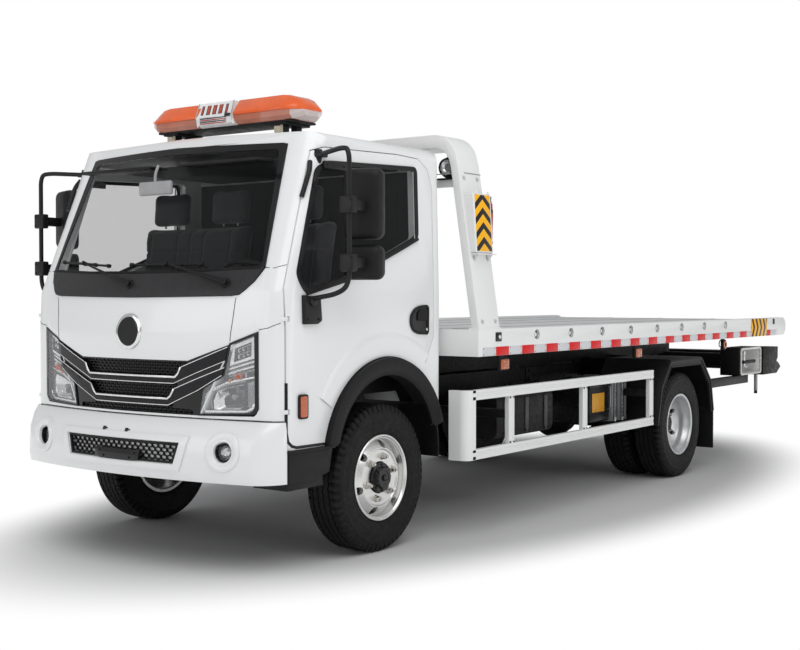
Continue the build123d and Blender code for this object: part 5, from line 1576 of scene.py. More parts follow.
def add_turned_y(bm, profile, centre, steps=40):
    return add_turned(bm, profile, centre, "Y", steps)


def add_spun_z(bm, profile, centre, steps=40):
    return add_turned(bm, profile, (centre[0], centre[1], 0.0), "Z", steps)


# ---------------------------------------------------------------- light bar
BAR_Y = back(-145)
BAR_LOW = 2.292
BAR_FOOT = 0.41


class TOWTRUCK_OT_light_bar(bpy.types.Operator, TowTruckPiece):
    """Amber light bar with its clear band, rotators, white middle module and feet"""

    bl_idname = "towtruck.light_bar"
    bl_label = "Light bar"

    def execute(self, context):
        edge, top = BAR_LOW + 0.066, BAR_LOW + 0.149
        upper, lower, ends = bmesh.new(), bmesh.new(), bmesh.new()
        for way in (1, -1):
            inner = 0.117 if way > 0 else 0.157
            stations = [(inner, 0.14, 0.08, top), (0.432, 0.14, 0.08, top), (0.48, 0.136, 0.076, top - 0.006),
                        (0.526, 0.118, 0.066, top - 0.026), (0.56, 0.088, 0.056, top - 0.06)]
            rings = []
            for x, half, top_half, high in stations:
                rings.append([(way * x, BAR_Y - half, edge - 0.004), (way * x, BAR_Y - half, edge + 0.01),
                    (way * x, BAR_Y - top_half - 0.006, high - 0.003), (way * x, BAR_Y - top_half, high),
                    (way * x, BAR_Y + top_half, high), (way * x, BAR_Y + top_half + 0.006, high - 0.003),
                    (way * x, BAR_Y + half, edge + 0.01), (way * x, BAR_Y + half, edge - 0.004)])
            add_loft(upper, rings)
            for bm, xs in ((lower, (inner, 0.3, 0.46, 0.508)), (ends, (0.509, 0.54, 0.564, 0.571))):
                rows = []
                for x in xs:
                    share = max(0.0, (x - 0.46) / 0.111)
                    half = 0.134 - 0.056 * share ** 1.6
                    low = BAR_LOW + 0.01 + 0.022 * share ** 2
                    rows.append([(way * x, BAR_Y - half + 0.022, low), (way * x, BAR_Y - half, low + 0.02),
                                 (way * x, BAR_Y - half, edge - 0.005), (way * x, BAR_Y + half, edge - 0.005),
                                 (way * x, BAR_Y + half, low + 0.02), (way * x, BAR_Y + half - 0.022, low)])
                add_loft(bm, rows)
            for i in range(20):
                x = way * (0.15 + i * 0.0185) if way > 0 else way * (0.185 + i * 0.017)
                add_block(upper, (x - 0.002, BAR_Y - 0.1415, edge - 0.004),
                    (x + 0.002, BAR_Y - 0.139, edge + 0.008))
        rounded(upper, 0.003, 25.0)
        rounded(ends, 0.004, 25.0)
        rounded(lower, 0.002, 25.0)
        piece(upper, "bar_shells", "bar_amber", "cab", ("light_bar",))
        piece(lower, "bar_bands", "bar_band", "cab")
        piece(ends, "bar_ends", "bar_clear", "cab")
        self.inside()
        self.module()
        self.base()
        return {"FINISHED"}

    def inside(self):
        bright, dark, bulbs = bmesh.new(), bmesh.new(), bmesh.new()
        low = BAR_LOW + 0.016
        for x in (-0.45, -0.335, -0.225, 0.195, 0.31, 0.425):
            add_spun_z(dark, [(0.0, low), (0.04, low), (0.04, low + 0.01), (0.0, low + 0.01)], (x, BAR_Y))
            turn = (x * 7.3) % 1.0 * 2.0
            for i in range(7):
                angle = turn + radians(-60 + i * 20)
                at = Vector((x + 0.034 * cos(angle), BAR_Y + 0.034 * sin(angle), low + 0.034))
                box = add_block(bright, at + Vector((-0.007, -0.0015, -0.026)),
                    at + Vector((0.007, 0.0015, 0.026)))
                bmesh.ops.rotate(bright, verts=box, cent=at, matrix=Matrix.Rotation(angle + pi / 2, 3, "Z"))
            add_spun_z(bulbs, [(0.0, low + 0.01), (0.01, low + 0.012), (0.011, low + 0.04),
                (0.0, low + 0.05)], (x, BAR_Y))
        for x in (-0.392, -0.28, 0.252, 0.368):
            box = add_block(bright, (x - 0.045, BAR_Y - 0.001, low), (x + 0.045, BAR_Y + 0.002, low + 0.05))
            bmesh.ops.rotate(bright, verts=box, cent=(x, BAR_Y, low), matrix=Matrix.Rotation(0.5, 3, "Z"))
        piece(bright, "bar_mirrors", "chrome", "cab")
        piece(dark, "bar_motors", "gloss_black", "cab")
        piece(bulbs, "bar_bulbs", "strip_white", "cab")

    def module(self):
        """The white box in the middle, its sides slanted, with slots above and louvres in front."""
        edge, top = BAR_LOW + 0.062, BAR_LOW + 0.152
        levels = [(-0.12, BAR_LOW + 0.008, -0.142, 0.13), (-0.145, BAR_LOW + 0.022, -0.145, 0.126),
                  (-0.145, edge, -0.16, 0.108), (-0.084, top, -0.192, 0.076), (0.084, top, -0.192, 0.076),
                  (0.145, edge, -0.16, 0.108), (0.12, BAR_LOW + 0.008, -0.142, 0.13)]
        bm = bmesh.new()
        rows = [[(low, BAR_Y + y, z), (high, BAR_Y + y, z)] for y, z, low, high in levels]
        left = [bm.verts.new(row[0]) for row in rows]
        right = [bm.verts.new(row[1]) for row in rows]
        count = len(rows)
        for i in range(count):
            j = (i + 1) % count
            bm.faces.new((left[i], left[j], right[j], right[i]))
        bm.faces.new(left)
        bm.faces.new(right[::-1])
        rounded(bm, 0.004, 25.0)
        piece(bm, "bar_module", "module_white", "cab")
        dark, red, bright = bmesh.new(), bmesh.new(), bmesh.new()
        for i in range(5):
            x = -0.15 + i * 0.046
            wide = 0.015 if 0 < i < 4 else 0.01
            for bm, lift, shrink in ((dark, 0.0012, 0.0), (red, 0.0024, 0.006)):
                points = []
                for u, share in ((-wide, 0.16), (wide, 0.16), (wide, 0.8), (-wide, 0.8)):
                    u = u - copysign(shrink, u)
                    share = share + (shrink * 4 if share < 0.5 else -shrink * 4)
                    y = -0.145 + 0.061 * share
                    z = edge + (top - edge) * share
                    points.append((x + u - 0.032 * share + 0.03, BAR_Y + y, z + lift))
                add_plate(bm, points, (0, 0.002, -0.002))
        for i in range(4):
            z = BAR_LOW + 0.024 + i * 0.0095
            low, high = -0.128, 0.07
            add_block(dark if i % 2 else red, (low, BAR_Y - 0.1475, z), (high, BAR_Y - 0.1455, z + 0.005),
                0.0008)
            add_block(bright, (low - 0.006, BAR_Y - 0.149, z + 0.0055),
                (high + 0.006, BAR_Y - 0.1455, z + 0.0085), 0.0008)
        add_block(dark, (0.06, BAR_Y - 0.15, edge - 0.006), (0.1, BAR_Y - 0.14, edge + 0.012), 0.003)
        for low, high in (((-0.16, edge), (-0.143, BAR_LOW + 0.012)),
                ((0.108, edge), (0.128, BAR_LOW + 0.012))):
            add_plate(bright, [(low[0] - 0.004, BAR_Y - 0.1465, low[1]),
                (low[0] + 0.004, BAR_Y - 0.1465, low[1]), (high[0] + 0.004, BAR_Y - 0.1465, high[1]),
                (high[0] - 0.004, BAR_Y - 0.1465, high[1])], (0, -0.002, 0), 0.0006)
            add_plate(bright, [(low[0] - 0.004, BAR_Y - 0.147, edge), (low[0] + 0.004, BAR_Y - 0.147, edge),
                               (low[0] - 0.028, BAR_Y - 0.086, top), (low[0] - 0.036, BAR_Y - 0.086, top)],
                      (0, -0.001, 0.002), 0.0006)
        piece(dark, "bar_slots", "gloss_black", "cab")
        piece(red, "bar_reds", "bar_red", "cab")
        piece(bright, "bar_louvres", "chrome", "cab")

    def base(self):
        bm = bmesh.new()
        add_block(bm, (-0.5, BAR_Y - 0.112, BAR_LOW), (0.5, BAR_Y + 0.112, BAR_LOW + 0.012), 0.004)
        for x in (-BAR_FOOT, BAR_FOOT):
            add_block(bm, (x - 0.055, BAR_Y - 0.105, BAR_LOW - 0.012),
                (x + 0.055, BAR_Y + 0.105, BAR_LOW + 0.002), 0.004)
            add_block(bm, (x - 0.022, BAR_Y - 0.075, 2.215), (x + 0.022, BAR_Y - 0.03, BAR_LOW), 0.005)
            add_block(bm, (x - 0.022, BAR_Y + 0.03, 2.215), (x + 0.022, BAR_Y + 0.075, BAR_LOW), 0.005)
            add_rod(bm, (x + 0.06, BAR_Y - 0.06, 2.214), (x + 0.06, BAR_Y - 0.06, 2.236), 0.04, 32, 0.026,
                0.004)
        piece(bm, "bar_base", "moulded_black", "cab")
        bm = bmesh.new()
        for x in (-BAR_FOOT, BAR_FOOT):
            add_block(bm, (x - 0.03, BAR_Y - 0.1, 2.24), (x + 0.012, BAR_Y - 0.078, 2.276), 0.004)
            add_rod(bm, (x + 0.014, BAR_Y - 0.086, 2.236), (x + 0.014, BAR_Y - 0.086, 2.282), 0.008, 20, None,
                0.002)
        piece(bm, "bar_clamps", "clamp_cream", "cab")


def bar_lens(name, colour, alpha):
    """A coloured shell of the light bar, with fine upright ribs."""
    n = Nodes(name)
    ribs = (n.axes()[0] * 110.0).fract()
    tone = n.mix(n.noise(9.0, 3.0).ramp(0.3, 0.7), shade(colour, 0.86), colour)
    return n.finish(tone, 0.1, 0.0, n.bump(ribs, 0.06, 0.001), **{
        "Alpha": alpha, "IOR": 1.5, "Coat Weight": 0.2, "Coat Roughness": 0.04, "Emission Color": tone,
        "Emission Strength": 0.03})


# ---------------------------------------------------------------- doors and cab sides
SIDE_WINDOW = behind([(-693, 1455), (-631, 1372), (-306, 1444), (148, 1612), (313, 1676), (313, 2063),
    (-440, 2035), (-505, 2000)])


def arc_points(centre, radius, low, high, count):
    """Points (y, z) along an arc, its angles in degrees from the rear."""
    found = []
    for i in range(count + 1):
        angle = radians(low + (high - low) * i / count)
        found.append((centre[0] + radius * cos(angle), centre[1] + radius * sin(angle)))
    return found


class TOWTRUCK_OT_doors(bpy.types.Operator, TowTruckPiece):
    """Cab shell and doors with their window seals, handles, seams and side markers"""

    bl_idname = "towtruck.doors"
    bl_label = "Doors"

    def execute(self, context):
        refine("cab_shell", "cab_body", "white_paint", "cab", 0.003, 24.0, 2, 0.6)
        for side, way in (("left", 1), ("right", -1)):
            body = "door_" + side
            refine(body, "door_skin_" + side, "white_paint", body, 0.003, 24.0, 2, 0.6)
            self.seals(side, way)
            self.handle(side, way)
            self.bulge(side, way)
        self.seams()
        return {"FINISHED"}

    def place(self, bm, name, finish, body, way, stands_for=(), slot=None):
        return piece(handed(bm, way), name, finish, body, stands_for)

    def seals(self, side, way):
        skin = skin_of("door_left", "door_glass_left", "cab_shell")
        body = "door_" + side
        outer = grown_edge(SIDE_WINDOW, 0.006)
        ring = side_sheet(softened(outer, 0.042), skin, 0.0045, 0.01,
            softened(grown_edge(SIDE_WINDOW, -0.018), 0.03), 0.035, 0.0016)
        self.place(ring, "window_seal_" + side, "seal_black", body, way)
        lip = side_strip([SIDE_WINDOW[i] for i in (1, 2, 3, 4)], 0.02, skin, 0.011, 0.009, 0.004)
        self.place(lip, "window_sill_" + side, "seal_black", body, way)
        gap = side_strip(behind([(-762, 940), (-762, 700), (-754, 655), (-732, 632), (-700, 624),
            (-440, 622)]), 0.014, skin, 0.0015, 0.004)
        self.place(gap, "door_edge_" + side, "seal_black", body, way)
        run = side_strip([(SIDE_WINDOW[4][0] - 0.03, 1.66), (SIDE_WINDOW[5][0] - 0.03, 2.04)],
                         0.007, skin, 0.006, 0.004)
        self.place(run, "window_run_" + side, "seam_grey", body, way, slot="bright_steel")

    def handle(self, side, way):
        skin = skin_of("door_left")
        body = "door_" + side
        outline = behind([(388, 1312), (316, 1308), (264, 1292), (228, 1254), (226, 1210), (250, 1168),
            (300, 1150), (388, 1146), (402, 1160), (404, 1298)])
        cup = side_sheet(softened(outline, 0.02), skin, 0.008, 0.006,
            softened(grown_edge(outline, -0.016), 0.016), 0.02, 0.0022)
        self.place(cup, "handle_rim_" + side, "moulded_black", body, way, ("door_fittings_" + side,))
        dish = side_sheet(softened(grown_edge(outline, -0.014), 0.016), skin, 0.003, 0.002, None, 0.02)
        self.place(dish, "handle_dish_" + side, "gloss_black", body, way)
        flap = side_sheet(softened(behind([(382, 1290), (330, 1288), (296, 1272), (292, 1226), (384, 1222)]),
            0.014), skin, 0.0095, 0.006, None, 0.02, 0.0025)
        key = bmesh.new()
        at = skin.ray_cast(Vector((3.0, back(386), 1.176)), Vector((-1, 0, 0)))[0]
        add_rod(key, (at.x, at.y, at.z), (at.x + 0.008, at.y, at.z), 0.009, 24, None, 0.0015)
        self.place(flap, "handle_flap_" + side, "moulded_black", body, way)
        self.place(key, "handle_key_" + side, "chrome", body, way)
        lamp = behind([(-692, 880), (-624, 880), (-624, 760), (-692, 760)])
        case = side_sheet(softened(lamp, 0.016), skin, 0.012, 0.01, softened(grown_edge(lamp, -0.01), 0.01),
            0.02, 0.002)
        self.place(case, "marker_case_" + side, "moulded_black", body, way)
        amber = side_sheet(softened(grown_edge(lamp, -0.009), 0.01), skin, 0.014, 0.01, None, 0.02, 0.003)
        self.place(amber, "marker_lens_" + side, "marker_amber", body, way)

    def bulge(self, side, way):
        """The raised edge that runs over the wheel opening, on the door."""
        skin = skin_of("door_left", "cab_shell")
        centre = (back(30), 0.508)
        rows = arc_points(centre, 0.65, 148.0, 47.0, 60)
        bm = bmesh.new()
        rings = []
        for (y, z) in rows:
            out = Vector((y - centre[0], z - centre[1])).normalized()
            ring = []
            for share, lift in ((0.01, -0.001), (0.002, 0.003), (-0.008, 0.0075), (-0.024, 0.0085),
                                (-0.06, 0.007), (-0.105, 0.003), (-0.118, -0.001)):
                at = Vector((y, z)) + out * share
                hit = skin.ray_cast(Vector((3.0, at.x, at.y)), Vector((-1, 0, 0)))[0]
                x = hit.x if hit is not None and hit.x > 0.8 else 0.943
                ring.append((x + lift, at.x, at.y))
            rings.append(ring)
        verts = [[bm.verts.new(p) for p in ring] for ring in rings]
        for low, high in zip(verts, verts[1:]):
            for i in range(len(low) - 1):
                bm.faces.new((low[i], low[i + 1], high[i + 1], high[i]))
        gone = [f for f in bm.faces if f.calc_center_median().y > back(452) or
                (f.calc_center_median().y > back(345) and f.calc_center_median().z < 0.944 +
                 (f.calc_center_median().y - back(345)) * 1.76)]
        bmesh.ops.delete(bm, geom=gone, context="FACES")
        for face in bm.faces:
            if face.normal.x < 0:
                face.normal_flip()
        handed(bm, way)
        piece(bm, "arch_bulge_" + side, "white_paint", "door_" + side, sharp=50.0, outwards=False)

    def seams(self):
        """The lines where the cab's outer panels meet."""
        bm = bmesh.new()
        for way in (1, -1):
            for line in ([(0.786, 1.5), (0.842, 1.496), (0.89, 1.512)], [(0.797, 1.197), (0.85, 1.206),
                                                                           (0.9, 1.23)],
                         [(0.668, 1.352), (0.664, 1.335), (0.655, 1.242), (0.643, 1.139)]):
                points = [(way * u, v) for u, v in line]
                bm = joined(bm, strip(points, 0.0032, 0.0012, 0.003, 0.02))
        piece(wrapped(bm), "panel_seams", "seam_dark", "cab")


# ---------------------------------------------------------------- mirrors
MIRROR_X = 1.158
MIRROR_Y = back(-575)


def head_ring(centre, across, push, wide, tall, round_by, depth, steps=6):
    """A rounded rectangle across a mirror's housing, at some depth."""
    points = []
    for sx, sz, first in ((1, 1, 0), (-1, 1, 90), (-1, -1, 180), (1, -1, 270)):
        for i in range(steps + 1):
            angle = radians(first + 90 * i / steps)
            u = sx * (wide / 2 - round_by) + round_by * cos(angle)
            v = sz * (tall / 2 - round_by) + round_by * sin(angle)
            points.append(centre + across * u + push * depth + Vector((0, 0, v)))
    return points


class TOWTRUCK_OT_mirrors(bpy.types.Operator, TowTruckPiece):
    """Two mirrors a side on their tube arms, with clamps, grab bars and glasses"""

    bl_idname = "towtruck.mirrors"
    bl_label = "Mirrors"

    def execute(self, context):
        for side, way in (("left", 1), ("right", -1)):
            arms, heads, glass = bmesh.new(), bmesh.new(), bmesh.new()
            self.arm(arms)
            for low, high, foot in ((1.64, 1.99, 1.8), (1.44, 1.612, 1.522)):
                self.head(heads, glass, low, high)
                self.clamp(arms, foot)
            if way < 0:
                for bm in (arms, heads, glass):
                    flipped(bm)
            body = "door_" + side
            piece(arms, "mirror_arm_" + side, "arm_black", body, ("mirror_" + side,))
            piece(heads, "mirror_heads_" + side, "moulded_black", body)
            piece(glass, "mirror_glasses_" + side, "mirror_glass", body)
        return {"FINISHED"}

    def arm(self, bm):
        x, y = MIRROR_X, MIRROR_Y
        add_tube(bm, [(0.876, back(-470), 2.066), (x - 0.05, y + 0.012, 2.08), (x, y, 2.066), (x, y, 1.42),
                      (x - 0.06, y - 0.006, 1.372), (0.936, y - 0.03, 1.345)], 0.0125, 0.055, 20)
        add_rod(bm, (0.88, back(-474), 2.01), (0.88, back(-474), 2.094), 0.022, 28, None, 0.004)
        add_block(bm, (0.872, back(-500), 2.052), (0.925, back(-448), 2.08), 0.006)
        add_block(bm, (0.905, back(-472), 1.998), (0.925, back(-298), 2.036), 0.004)
        for at in (-450, -320):
            add_rod(bm, (0.92, back(at), 2.017), (0.929, back(at), 2.017), 0.007, 6, None, 0.001)
        foot = behind([(-664, 1366), (-540, 1350), (-530, 1238), (-560, 1222), (-658, 1222)])
        skin = skin_of("door_left", "cab_shell")
        base = bmesh.new()
        add_plate(base, [(0.955, a, b) for a, b in foot], (-0.03, 0, 0), 0.006, 3)
        add_rod(base, (0.938, y - 0.03, 1.335), (0.966, y - 0.03, 1.335), 0.026, 28, None, 0.005)
        for a, b in ((back(-640), 1.245), (back(-558), 1.245), (back(-640), 1.34)):
            add_rod(base, (0.95, a, b), (0.96, a, b), 0.007, 6, None, 0.001)
        joined(bm, base)
        grip = skin.ray_cast(Vector((3.0, back(-560), 1.96)), Vector((-1, 0, 0)))[0]
        start = Vector((grip.x + 0.008, back(-520), 2.03))
        add_tube(bm, [start, (grip.x + 0.03, back(-548), 1.985), (grip.x + 0.022, back(-600), 1.85)], 0.013,
            0.03)

    def clamp(self, bm, z):
        x, y = MIRROR_X, MIRROR_Y
        add_block(bm, (x - 0.044, y - 0.024, z - 0.042), (x + 0.036, y + 0.022, z + 0.042), 0.008, 3)
        add_block(bm, (x - 0.03, y + 0.01, z - 0.026), (x + 0.012, y + 0.12, z + 0.026), 0.006, 2)
        for dz in (-0.026, 0.026):
            add_rod(bm, (x + 0.022, y - 0.028, z + dz), (x + 0.022, y - 0.022, z + dz), 0.006, 6, None, 0.001)

    def head(self, bm, glass, low, high):
        across, push = Vector((0.94, 0.342, 0.0)), Vector((-0.342, 0.94, 0.0))
        centre = Vector((MIRROR_X - 0.022, MIRROR_Y + 0.122, (low + high) / 2))
        tall, wide = high - low, 0.2
        rings = [head_ring(centre, across, push, wide * a, tall - wide * (1 - a), r, d) for a, r, d in
                 ((0.6, 0.02, -0.004), (0.8, 0.03, 0.0), (0.93, 0.036, 0.012), (1.0, 0.04, 0.034),
                  (1.0, 0.04, 0.074), (0.96, 0.036, 0.08), (0.93, 0.033, 0.08), (0.92, 0.032, 0.07))]
        add_loft(bm, rings)
        rings = [head_ring(centre, across, push, wide * 0.91, tall - wide * 0.09, 0.031, d) for d in (0.0705,
            0.0735)]
        add_loft(glass, rings)


# ---------------------------------------------------------------- side guards, tanks and fenders
GUARD_FRONT = back(545)
GUARD_BACK = back(3004)
GUARD_LOW = 0.435
GUARD_TOP = 0.83
RAIL_PROFILE = [(-0.03, 0.0), (-0.002, 0.0), (0.0, 0.002), (0.0, 0.019), (-0.003, 0.021), (-0.003, 0.025),
    (-0.001, 0.027), (-0.001, 0.033), (-0.003, 0.035), (-0.003, 0.039), (0.0, 0.041), (0.0, 0.056),
    (-0.002, 0.058), (-0.03, 0.058)]
POST_PROFILE = [(0.0, -0.03), (0.0, -0.004), (0.044, -0.004), (0.046, 0.0), (0.057, 0.0), (0.059, -0.004),
                (0.064, -0.004), (0.064, -0.03)]


class TOWTRUCK_OT_guards(bpy.types.Operator, TowTruckPiece):
    """Side guards of ridged white rails with their posts, end plates and bolts"""

    bl_idname = "towtruck.guards"
    bl_label = "Side guards"

    def execute(self, context):
        x = 1.11
        white, bolts = bmesh.new(), bmesh.new()
        for low in (GUARD_LOW, GUARD_TOP - 0.058):
            add_loft(white, [[(x + u, y, low + v) for u, v in RAIL_PROFILE] for y in (GUARD_FRONT + 0.06,
                GUARD_BACK)])
        for start in (1000, 1926, 2940):
            rings = [[(x + v, back(start) + u, z) for u, v in POST_PROFILE] for z in
                     (GUARD_LOW + 0.056, GUARD_TOP - 0.056)]
            add_loft(white, rings)
            for z in (GUARD_LOW + 0.066, GUARD_TOP - 0.066):
                for step in (0.014, 0.05):
                    add_rod(bolts, (x - 0.004, back(start) + step, z), (x + 0.003, back(start) + step, z),
                        0.006, 6, None, 0.001)
        plan = [(x - 0.125, GUARD_FRONT + 0.004), (x - 0.125, GUARD_FRONT), (x - 0.055, GUARD_FRONT)]
        plan += [(x - 0.055 + 0.055 * sin(radians(a)), GUARD_FRONT + 0.055 - 0.055 *
                  cos(radians(a))) for a in range(10, 91, 10)]
        plan += [(x, GUARD_FRONT + 0.09), (x - 0.03, GUARD_FRONT + 0.09), (x - 0.03, GUARD_FRONT + 0.06)]
        plan += [(x - 0.055, GUARD_FRONT + 0.03), (x - 0.1, GUARD_FRONT + 0.03)]
        add_loft(white, [[(u, v, z) for u, v in plan] for z in (GUARD_LOW, GUARD_TOP)])
        beams = bmesh.new()
        for start in (1032, 2972):
            y = back(start)
            add_block(beams, (0.375, y - 0.025, 0.64), (x - 0.03, y + 0.025, 0.69), 0.004)
            add_block(beams, (x - 0.042, y - 0.016, GUARD_LOW + 0.01),
                (x - 0.031, y + 0.016, GUARD_TOP - 0.01), 0.003)
        piece(both_ways(beams), "guard_beams", "chassis_black", "chassis")
        rounded(white, 0.0012, 50.0)
        piece(both_ways(white), "guard_rails", "powder_white", "chassis", ("side_guards",))
        piece(both_ways(bolts), "guard_bolts", "rivet_grey", "chassis")
        return {"FINISHED"}


class TOWTRUCK_OT_tanks(bpy.types.Operator, TowTruckPiece):
    """Battery box, ribbed grey tank, oil tank, fuel tank and their straps"""

    bl_idname = "towtruck.tanks"
    bl_label = "Tanks"

    def execute(self, context):
        self.battery()
        self.ribbed()
        for node in ("oil_tank", "fuel_tank"):
            refine(node, node + "_body", "chassis_black", "chassis", 0.004, 30.0, 2)
        straps = bmesh.new()
        for start in (1300, 1560, 1800):
            add_block(straps, (0.898, back(start) - 0.02, 0.52), (0.906, back(start) + 0.02, 0.72), 0.002)
            add_block(straps, (0.54, back(start) - 0.02, 0.758), (0.86, back(start) + 0.02, 0.764), 0.002)
            add_rod(straps, (0.902, back(start), 0.5), (0.902, back(start), 0.54), 0.007, 16, None, 0.001)
        for start in (1300, 1700, 2100):
            add_block(straps, (-0.926, back(start) - 0.02, 0.48), (-0.918, back(start) + 0.02, 0.73), 0.002)
            add_block(straps, (-0.87, back(start) - 0.02, 0.778), (-0.54, back(start) + 0.02, 0.784), 0.002)
        for shell in range(2):  # the filler cap is two shells in one place
            add_spun_z(straps, [(0.0, 0.782), (0.038, 0.782), (0.038, 0.8), (0.03, 0.806), (0.0, 0.806)],
                       (-0.7, back(1250)))
        piece(straps, "tank_straps", "rivet_grey", "chassis")
        return {"FINISHED"}

    def battery(self):
        low, high = back(2425), back(2733)
        bm = bmesh.new()
        add_block(bm, (0.56, low, 0.48), (0.896, high, 0.735), 0.012, 3)
        add_block(bm, (0.556, low - 0.004, 0.716), (0.904, high + 0.004, 0.749), 0.008, 3)
        for i in range(4):
            z = 0.51 + i * 0.012
            add_block(bm, (0.894, low + 0.24, z), (0.899, high - 0.02, z + 0.005), 0.001)
        add_block(bm, (0.375, low + 0.075, 0.64), (0.565, high - 0.083, 0.7), 0.003)
        piece(bm, "battery_case", "gloss_case", "chassis", ("battery_box",))
        bm = bmesh.new()
        add_block(bm, (0.895, back(2452), 0.543), (0.8985, back(2652), 0.69), 0.0008)
        piece(bm, "battery_label_edge", "label_edge", "chassis")
        bm = bmesh.new()
        add_block(bm, (0.896, back(2460), 0.551), (0.8995, back(2644), 0.682), 0.0008)
        piece(bm, "battery_label", "label_yellow", "chassis")
        bm = bmesh.new()
        add_tube(bm, [(0.896, back(2700), 0.722), (0.918, back(2700), 0.72), (0.918, back(2700), 0.568),
                      (0.896, back(2700), 0.56)], 0.006, 0.018)
        for z in (0.6, 0.69):
            add_block(bm, (0.894, back(2715), z), (0.905, back(2735), z + 0.03), 0.002)
        piece(bm, "battery_handle", "strap_steel", "chassis")

    def ribbed(self):
        """A grey tank with upright ribs and two bright straps."""
        low, high, x = back(2748), back(3006), 0.905
        bm = bmesh.new()
        plan = [(0.6, low), (x - 0.03, low)]
        count = 5
        wide = (high - low) / count
        for i in range(count):
            start = low + i * wide
            for share, lift in ((0.1, -0.004), (0.22, 0.01), (0.5, 0.016), (0.78, 0.01), (0.9, -0.004)):
                plan.append((x - 0.016 + lift, start + wide * share))
        plan += [(x - 0.03, high), (0.6, high)]
        add_loft(bm, [[(u, v, z) for u, v in plan] for z in (0.47, 0.742)])
        rounded(bm, 0.002, 60.0)
        add_block(bm, (0.375, back(2800), 0.6), (0.602, back(2860), 0.66), 0.003)
        piece(bm, "ribbed_tank", "tank_grey", "chassis", ("air_tank",))
        bm = bmesh.new()
        for start in (2790, 2905):
            add_block(bm, (x - 0.003, back(start), 0.466), (x + 0.006, back(start) + 0.024, 0.746), 0.002)
            add_block(bm, (0.6, back(start), 0.74), (x + 0.006, back(start) + 0.024, 0.747), 0.002)
            add_rod(bm, (x + 0.004, back(start) + 0.012, 0.486), (x + 0.015, back(start) + 0.012, 0.486),
                0.007, 6, None, 0.001)
        piece(bm, "ribbed_tank_straps", "strap_bright", "chassis")


def blank_label():
    """A yellow printed label with faint rows that say nothing."""
    n = Nodes("label_yellow")
    _, y, z = n.axes()
    rows = (z * 62.0).fract().ramp(0.3, 0.36, 0.0, 1.0) * (z * 62.0).fract().ramp(0.55, 0.62, 1.0, 0.0)
    words = n.noise(90.0, 2.0).ramp(0.45, 0.5)
    edge = abs(y - back(2552)).ramp(0.07, 0.072, 1.0, 0.0)
    tone = n.mix(rows * words * edge * 0.45, (0.78, 0.36, 0.006), (0.2, 0.09, 0.01))
    return n.finish(tone, 0.35, 0.0, None)


FENDER = [(3036, 430), (3106, 700), (3272, 886), (3848, 886), (4040, 700), (4092, 462)]
FLAP_LOW = 0.165
LIP_FRONT = 0.614
LIP_REAR = 0.64


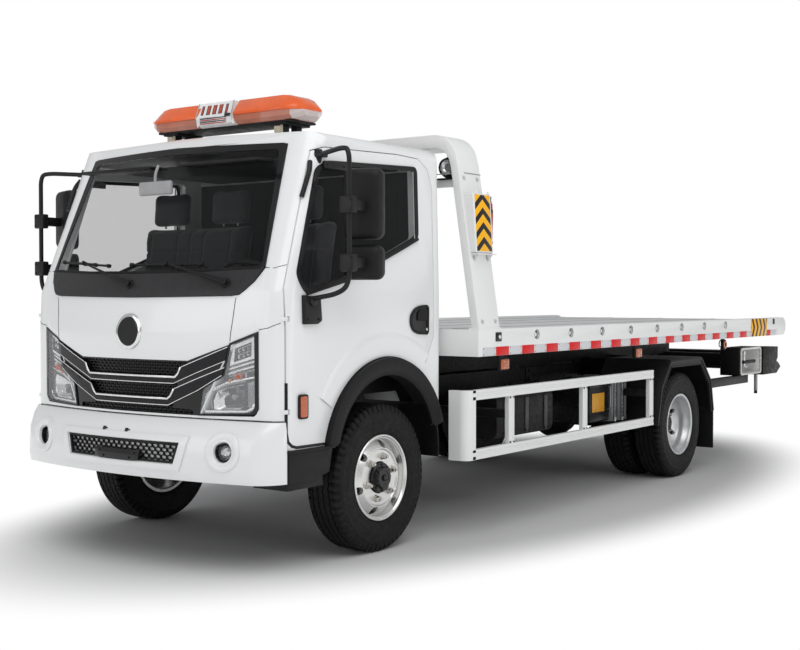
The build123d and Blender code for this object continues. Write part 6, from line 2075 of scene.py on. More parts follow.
class TOWTRUCK_OT_fenders(bpy.types.Operator, TowTruckPiece):
    """Rear fenders with their raised lips, mudflaps, front wheel arches and steps"""

    bl_idname = "towtruck.fenders"
    bl_label = "Fenders"

    def execute(self, context):
        refine("mudguards", "fender_shells", "fender_black", "chassis", 0.004, 30.0, 2)
        path = behind(FENDER)
        bm = bmesh.new()
        for inset, width, x, depth in ((0.026, 0.056, 1.122, 0.03), (0.01, 0.02, 1.128, 0.012),
                                       (0.046, 0.01, 1.126, 0.01)):
            line = self.inner(path, inset)
            strip_ = ribbon(line, width, 0.3, True)
            bmesh.ops.translate(strip_, vec=(x, 0, 0), verts=strip_.verts)
            thicken(strip_, (-depth, 0, 0))
            rounded(strip_, 0.004, 60.0)
            bm = joined(bm, strip_)
        piece(both_ways(bm), "fender_lips", "fender_black", "chassis")
        bm = bmesh.new()
        add_block(bm, (0.6, back(4085), FLAP_LOW), (1.12, back(4099), 0.5), 0.004)
        add_block(bm, (0.61, back(4078), 0.455), (1.11, back(4106), 0.48), 0.003)
        for x in (0.66, 0.78, 0.92, 1.06):
            add_rod(bm, (x, back(4108), 0.468), (x, back(4113), 0.468), 0.008, 6, None, 0.001)
        piece(both_ways(bm), "mudflaps", "rubber", "chassis")
        self.arches()
        self.skirts()
        refine("cab_steps", "step_wells", "moulded_black", "cab", 0.005, 30.0)
        self.treads()
        return {"FINISHED"}

    def inner(self, path, inset):
        middle = Vector((back(3560), 0.4))
        moved = []
        for before, at, after in zip(path[:1] + path[:-1], path, path[1:] + path[-1:]):
            run = (Vector(after) - Vector(before)).normalized()
            normal = Vector((run.y, -run.x))
            if normal.dot(middle - Vector(at)) < 0:
                normal = -normal
            moved.append(tuple(Vector(at) + normal * inset))
        return moved

    def arches(self):
        """The flare round the front wheel with its lip and the step in its section."""
        refine("wheel_arches", "arch_flares", "fender_black", "cab", 0.004, 30.0)
        centre = (back(30), 0.51)
        bm = bmesh.new()
        rows = []
        for y, z in arc_points(centre, 1.0, 14.0, 168.0, 70):
            out = Vector((y - centre[0], z - centre[1]))
            rows.append([(x, centre[0] + out.x * r, centre[1] + out.y * r) for r, x in
                         ((0.524, 0.95), (0.5225, 0.96), (0.513, 0.964), (0.456, 0.961), (0.438, 0.956),
                          (0.4305, 0.948), (0.43, 0.93), (0.442, 0.926), (0.51, 0.926), (0.524, 0.93))])
        add_loft(bm, rows)
        below = []
        for face in bm.faces:
            at = face.calc_center_median()
            if at.z < (LIP_REAR if at.y > back(200) else LIP_FRONT):
                below.append(face)
        bmesh.ops.delete(bm, geom=below, context="FACES")
        piece(both_ways(bm), "arch_lips", "fender_black", "cab", sharp=40.0)

    def skirts(self):
        """The closed side of the step box, with its ledge."""
        bm = bmesh.new()
        side = behind([(-762, 604), (-762, 448), (-600, 440), (-560, 452), (-452, 478), (-424, 604)])
        add_plate(bm, [(0.908, u, v) for u, v in side], (0.026, 0, 0), 0.006, 3)
        ledge = behind([(-768, 596), (-768, 612), (-412, 612), (-412, 596)])
        add_plate(bm, [(0.9, u, v) for u, v in ledge], (0.042, 0, 0), 0.004, 2)
        piece(both_ways(bm), "step_skirts", "moulded_black", "cab")

    def treads(self):
        bm = bmesh.new()
        for z, low, high in ((0.612, back(-690), back(-440)), (0.4725, back(-696), back(-454))):
            count = 9
            for i in range(count):
                y = low + (high - low) * (i + 0.5) / count
                add_block(bm, (0.775, y - 0.004, z - 0.003), (0.905, y + 0.004, z + 0.004), 0.001)
        piece(both_ways(bm), "step_treads", "strap_steel", "cab")


# ---------------------------------------------------------------- frame, axles and tail
CHASSIS_NODES = {
    "chassis": ("chassis_frame", "front_axle", "rear_axle", "leaf_springs", "engine_block",
                "propeller_shaft"),
    "knuckle_left": ("knuckle_left",),
    "knuckle_right": ("knuckle_right",),
    "tie_rod": ("tie_rod",),
    "tilt_frame": ("tilt_frame",),
    "boom": ("underlift_boom",),
    "stinger": ("underlift_stinger", "underlift_crossbar"),
    "lift_barrels": ("lift_barrels",),
}


class TOWTRUCK_OT_chassis(bpy.types.Operator, TowTruckPiece):
    """Frame, axles, springs and underlift with their clamps, bolts and hoses"""

    bl_idname = "towtruck.chassis"
    bl_label = "Chassis"

    def execute(self, context):
        for body, nodes in CHASSIS_NODES.items():
            for node in nodes:
                refine(node, node + "_steel", "chassis_black", body, 0.0025, 35.0, 2, 1.0)
        self.clamps()
        self.frame_bolts()
        self.tail()
        return {"FINISHED"}

    def clamps(self):
        """U-bolts and plates that hold each spring to its axle, and the dampers beside them."""
        bm = bmesh.new()
        for y, seat, top in ((FRONT_AXLE, 0.352, 0.47), (REAR_AXLE, 0.33, 0.585)):
            for x in (0.37, 0.454):
                for step in (-0.045, 0.045):
                    add_rod(bm, (x, y + step, seat - 0.03), (x, y + step, top), 0.009, 16, None, 0.002)
                    add_rod(bm, (x, y + step, seat - 0.026), (x, y + step, seat - 0.008), 0.016, 6, None,
                        0.002)
            for step in (-0.045, 0.045):
                add_rod(bm, (0.366, y + step, top), (0.458, y + step, top), 0.009, 16)
            add_block(bm, (0.352, y - 0.068, seat - 0.01), (0.472, y + 0.068, seat + 0.006), 0.003)
            add_block(bm, (0.38, y - 0.04, top - 0.012), (0.444, y + 0.04, top + 0.03), 0.006)
            add_rod(bm, (0.5, y + 0.11, seat + 0.04), (0.5, y + 0.2, seat + 0.25), 0.028, 28, None, 0.004)
            add_rod(bm, (0.5, y + 0.19, seat + 0.23), (0.5, y + 0.23, seat + 0.33), 0.014, 20, None, 0.002)
            add_rod(bm, (0.44, y + 0.112, seat + 0.05), (0.53, y + 0.112, seat + 0.05), 0.016, 20, None,
                0.003)
            add_rod(bm, (0.375, y + 0.232, seat + 0.335), (0.53, y + 0.232, seat + 0.335), 0.016, 20, None,
                0.003)
        piece(both_ways(bm), "spring_clamps", "chassis_black", "chassis")
        bm = bmesh.new()
        bolt_circle = [(0.12 * cos(radians(a)), 0.12 * sin(radians(a))) for a in
                       range(0, 360, 36)]
        for u, v in bolt_circle:
            add_rod(bm, (u, REAR_AXLE + 0.15, AXLE_HEIGHT + v), (u, REAR_AXLE + 0.172, AXLE_HEIGHT + v),
                0.009, 6, None, 0.001)
        add_turned_y(bm, [(0.0, 0.12), (0.138, 0.118), (0.138, 0.14), (0.12, 0.158), (0.06, 0.176),
            (0.0, 0.18)], (0, REAR_AXLE, AXLE_HEIGHT))
        piece(bm, "axle_cover", "chassis_black", "chassis")

    def frame_bolts(self):
        bm = bmesh.new()
        for distance in (900, 1480, 2200, 2600, 3090, 3900):
            for dy in (-0.03, 0.03):
                for z in (0.64, 0.74):
                    add_rod(bm, (0.374, back(distance) + dy, z), (0.384, back(distance) + dy, z), 0.01, 6,
                        None, 0.0015)
        for distance in (760, 1100, 2480, 3340, 4240):
            add_block(bm, (0.374, back(distance) - 0.04, 0.75), (0.382, back(distance) + 0.04, 0.846), 0.002)
            for z in (0.765, 0.83):
                add_rod(bm, (0.38, back(distance), z), (0.39, back(distance), z), 0.009, 6, None, 0.001)
        for z, radius in ((0.615, 0.01), (0.64, 0.008), (0.662, 0.008)):
            add_tube(bm, [(0.392, back(-200), z), (0.392, back(1900), z), (0.392, back(2900), z + 0.03),
                          (0.392, back(4200), z + 0.02)], radius, 0.1, 10)
        piece(both_ways(bm), "frame_fittings", "chassis_black", "chassis")

    def tail(self):
        """Lamp boxes with their pale insides, lamps, pins and stowed arms."""
        low, high = back(4690), back(5165)
        refine("lamp_boxes", "lamp_box_shells", "fender_black", "tilt_frame", 0.006, 30.0, 3)
        bm = bmesh.new()
        edge = softened([(low + 0.002, 0.703), (high - 0.002, 0.703), (high - 0.002, 0.928),
            (low + 0.002, 0.928)], 0.03)
        sheet = net(edge, softened(grown_edge([(low, 0.7), (high, 0.7), (high, 0.93), (low, 0.93)], -0.018),
            0.022), 0.1, True)
        bmesh.ops.translate(sheet, vec=(1.118, 0, 0), verts=sheet.verts)
        thicken(sheet, (-0.012, 0, 0))
        rounded(sheet, 0.003, 60.0)
        add_block(bm, (0.951, low + 0.0145, 0.7145), (0.954, high - 0.0145, 0.9155))
        for box in (((0.951, low + 0.0145, 0.7145), (1.106, high - 0.0145, 0.7165)),
                    ((0.951, low + 0.0145, 0.9135), (1.106, high - 0.0145, 0.9155)),
                    ((0.951, low + 0.0145, 0.7145), (1.106, low + 0.0165, 0.9155)),
                    ((0.951, high - 0.0165, 0.7145), (1.106, high - 0.0145, 0.9155))):
            add_block(bm, *box)
        piece(both_ways(bm), "box_linings", "box_grey", "tilt_frame")
        piece(both_ways(sheet), "box_frames", "frame_silver", "tilt_frame")
        bm = bmesh.new()
        add_block(bm, (1.06, back(4830), 0.792), (1.092, back(5100), 0.82), 0.004)
        piece(both_ways(bm), "box_bars", "fender_black", "tilt_frame")
        bm = bmesh.new()
        add_rod(bm, (1.085, back(4850), 0.77), (1.085, back(4850), 0.895), 0.007, 20, None, 0.002)
        for i in range(5):
            add_rod(bm, (1.085, back(4850), 0.868 + i * 0.006), (1.085, back(4850), 0.871 + i * 0.006), 0.01,
                20)
        add_tube(bm, [(1.085, back(4850), 0.772), (1.092, back(4870), 0.764), (1.092, back(4900), 0.768)],
            0.005, 0.01)
        piece(both_ways(bm), "box_pins", "chrome", "tilt_frame")
        bm = bmesh.new()
        lamp_back = back(5165)
        for x in (0.992, 1.058):
            add_block(bm, (x - 0.028, lamp_back - 0.006, 0.742), (x + 0.028, lamp_back + 0.006, 0.888), 0.006,
                3)
        piece(both_ways(bm), "tail_lenses", "red_lens", "tilt_frame", ("tail_lamps",))
        refine("stow_arms", "stow_arm_steel", "fender_black", "tilt_frame", 0.004, 30.0)
        bm = bmesh.new()
        x, y = 1.08, back(5135)
        add_rod(bm, (x, y, 0.552), (x, y, 0.696), 0.0152, 28, None, 0.002)
        piece(both_ways(bm), "drop_pin_sleeves", "strap_steel", "tilt_frame")


# ---------------------------------------------------------------- inside the cab and the winch
VOXEL = 0.008
CLOTH_FRAMES = 20
CLOTH_PRESSURE = 4.0
CUSHION_SWELL = 0.024
HEADREST_SWELL = 0.014


def pillow(bm, low, high, lean=(0.0, 0.0), width=0.035):
    """A rounded block between two corners whose top is moved in y by the lean."""
    add_block(bm, low, high, width, 4)
    for vert in bm.verts:
        share = (vert.co.z - low[2]) / (high[2] - low[2])
        vert.co.y += lean[0] + (lean[1] - lean[0]) * share


def swollen(bm, cap, voxel=VOXEL):
    """The block as a stuffed cover: remeshed, blown up by cloth, held within the cap and smoothed once."""
    mesh = bpy.data.meshes.new("stuffing")
    bm.to_mesh(mesh)
    bm.free()
    made = linked("stuffing", mesh)
    scene = bpy.context.scene
    remesh = made.modifiers.new("even", "REMESH")
    remesh.mode = "VOXEL"
    remesh.voxel_size = voxel
    graph = bpy.context.evaluated_depsgraph_get()
    even = bpy.data.meshes.new_from_object(made.evaluated_get(graph))
    made.modifiers.clear()
    made.data = even
    rest = [vert.co.copy() for vert in even.vertices]
    cloth = made.modifiers.new("cloth", "CLOTH")
    cloth.settings.use_pressure = True
    cloth.settings.uniform_pressure_force = CLOTH_PRESSURE
    cloth.settings.effector_weights.gravity = 0.0
    cloth.settings.quality = 4
    for step in range(1, CLOTH_FRAMES + 1):
        scene.frame_set(step)
    graph = bpy.context.evaluated_depsgraph_get()
    blown = made.evaluated_get(graph).to_mesh()
    for vert, was, now in zip(even.vertices, rest, blown.vertices):
        move = now.co - was
        vert.co = was + move * min(1.0, cap / max(move.length, 1e-6))
    made.evaluated_get(graph).to_mesh_clear()
    made.modifiers.clear()
    scene.frame_set(1)
    soft = made.modifiers.new("soft", "SUBSURF")
    soft.levels = soft.render_levels = 1
    graph = bpy.context.evaluated_depsgraph_get()
    smooth = bpy.data.meshes.new_from_object(made.evaluated_get(graph))
    out = bmesh.new()
    out.from_mesh(smooth)
    for data in (smooth, even, mesh):
        bpy.data.meshes.remove(data)
    return out


def sewn(bm, axis, at, facing, depth=0.006, reach=0.009):
    """Pull a channel into the faces that look the stated way."""
    bm.normal_update()
    for vert in bm.verts:
        if vert.normal.dot(facing) > 0.3:
            off = (vert.co[axis] - at) / reach
            vert.co -= facing * depth * exp(-off * off)


class TOWTRUCK_OT_seats(bpy.types.Operator, TowTruckPiece):
    """Driver's seat and bench, blown up as padded covers with sewn channels"""

    bl_idname = "towtruck.seats"
    bl_label = "Seats"

    def execute(self, context):
        stands_for = ("seats",)
        up, forward = Vector((0, 0, 1)), Vector((0, -1, 0.12)).normalized()
        for name, left, right, channels in (("driver", 0.215, 0.685, (0.315, 0.585)),
                                            ("bench", -0.765, 0.075, (-0.67, -0.45, -0.345, -0.24, -0.03))):
            bm = bmesh.new()
            pillow(bm, (left, back(-565), 1.095), (right, back(-215), 1.205), (0.0, 0.0), 0.04)
            bm = swollen(bm, CUSHION_SWELL)
            for at in channels:
                sewn(bm, 0, at, up)
            sewn(bm, 1, back(-470), up)
            made = piece(bm, "seat_cushion_" + name, "seat_cloth", "cab", stands_for, 180.0)
            stands_for = ()
            bm = bmesh.new()
            pillow(bm, (left, back(-205), 1.235), (right, back(-120), 1.775), (0.0, 0.085), 0.035)
            bm = swollen(bm, CUSHION_SWELL)
            for at in channels:
                sewn(bm, 0, at, forward)
            for z in (1.4, 1.62):
                sewn(bm, 2, z, forward)
            made = piece(bm, "seat_back_" + name, "seat_cloth", "cab", sharp=180.0)
        rods = bmesh.new()
        for name, x in (("driver", 0.45), ("middle", -0.085), ("outer", -0.56)):
            bm = bmesh.new()
            pillow(bm, (x - 0.135, back(-132), 1.772), (x + 0.135, back(-58), 1.962), (0.0, 0.014), 0.034)
            made = piece(swollen(bm, HEADREST_SWELL), "headrest_" + name, "seat_cloth", "cab", sharp=180.0)
            for step in (-0.055, 0.055):
                add_rod(rods, (x + step, back(-92), 1.76), (x + step, back(-92), 1.83), 0.006, 20)
        for left, right in ((0.19, 0.71), (-0.79, 0.1)):
            add_block(rods, (left, back(-575), 1.07), (right, back(-180), 1.098), 0.006)
        piece(rods, "seat_frames", "strap_steel", "cab")
        return {"FINISHED"}


class TOWTRUCK_OT_dashboard(bpy.types.Operator, TowTruckPiece):
    """Dashboard with its hood and vents, steering wheel, sun visors and rear-view mirror"""

    bl_idname = "towtruck.dashboard"
    bl_label = "Dashboard"

    def execute(self, context):
        refine("dashboard", "dash_panel", "dash_grey", "cab", 0.012, 30.0, 3)
        refine("steering_wheel", "wheel_rim_inside", "moulded_black", "cab", 0.003, 30.0, 2)
        bm = bmesh.new()
        hood = behind([(-640, 1385), (-560, 1420), (-500, 1395), (-505, 1365), (-640, 1365)])
        add_plate(bm, [(0.23, u, v) for u, v in hood], (0.44, 0, 0), 0.012, 3)
        for x in (-0.6, -0.12, 0.12, 0.68):
            add_block(bm, (x - 0.06, back(-535), 1.285), (x + 0.06, back(-508), 1.335), 0.006)
            for i in range(4):
                z = 1.292 + i * 0.011
                add_block(bm, (x - 0.052, back(-509), z), (x + 0.052, back(-503), z + 0.004), 0.001)
        add_block(bm, (-0.13, back(-560), 1.1), (0.13, back(-500), 1.275), 0.012)
        for way in (1, -1):
            add_block(bm, (min(way * 0.1, way * 0.66), back(-690), 2.035),
                (max(way * 0.1, way * 0.66), back(-560), 2.053), 0.008, 3)
        # Rear wall and roof lining of the cab, near black: its own dark trim, and painted shade of the cab's
        # inside seen through the windows
        lining = bmesh.new()
        add_block(lining, (-0.86, back(448), 1.09), (0.86, back(456), 2.06), 0.003)
        add_block(lining, (-0.7, back(-430), 2.068), (0.7, back(450), 2.076), 0.003)
        for x in (-0.5, 0.0, 0.5):
            add_block(lining, (x - 0.2, back(442), 1.25), (x + 0.2, back(450), 1.95), 0.004)
        piece(lining, "cab_lining", "lining_grey", "cab")
        piece(bm, "dash_fittings", "moulded_black", "cab")
        bm = bmesh.new()
        x, y, z = 0.0, back(-745), 1.925
        add_block(bm, (x - 0.12, y - 0.012, z - 0.036), (x + 0.12, y + 0.014, z + 0.036), 0.011, 4)
        add_tube(bm, [(x, y, z + 0.02), (x, y - 0.004, z + 0.07), (x, y + 0.02, z + 0.12)], 0.008, 0.02)
        piece(bm, "rear_view_mirror", "mirror_grey", "cab")
        return {"FINISHED"}


ROPE_LEFT = -0.192
ROPE_PITCH = 0.012
ROPE_TURNS = 32


class TOWTRUCK_OT_winch(bpy.types.Operator, TowTruckPiece):
    """Winch with its wound wire rope, motor, gearbox and clutch lever"""

    bl_idname = "towtruck.winch"
    bl_label = "Winch"

    def execute(self, context):
        y, z = back(1016), 1.282
        refine("winch_drum", "winch_spool", "drum_steel", "winch_drum", 0.002, 30.0)
        refine("winch_frame", "winch_cradle", "powder_white", "bed", 0.003)
        bm = bmesh.new()
        profile = [(ROPE_LEFT, 0.058)]
        for i in range(ROPE_TURNS):
            start = ROPE_LEFT + ROPE_PITCH * i
            profile += [(start + 0.0015, 0.0705), (start + 0.004, 0.0735), (start + 0.008, 0.0735),
                        (start + 0.0105, 0.0705)]
        profile.append((ROPE_LEFT + ROPE_PITCH * ROPE_TURNS, 0.058))
        add_spun(bm, profile, (0, y, z), 48)
        piece(bm, "winch_rope", "rope_wire", "winch_drum")
        bm = bmesh.new()
        add_spun(bm, [(0.236, 0.0), (0.236, 0.07), (0.3, 0.07), (0.306, 0.064), (0.306, 0.052), (0.42, 0.052),
                      (0.428, 0.044), (0.428, 0.0)], (0, y, z), 48)
        add_spun(bm, [(-0.37, 0.0), (-0.37, 0.06), (-0.362, 0.072), (-0.262, 0.078), (-0.256, 0.07),
            (-0.256, 0.0)], (0, y, z), 48)
        for angle in range(0, 360, 60):
            u, v = 0.062 * cos(radians(angle)), 0.062 * sin(radians(angle))
            add_rod(bm, (-0.368, y + u, z + v), (-0.378, y + u, z + v), 0.006, 6)
        add_tube(bm, [(-0.32, y, z + 0.07), (-0.32, y + 0.01, z + 0.12), (-0.34, y + 0.03, z + 0.16)], 0.007,
            0.02)
        piece(bm, "winch_motor", "chassis_black", "bed")
        return {"FINISHED"}


# ---------------------------------------------------------------- what each finish is made of
# Its usual slot, what makes it, and its values. A value in quotes is one that the user may change.
LOOKS = {"white_paint": ("white_paint", white_paint), "powder_white": ("white_paint", powder_white),
    "moulded_black": ("black_plastic", moulded_black), "gloss_black": ("gloss_black", gloss_black),
    "hub_black": ("gloss_black", gloss_black), "chassis_black": ("black_frame", chassis_black),
    "rubber": ("black_plastic", rubber), "deck_plate": ("white_paint", deck_plate),
    "window_glass": ("", window_glass), "lamp_cover": ("lamp", clear_lens, (0.8, 0.82, 0.84), 0.13),
    "label_yellow": ("amber_lens", blank_label), "bar_amber": ("amber_lens", bar_lens, "amber", 0.86),
    "bar_band": ("amber_lens", bar_lens, (0.66, 0.22, 0.13), 0.66),
    "bar_clear": ("lamp", bar_lens, (0.86, 0.8, 0.78), 0.55), "chrome": ("bright_steel", bright_metal,
    (0.8, 0.8, 0.8), 0.08), "mirror_glass": ("bright_steel", bright_metal, (0.8, 0.82, 0.84), 0.02),
    "nut_metal": ("bright_steel", bright_metal, (0.62, 0.6, 0.56), 0.28),
    "strap_bright": ("bright_steel", bright_metal, (0.7, 0.71, 0.72), 0.22),
    "box_chevrons": ("amber_lens", chevrons, 1, 2, BED_FRONT + 0.127, 0.083, 0.78),
    "rail_chevrons": ("amber_lens", chevrons, 2, 1, (RAIL_LOW + RAIL_TOP) / 2, 0.085, 0.55),
    "arm_black": ("black_plastic", flat_tone, (0.014, 0.014, 0.015), 0.3),
    "bar_red": ("red_lens", flat_tone, (0.5, 0.06, 0.03), 0.2), "box_grey": ("grey_tank", flat_tone,
    (0.74, 0.74, 0.73), 0.42), "clamp_cream": ("cast_iron", flat_tone, (0.55, 0.5, 0.38), 0.4),
    "cowl_grey": ("black_plastic", flat_tone, (0.03, 0.03, 0.032), 0.38),
    "dash_grey": ("black_plastic", flat_tone, (0.03, 0.03, 0.031), 0.55),
    "deck_steel": ("bright_steel", flat_tone, (0.42, 0.45, 0.5), 0.32, 0.7),
    "drum_steel": ("bright_steel", flat_tone, (0.25, 0.25, 0.26), 0.4, 0.8),
    "fender_black": ("black_frame", flat_tone, (0.006, 0.006, 0.0065), 0.42),
    "frame_silver": ("bright_steel", flat_tone, (0.62, 0.62, 0.61), 0.25, 0.5),
    "gloss_case": ("black_plastic", flat_tone, (0.01, 0.01, 0.011), 0.24),
    "label_edge": ("black_plastic", flat_tone, (0.012, 0.014, 0.03), 0.4),
    "lamp_grey": ("silver_rim", flat_tone, (0.22, 0.22, 0.23), 0.22, 0.8),
    # Near black: the lining's own dark trim and painted shade of the cab's inside
    "lining_grey": ("fabric", flat_tone, (0.045, 0.045, 0.047), 0.85, 0.0, 400.0, 0.2),
    "mesh_black": ("gloss_black", flat_tone, (0.014, 0.014, 0.015), 0.35),
    "mirror_grey": ("black_plastic", flat_tone, (0.34, 0.34, 0.35), 0.4),
    "module_white": ("white_paint", flat_tone, (0.84, 0.84, 0.84), 0.25),
    "painted_bolts": ("white_paint", flat_tone, (0.6, 0.6, 0.6), 0.35, 0.2),
    "red_enamel": ("red_lens", flat_tone, (0.55, 0.008, 0.01), 0.2),
    "rivet_grey": ("bright_steel", flat_tone, (0.1, 0.1, 0.11), 0.4, 0.7),
    "rope_wire": ("steel_rod", flat_tone, (0.3, 0.3, 0.3), 0.45, 0.7),
    "seal_black": ("black_plastic", flat_tone, (0.012, 0.012, 0.013), 0.34),
    "seam_dark": ("black_plastic", flat_tone, (0.045, 0.045, 0.048), 0.6),
    "seam_grey": ("black_plastic", flat_tone, (0.3, 0.3, 0.31), 0.6),
    "strap_steel": ("bright_steel", flat_tone, (0.3, 0.3, 0.31), 0.35, 0.8),
    "strip_white": ("lamp", flat_tone, (0.85, 0.86, 0.88), 0.3), "tank_grey": ("grey_tank", flat_tone,
    (0.16, 0.165, 0.17), 0.3, 0.5), "wing_satin": ("gloss_black", flat_tone, (0.018, 0.018, 0.02), 0.2, 0.25,
    500.0, 0.03), "amber_lens": ("", lens, "amber", 60.0), "bulb_amber": ("amber_lens", lens,
    (0.75, 0.1, 0.01), 60.0), "marker_amber": ("amber_lens", lens, (0.72, 0.12, 0.012), 200.0),
    "red_lens": ("red_lens", lens, (0.6, 0.01, 0.01), 90.0), "side_amber": ("amber_lens", lens,
    (0.62, 0.13, 0.012), 260.0), "tape_red": ("red_lens", tape, "tape_red"),
    "tape_white": ("white_paint", tape, "tape_white"), "polished_wheel": ("bright_steel", turned_metal,
    (0.78, 0.78, 0.77), 0.24, 0.85, (FRONT_AXLE, AXLE_HEIGHT)), "silver_wheel": ("silver_rim", turned_metal,
    (0.62, 0.63, 0.64), 0.3, 0.75, (REAR_AXLE, AXLE_HEIGHT)), "seat_cloth": ("fabric", woven,
    (0.06, 0.06, 0.065)),}


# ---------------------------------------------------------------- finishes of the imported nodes
COATS = {"white_paint": ("cab_shell", "door_left", "door_right", "front_bumper"),
    "powder_white": ("bed", "gantry", "warning_panels", "side_guards", "winch_frame"),
    "moulded_black": ("wheel_arches", "cab_steps", "mudguards", "mirror_left", "mirror_right", "dashboard",
    "steering_wheel", "battery_box", "cab_floor", "door_fittings_left", "door_fittings_right"),
    "chassis_black": ("chassis_frame", "knuckle_left", "knuckle_right", "tie_rod", "front_axle", "rear_axle",
    "leaf_springs", "engine_block", "propeller_shaft", "tilt_frame", "underlift_boom", "underlift_stinger",
    "underlift_crossbar", "lamp_boxes", "oil_tank", "fuel_tank", "air_tank", "lift_barrels", "stow_arms"),
    "gloss_black": ("grille",), "window_glass": ("cab_glass", "door_glass_left", "door_glass_right"),
    "chrome": ("headlamps", "fog_lamps", "lift_rods"), "amber_lens": ("light_bar",),
    "red_lens": ("tail_lamps",), "seat_cloth": ("seats",), "drum_steel": ("winch_drum",),}


class TOWTRUCK_OT_coats(bpy.types.Operator, TowTruckPiece):
    """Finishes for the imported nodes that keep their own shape"""

    bl_idname = "towtruck.coats"
    bl_label = "Finishes"

    def execute(self, context):
        for finish, nodes in COATS.items():
            for node in nodes:
                coat(node, finish)
        return {"FINISHED"}


# ---------------------------------------------------------------- stage
CAMERA_PLACE = (4.88856, -7.6256, 1.3609)
CAMERA_LENS = 56.13
CAMERA_DIP = 1.335
CAMERA_TURN = 35.994
WORLD_TONE = (0.36, 0.365, 0.375, 1.0)
WORLD_LEVELS = (("Is Glossy Ray", 0.55), ("Is Transmission Ray", 1.0), ("Is Camera Ray", 1.0))
# Grey of the floor round the truck: a painted shadow that fades into the floor's white glow further out
FLOOR_PAINTED_SHADOW_GREY = 0.62
# x, y and z of each lamp, what it aims at, its size and its power in watts
LAMPS = {
    "key": ((3.5, -4.5, 7.5), (0, -0.5, 0.6), (7.0, 7.0), 300.0),
    "side": ((8.5, 0.5, 3.2), (0.5, 0.0, 1.0), (3.0, 8.0), 100.0),
    "front": ((-2.0, -9.5, 3.0), (0, -2.5, 1.2), (6.0, 3.0), 66.0),
}


def camera():
    lens_data = bpy.data.cameras.new("camera")
    lens_data.lens = CAMERA_LENS
    lens_data.sensor_width = 36.0
    lens_data.clip_end = 200.0
    made = linked("camera", lens_data)
    made.location = CAMERA_PLACE
    made.rotation_euler = (radians(90 - CAMERA_DIP), 0.0, radians(CAMERA_TURN))
    bpy.context.scene.camera = made


def soft_light(name, place, aim, size, power):
    data = bpy.data.lights.new(name, "AREA")
    data.shape = "RECTANGLE"
    data.size, data.size_y = size
    data.energy = power
    made = linked(name, data)
    made.location = place
    made.rotation_euler = (Vector(aim) - Vector(place)).to_track_quat("-Z", "Y").to_euler()


def pale_world():
    """A world that lights softly, shows duller in reflections and is white behind the truck."""
    world = bpy.data.worlds.new("studio")
    bpy.context.scene.world = world
    world.use_nodes = True
    tree = world.node_tree
    tree.nodes.clear()
    path = tree.nodes.new("ShaderNodeLightPath")
    out = tree.nodes.new("ShaderNodeOutputWorld")
    back = tree.nodes.new("ShaderNodeBackground")
    tone = WORLD_TONE
    for name, level in WORLD_LEVELS:
        seen = tree.nodes.new("ShaderNodeMixRGB")
        if isinstance(tone, tuple):
            seen.inputs[1].default_value = tone
        else:
            tree.links.new(tone, seen.inputs[1])
        seen.inputs[2].default_value = (level, level, level, 1.0)
        tree.links.new(path.outputs[name], seen.inputs[0])
        tone = seen.outputs[0]
    tree.links.new(tone, back.inputs[0])
    tree.links.new(back.outputs[0], out.inputs[0])


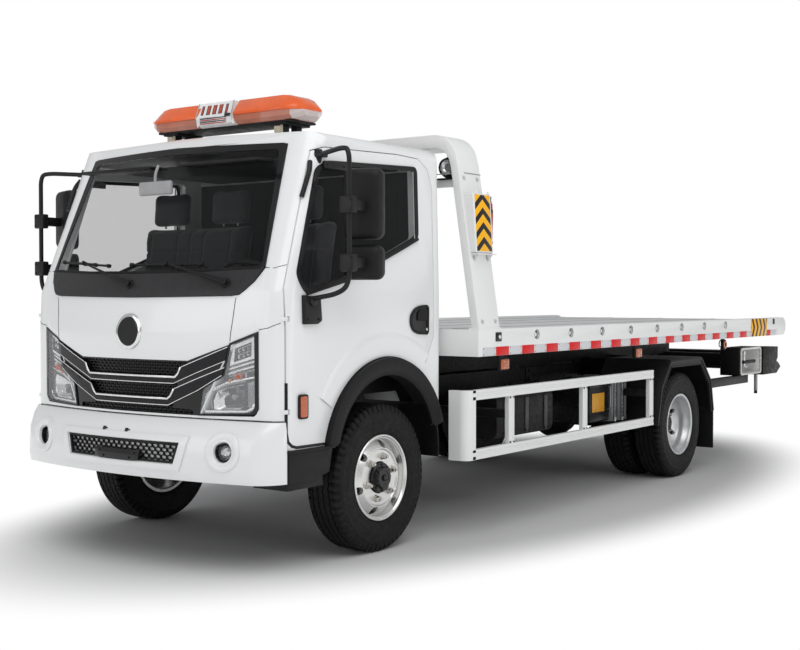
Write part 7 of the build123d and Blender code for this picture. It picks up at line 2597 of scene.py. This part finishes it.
class TOWTRUCK_OT_stage(bpy.types.Operator, TowTruckPiece):
    """A floor painted grey round the truck as a shadow and glowing white beyond it, soft studio light and the
    camera
    """

    bl_idname = "towtruck.stage"
    bl_label = "Stage"

    def execute(self, context):
        bm = bmesh.new()
        bmesh.ops.create_grid(bm, x_segments=1, y_segments=1, size=60.0)
        mesh = bpy.data.meshes.new("floor")
        bm.to_mesh(mesh)
        bm.free()
        ground = linked("floor", mesh)
        n = Nodes("pale_floor")
        x, y, _ = n.axes()
        # Inside this ellipse the floor is grey as a painted shadow; beyond it the floor glows white
        past_painted_shadow = ((x * x) / 3.0 + (y * y) / 13.6).ramp(0.72, 1.5)
        n.finish((FLOOR_PAINTED_SHADOW_GREY, FLOOR_PAINTED_SHADOW_GREY, FLOOR_PAINTED_SHADOW_GREY), 0.85)
        glow = n.tree.nodes.new("ShaderNodeEmission")
        blend = n.tree.nodes.new("ShaderNodeMixShader")
        out = n.tree.nodes["Material Output"]
        n.tree.links.new(past_painted_shadow.socket, blend.inputs[0])
        n.tree.links.new(n.shader.outputs[0], blend.inputs[1])
        n.tree.links.new(glow.outputs[0], blend.inputs[2])
        n.tree.links.new(blend.outputs[0], out.inputs[0])
        mesh.materials.append(n.material)
        pale_world()
        for name, values in LAMPS.items():
            soft_light(name, *values)
        camera()
        context.scene.view_settings.view_transform = "Standard"
        return {"FINISHED"}


class TOWTRUCK_PT_panel(bpy.types.Panel):
    """Lists the truck's pieces and its colours"""

    bl_label = "Tow truck"
    bl_idname = "TOWTRUCK_PT_panel"
    bl_space_type = "VIEW_3D"
    bl_region_type = "UI"
    bl_category = "Tow truck"

    def draw(self, context):
        for name in TowTruckLook.__annotations__:
            self.layout.prop(look(), name)
        for operator in PIECES:
            self.layout.operator(operator.bl_idname)


PIECES = [TOWTRUCK_OT_coats, TOWTRUCK_OT_tyres, TOWTRUCK_OT_rims, TOWTRUCK_OT_grille, TOWTRUCK_OT_headlamps,
    TOWTRUCK_OT_windscreen, TOWTRUCK_OT_bumper, TOWTRUCK_OT_bed, TOWTRUCK_OT_gantry, TOWTRUCK_OT_light_bar,
    TOWTRUCK_OT_doors, TOWTRUCK_OT_mirrors, TOWTRUCK_OT_guards, TOWTRUCK_OT_tanks, TOWTRUCK_OT_fenders,
    TOWTRUCK_OT_chassis, TOWTRUCK_OT_seats, TOWTRUCK_OT_dashboard, TOWTRUCK_OT_winch, TOWTRUCK_OT_stage]


def register():
    for kind in (TowTruckLook, *PIECES, TOWTRUCK_PT_panel):
        bpy.utils.register_class(kind)
    bpy.types.Scene.tow_truck = bpy.props.PointerProperty(type=TowTruckLook)


def unregister():
    del bpy.types.Scene.tow_truck
    for kind in (TOWTRUCK_PT_panel, *reversed(PIECES), TowTruckLook):
        bpy.utils.unregister_class(kind)


def main():
    register()
    for operator in PIECES:
        group, name = operator.bl_idname.split(".")
        getattr(getattr(bpy.ops, group), name)()
    bpy.context.view_layer.update()


if __name__ == "__main__":
    main()
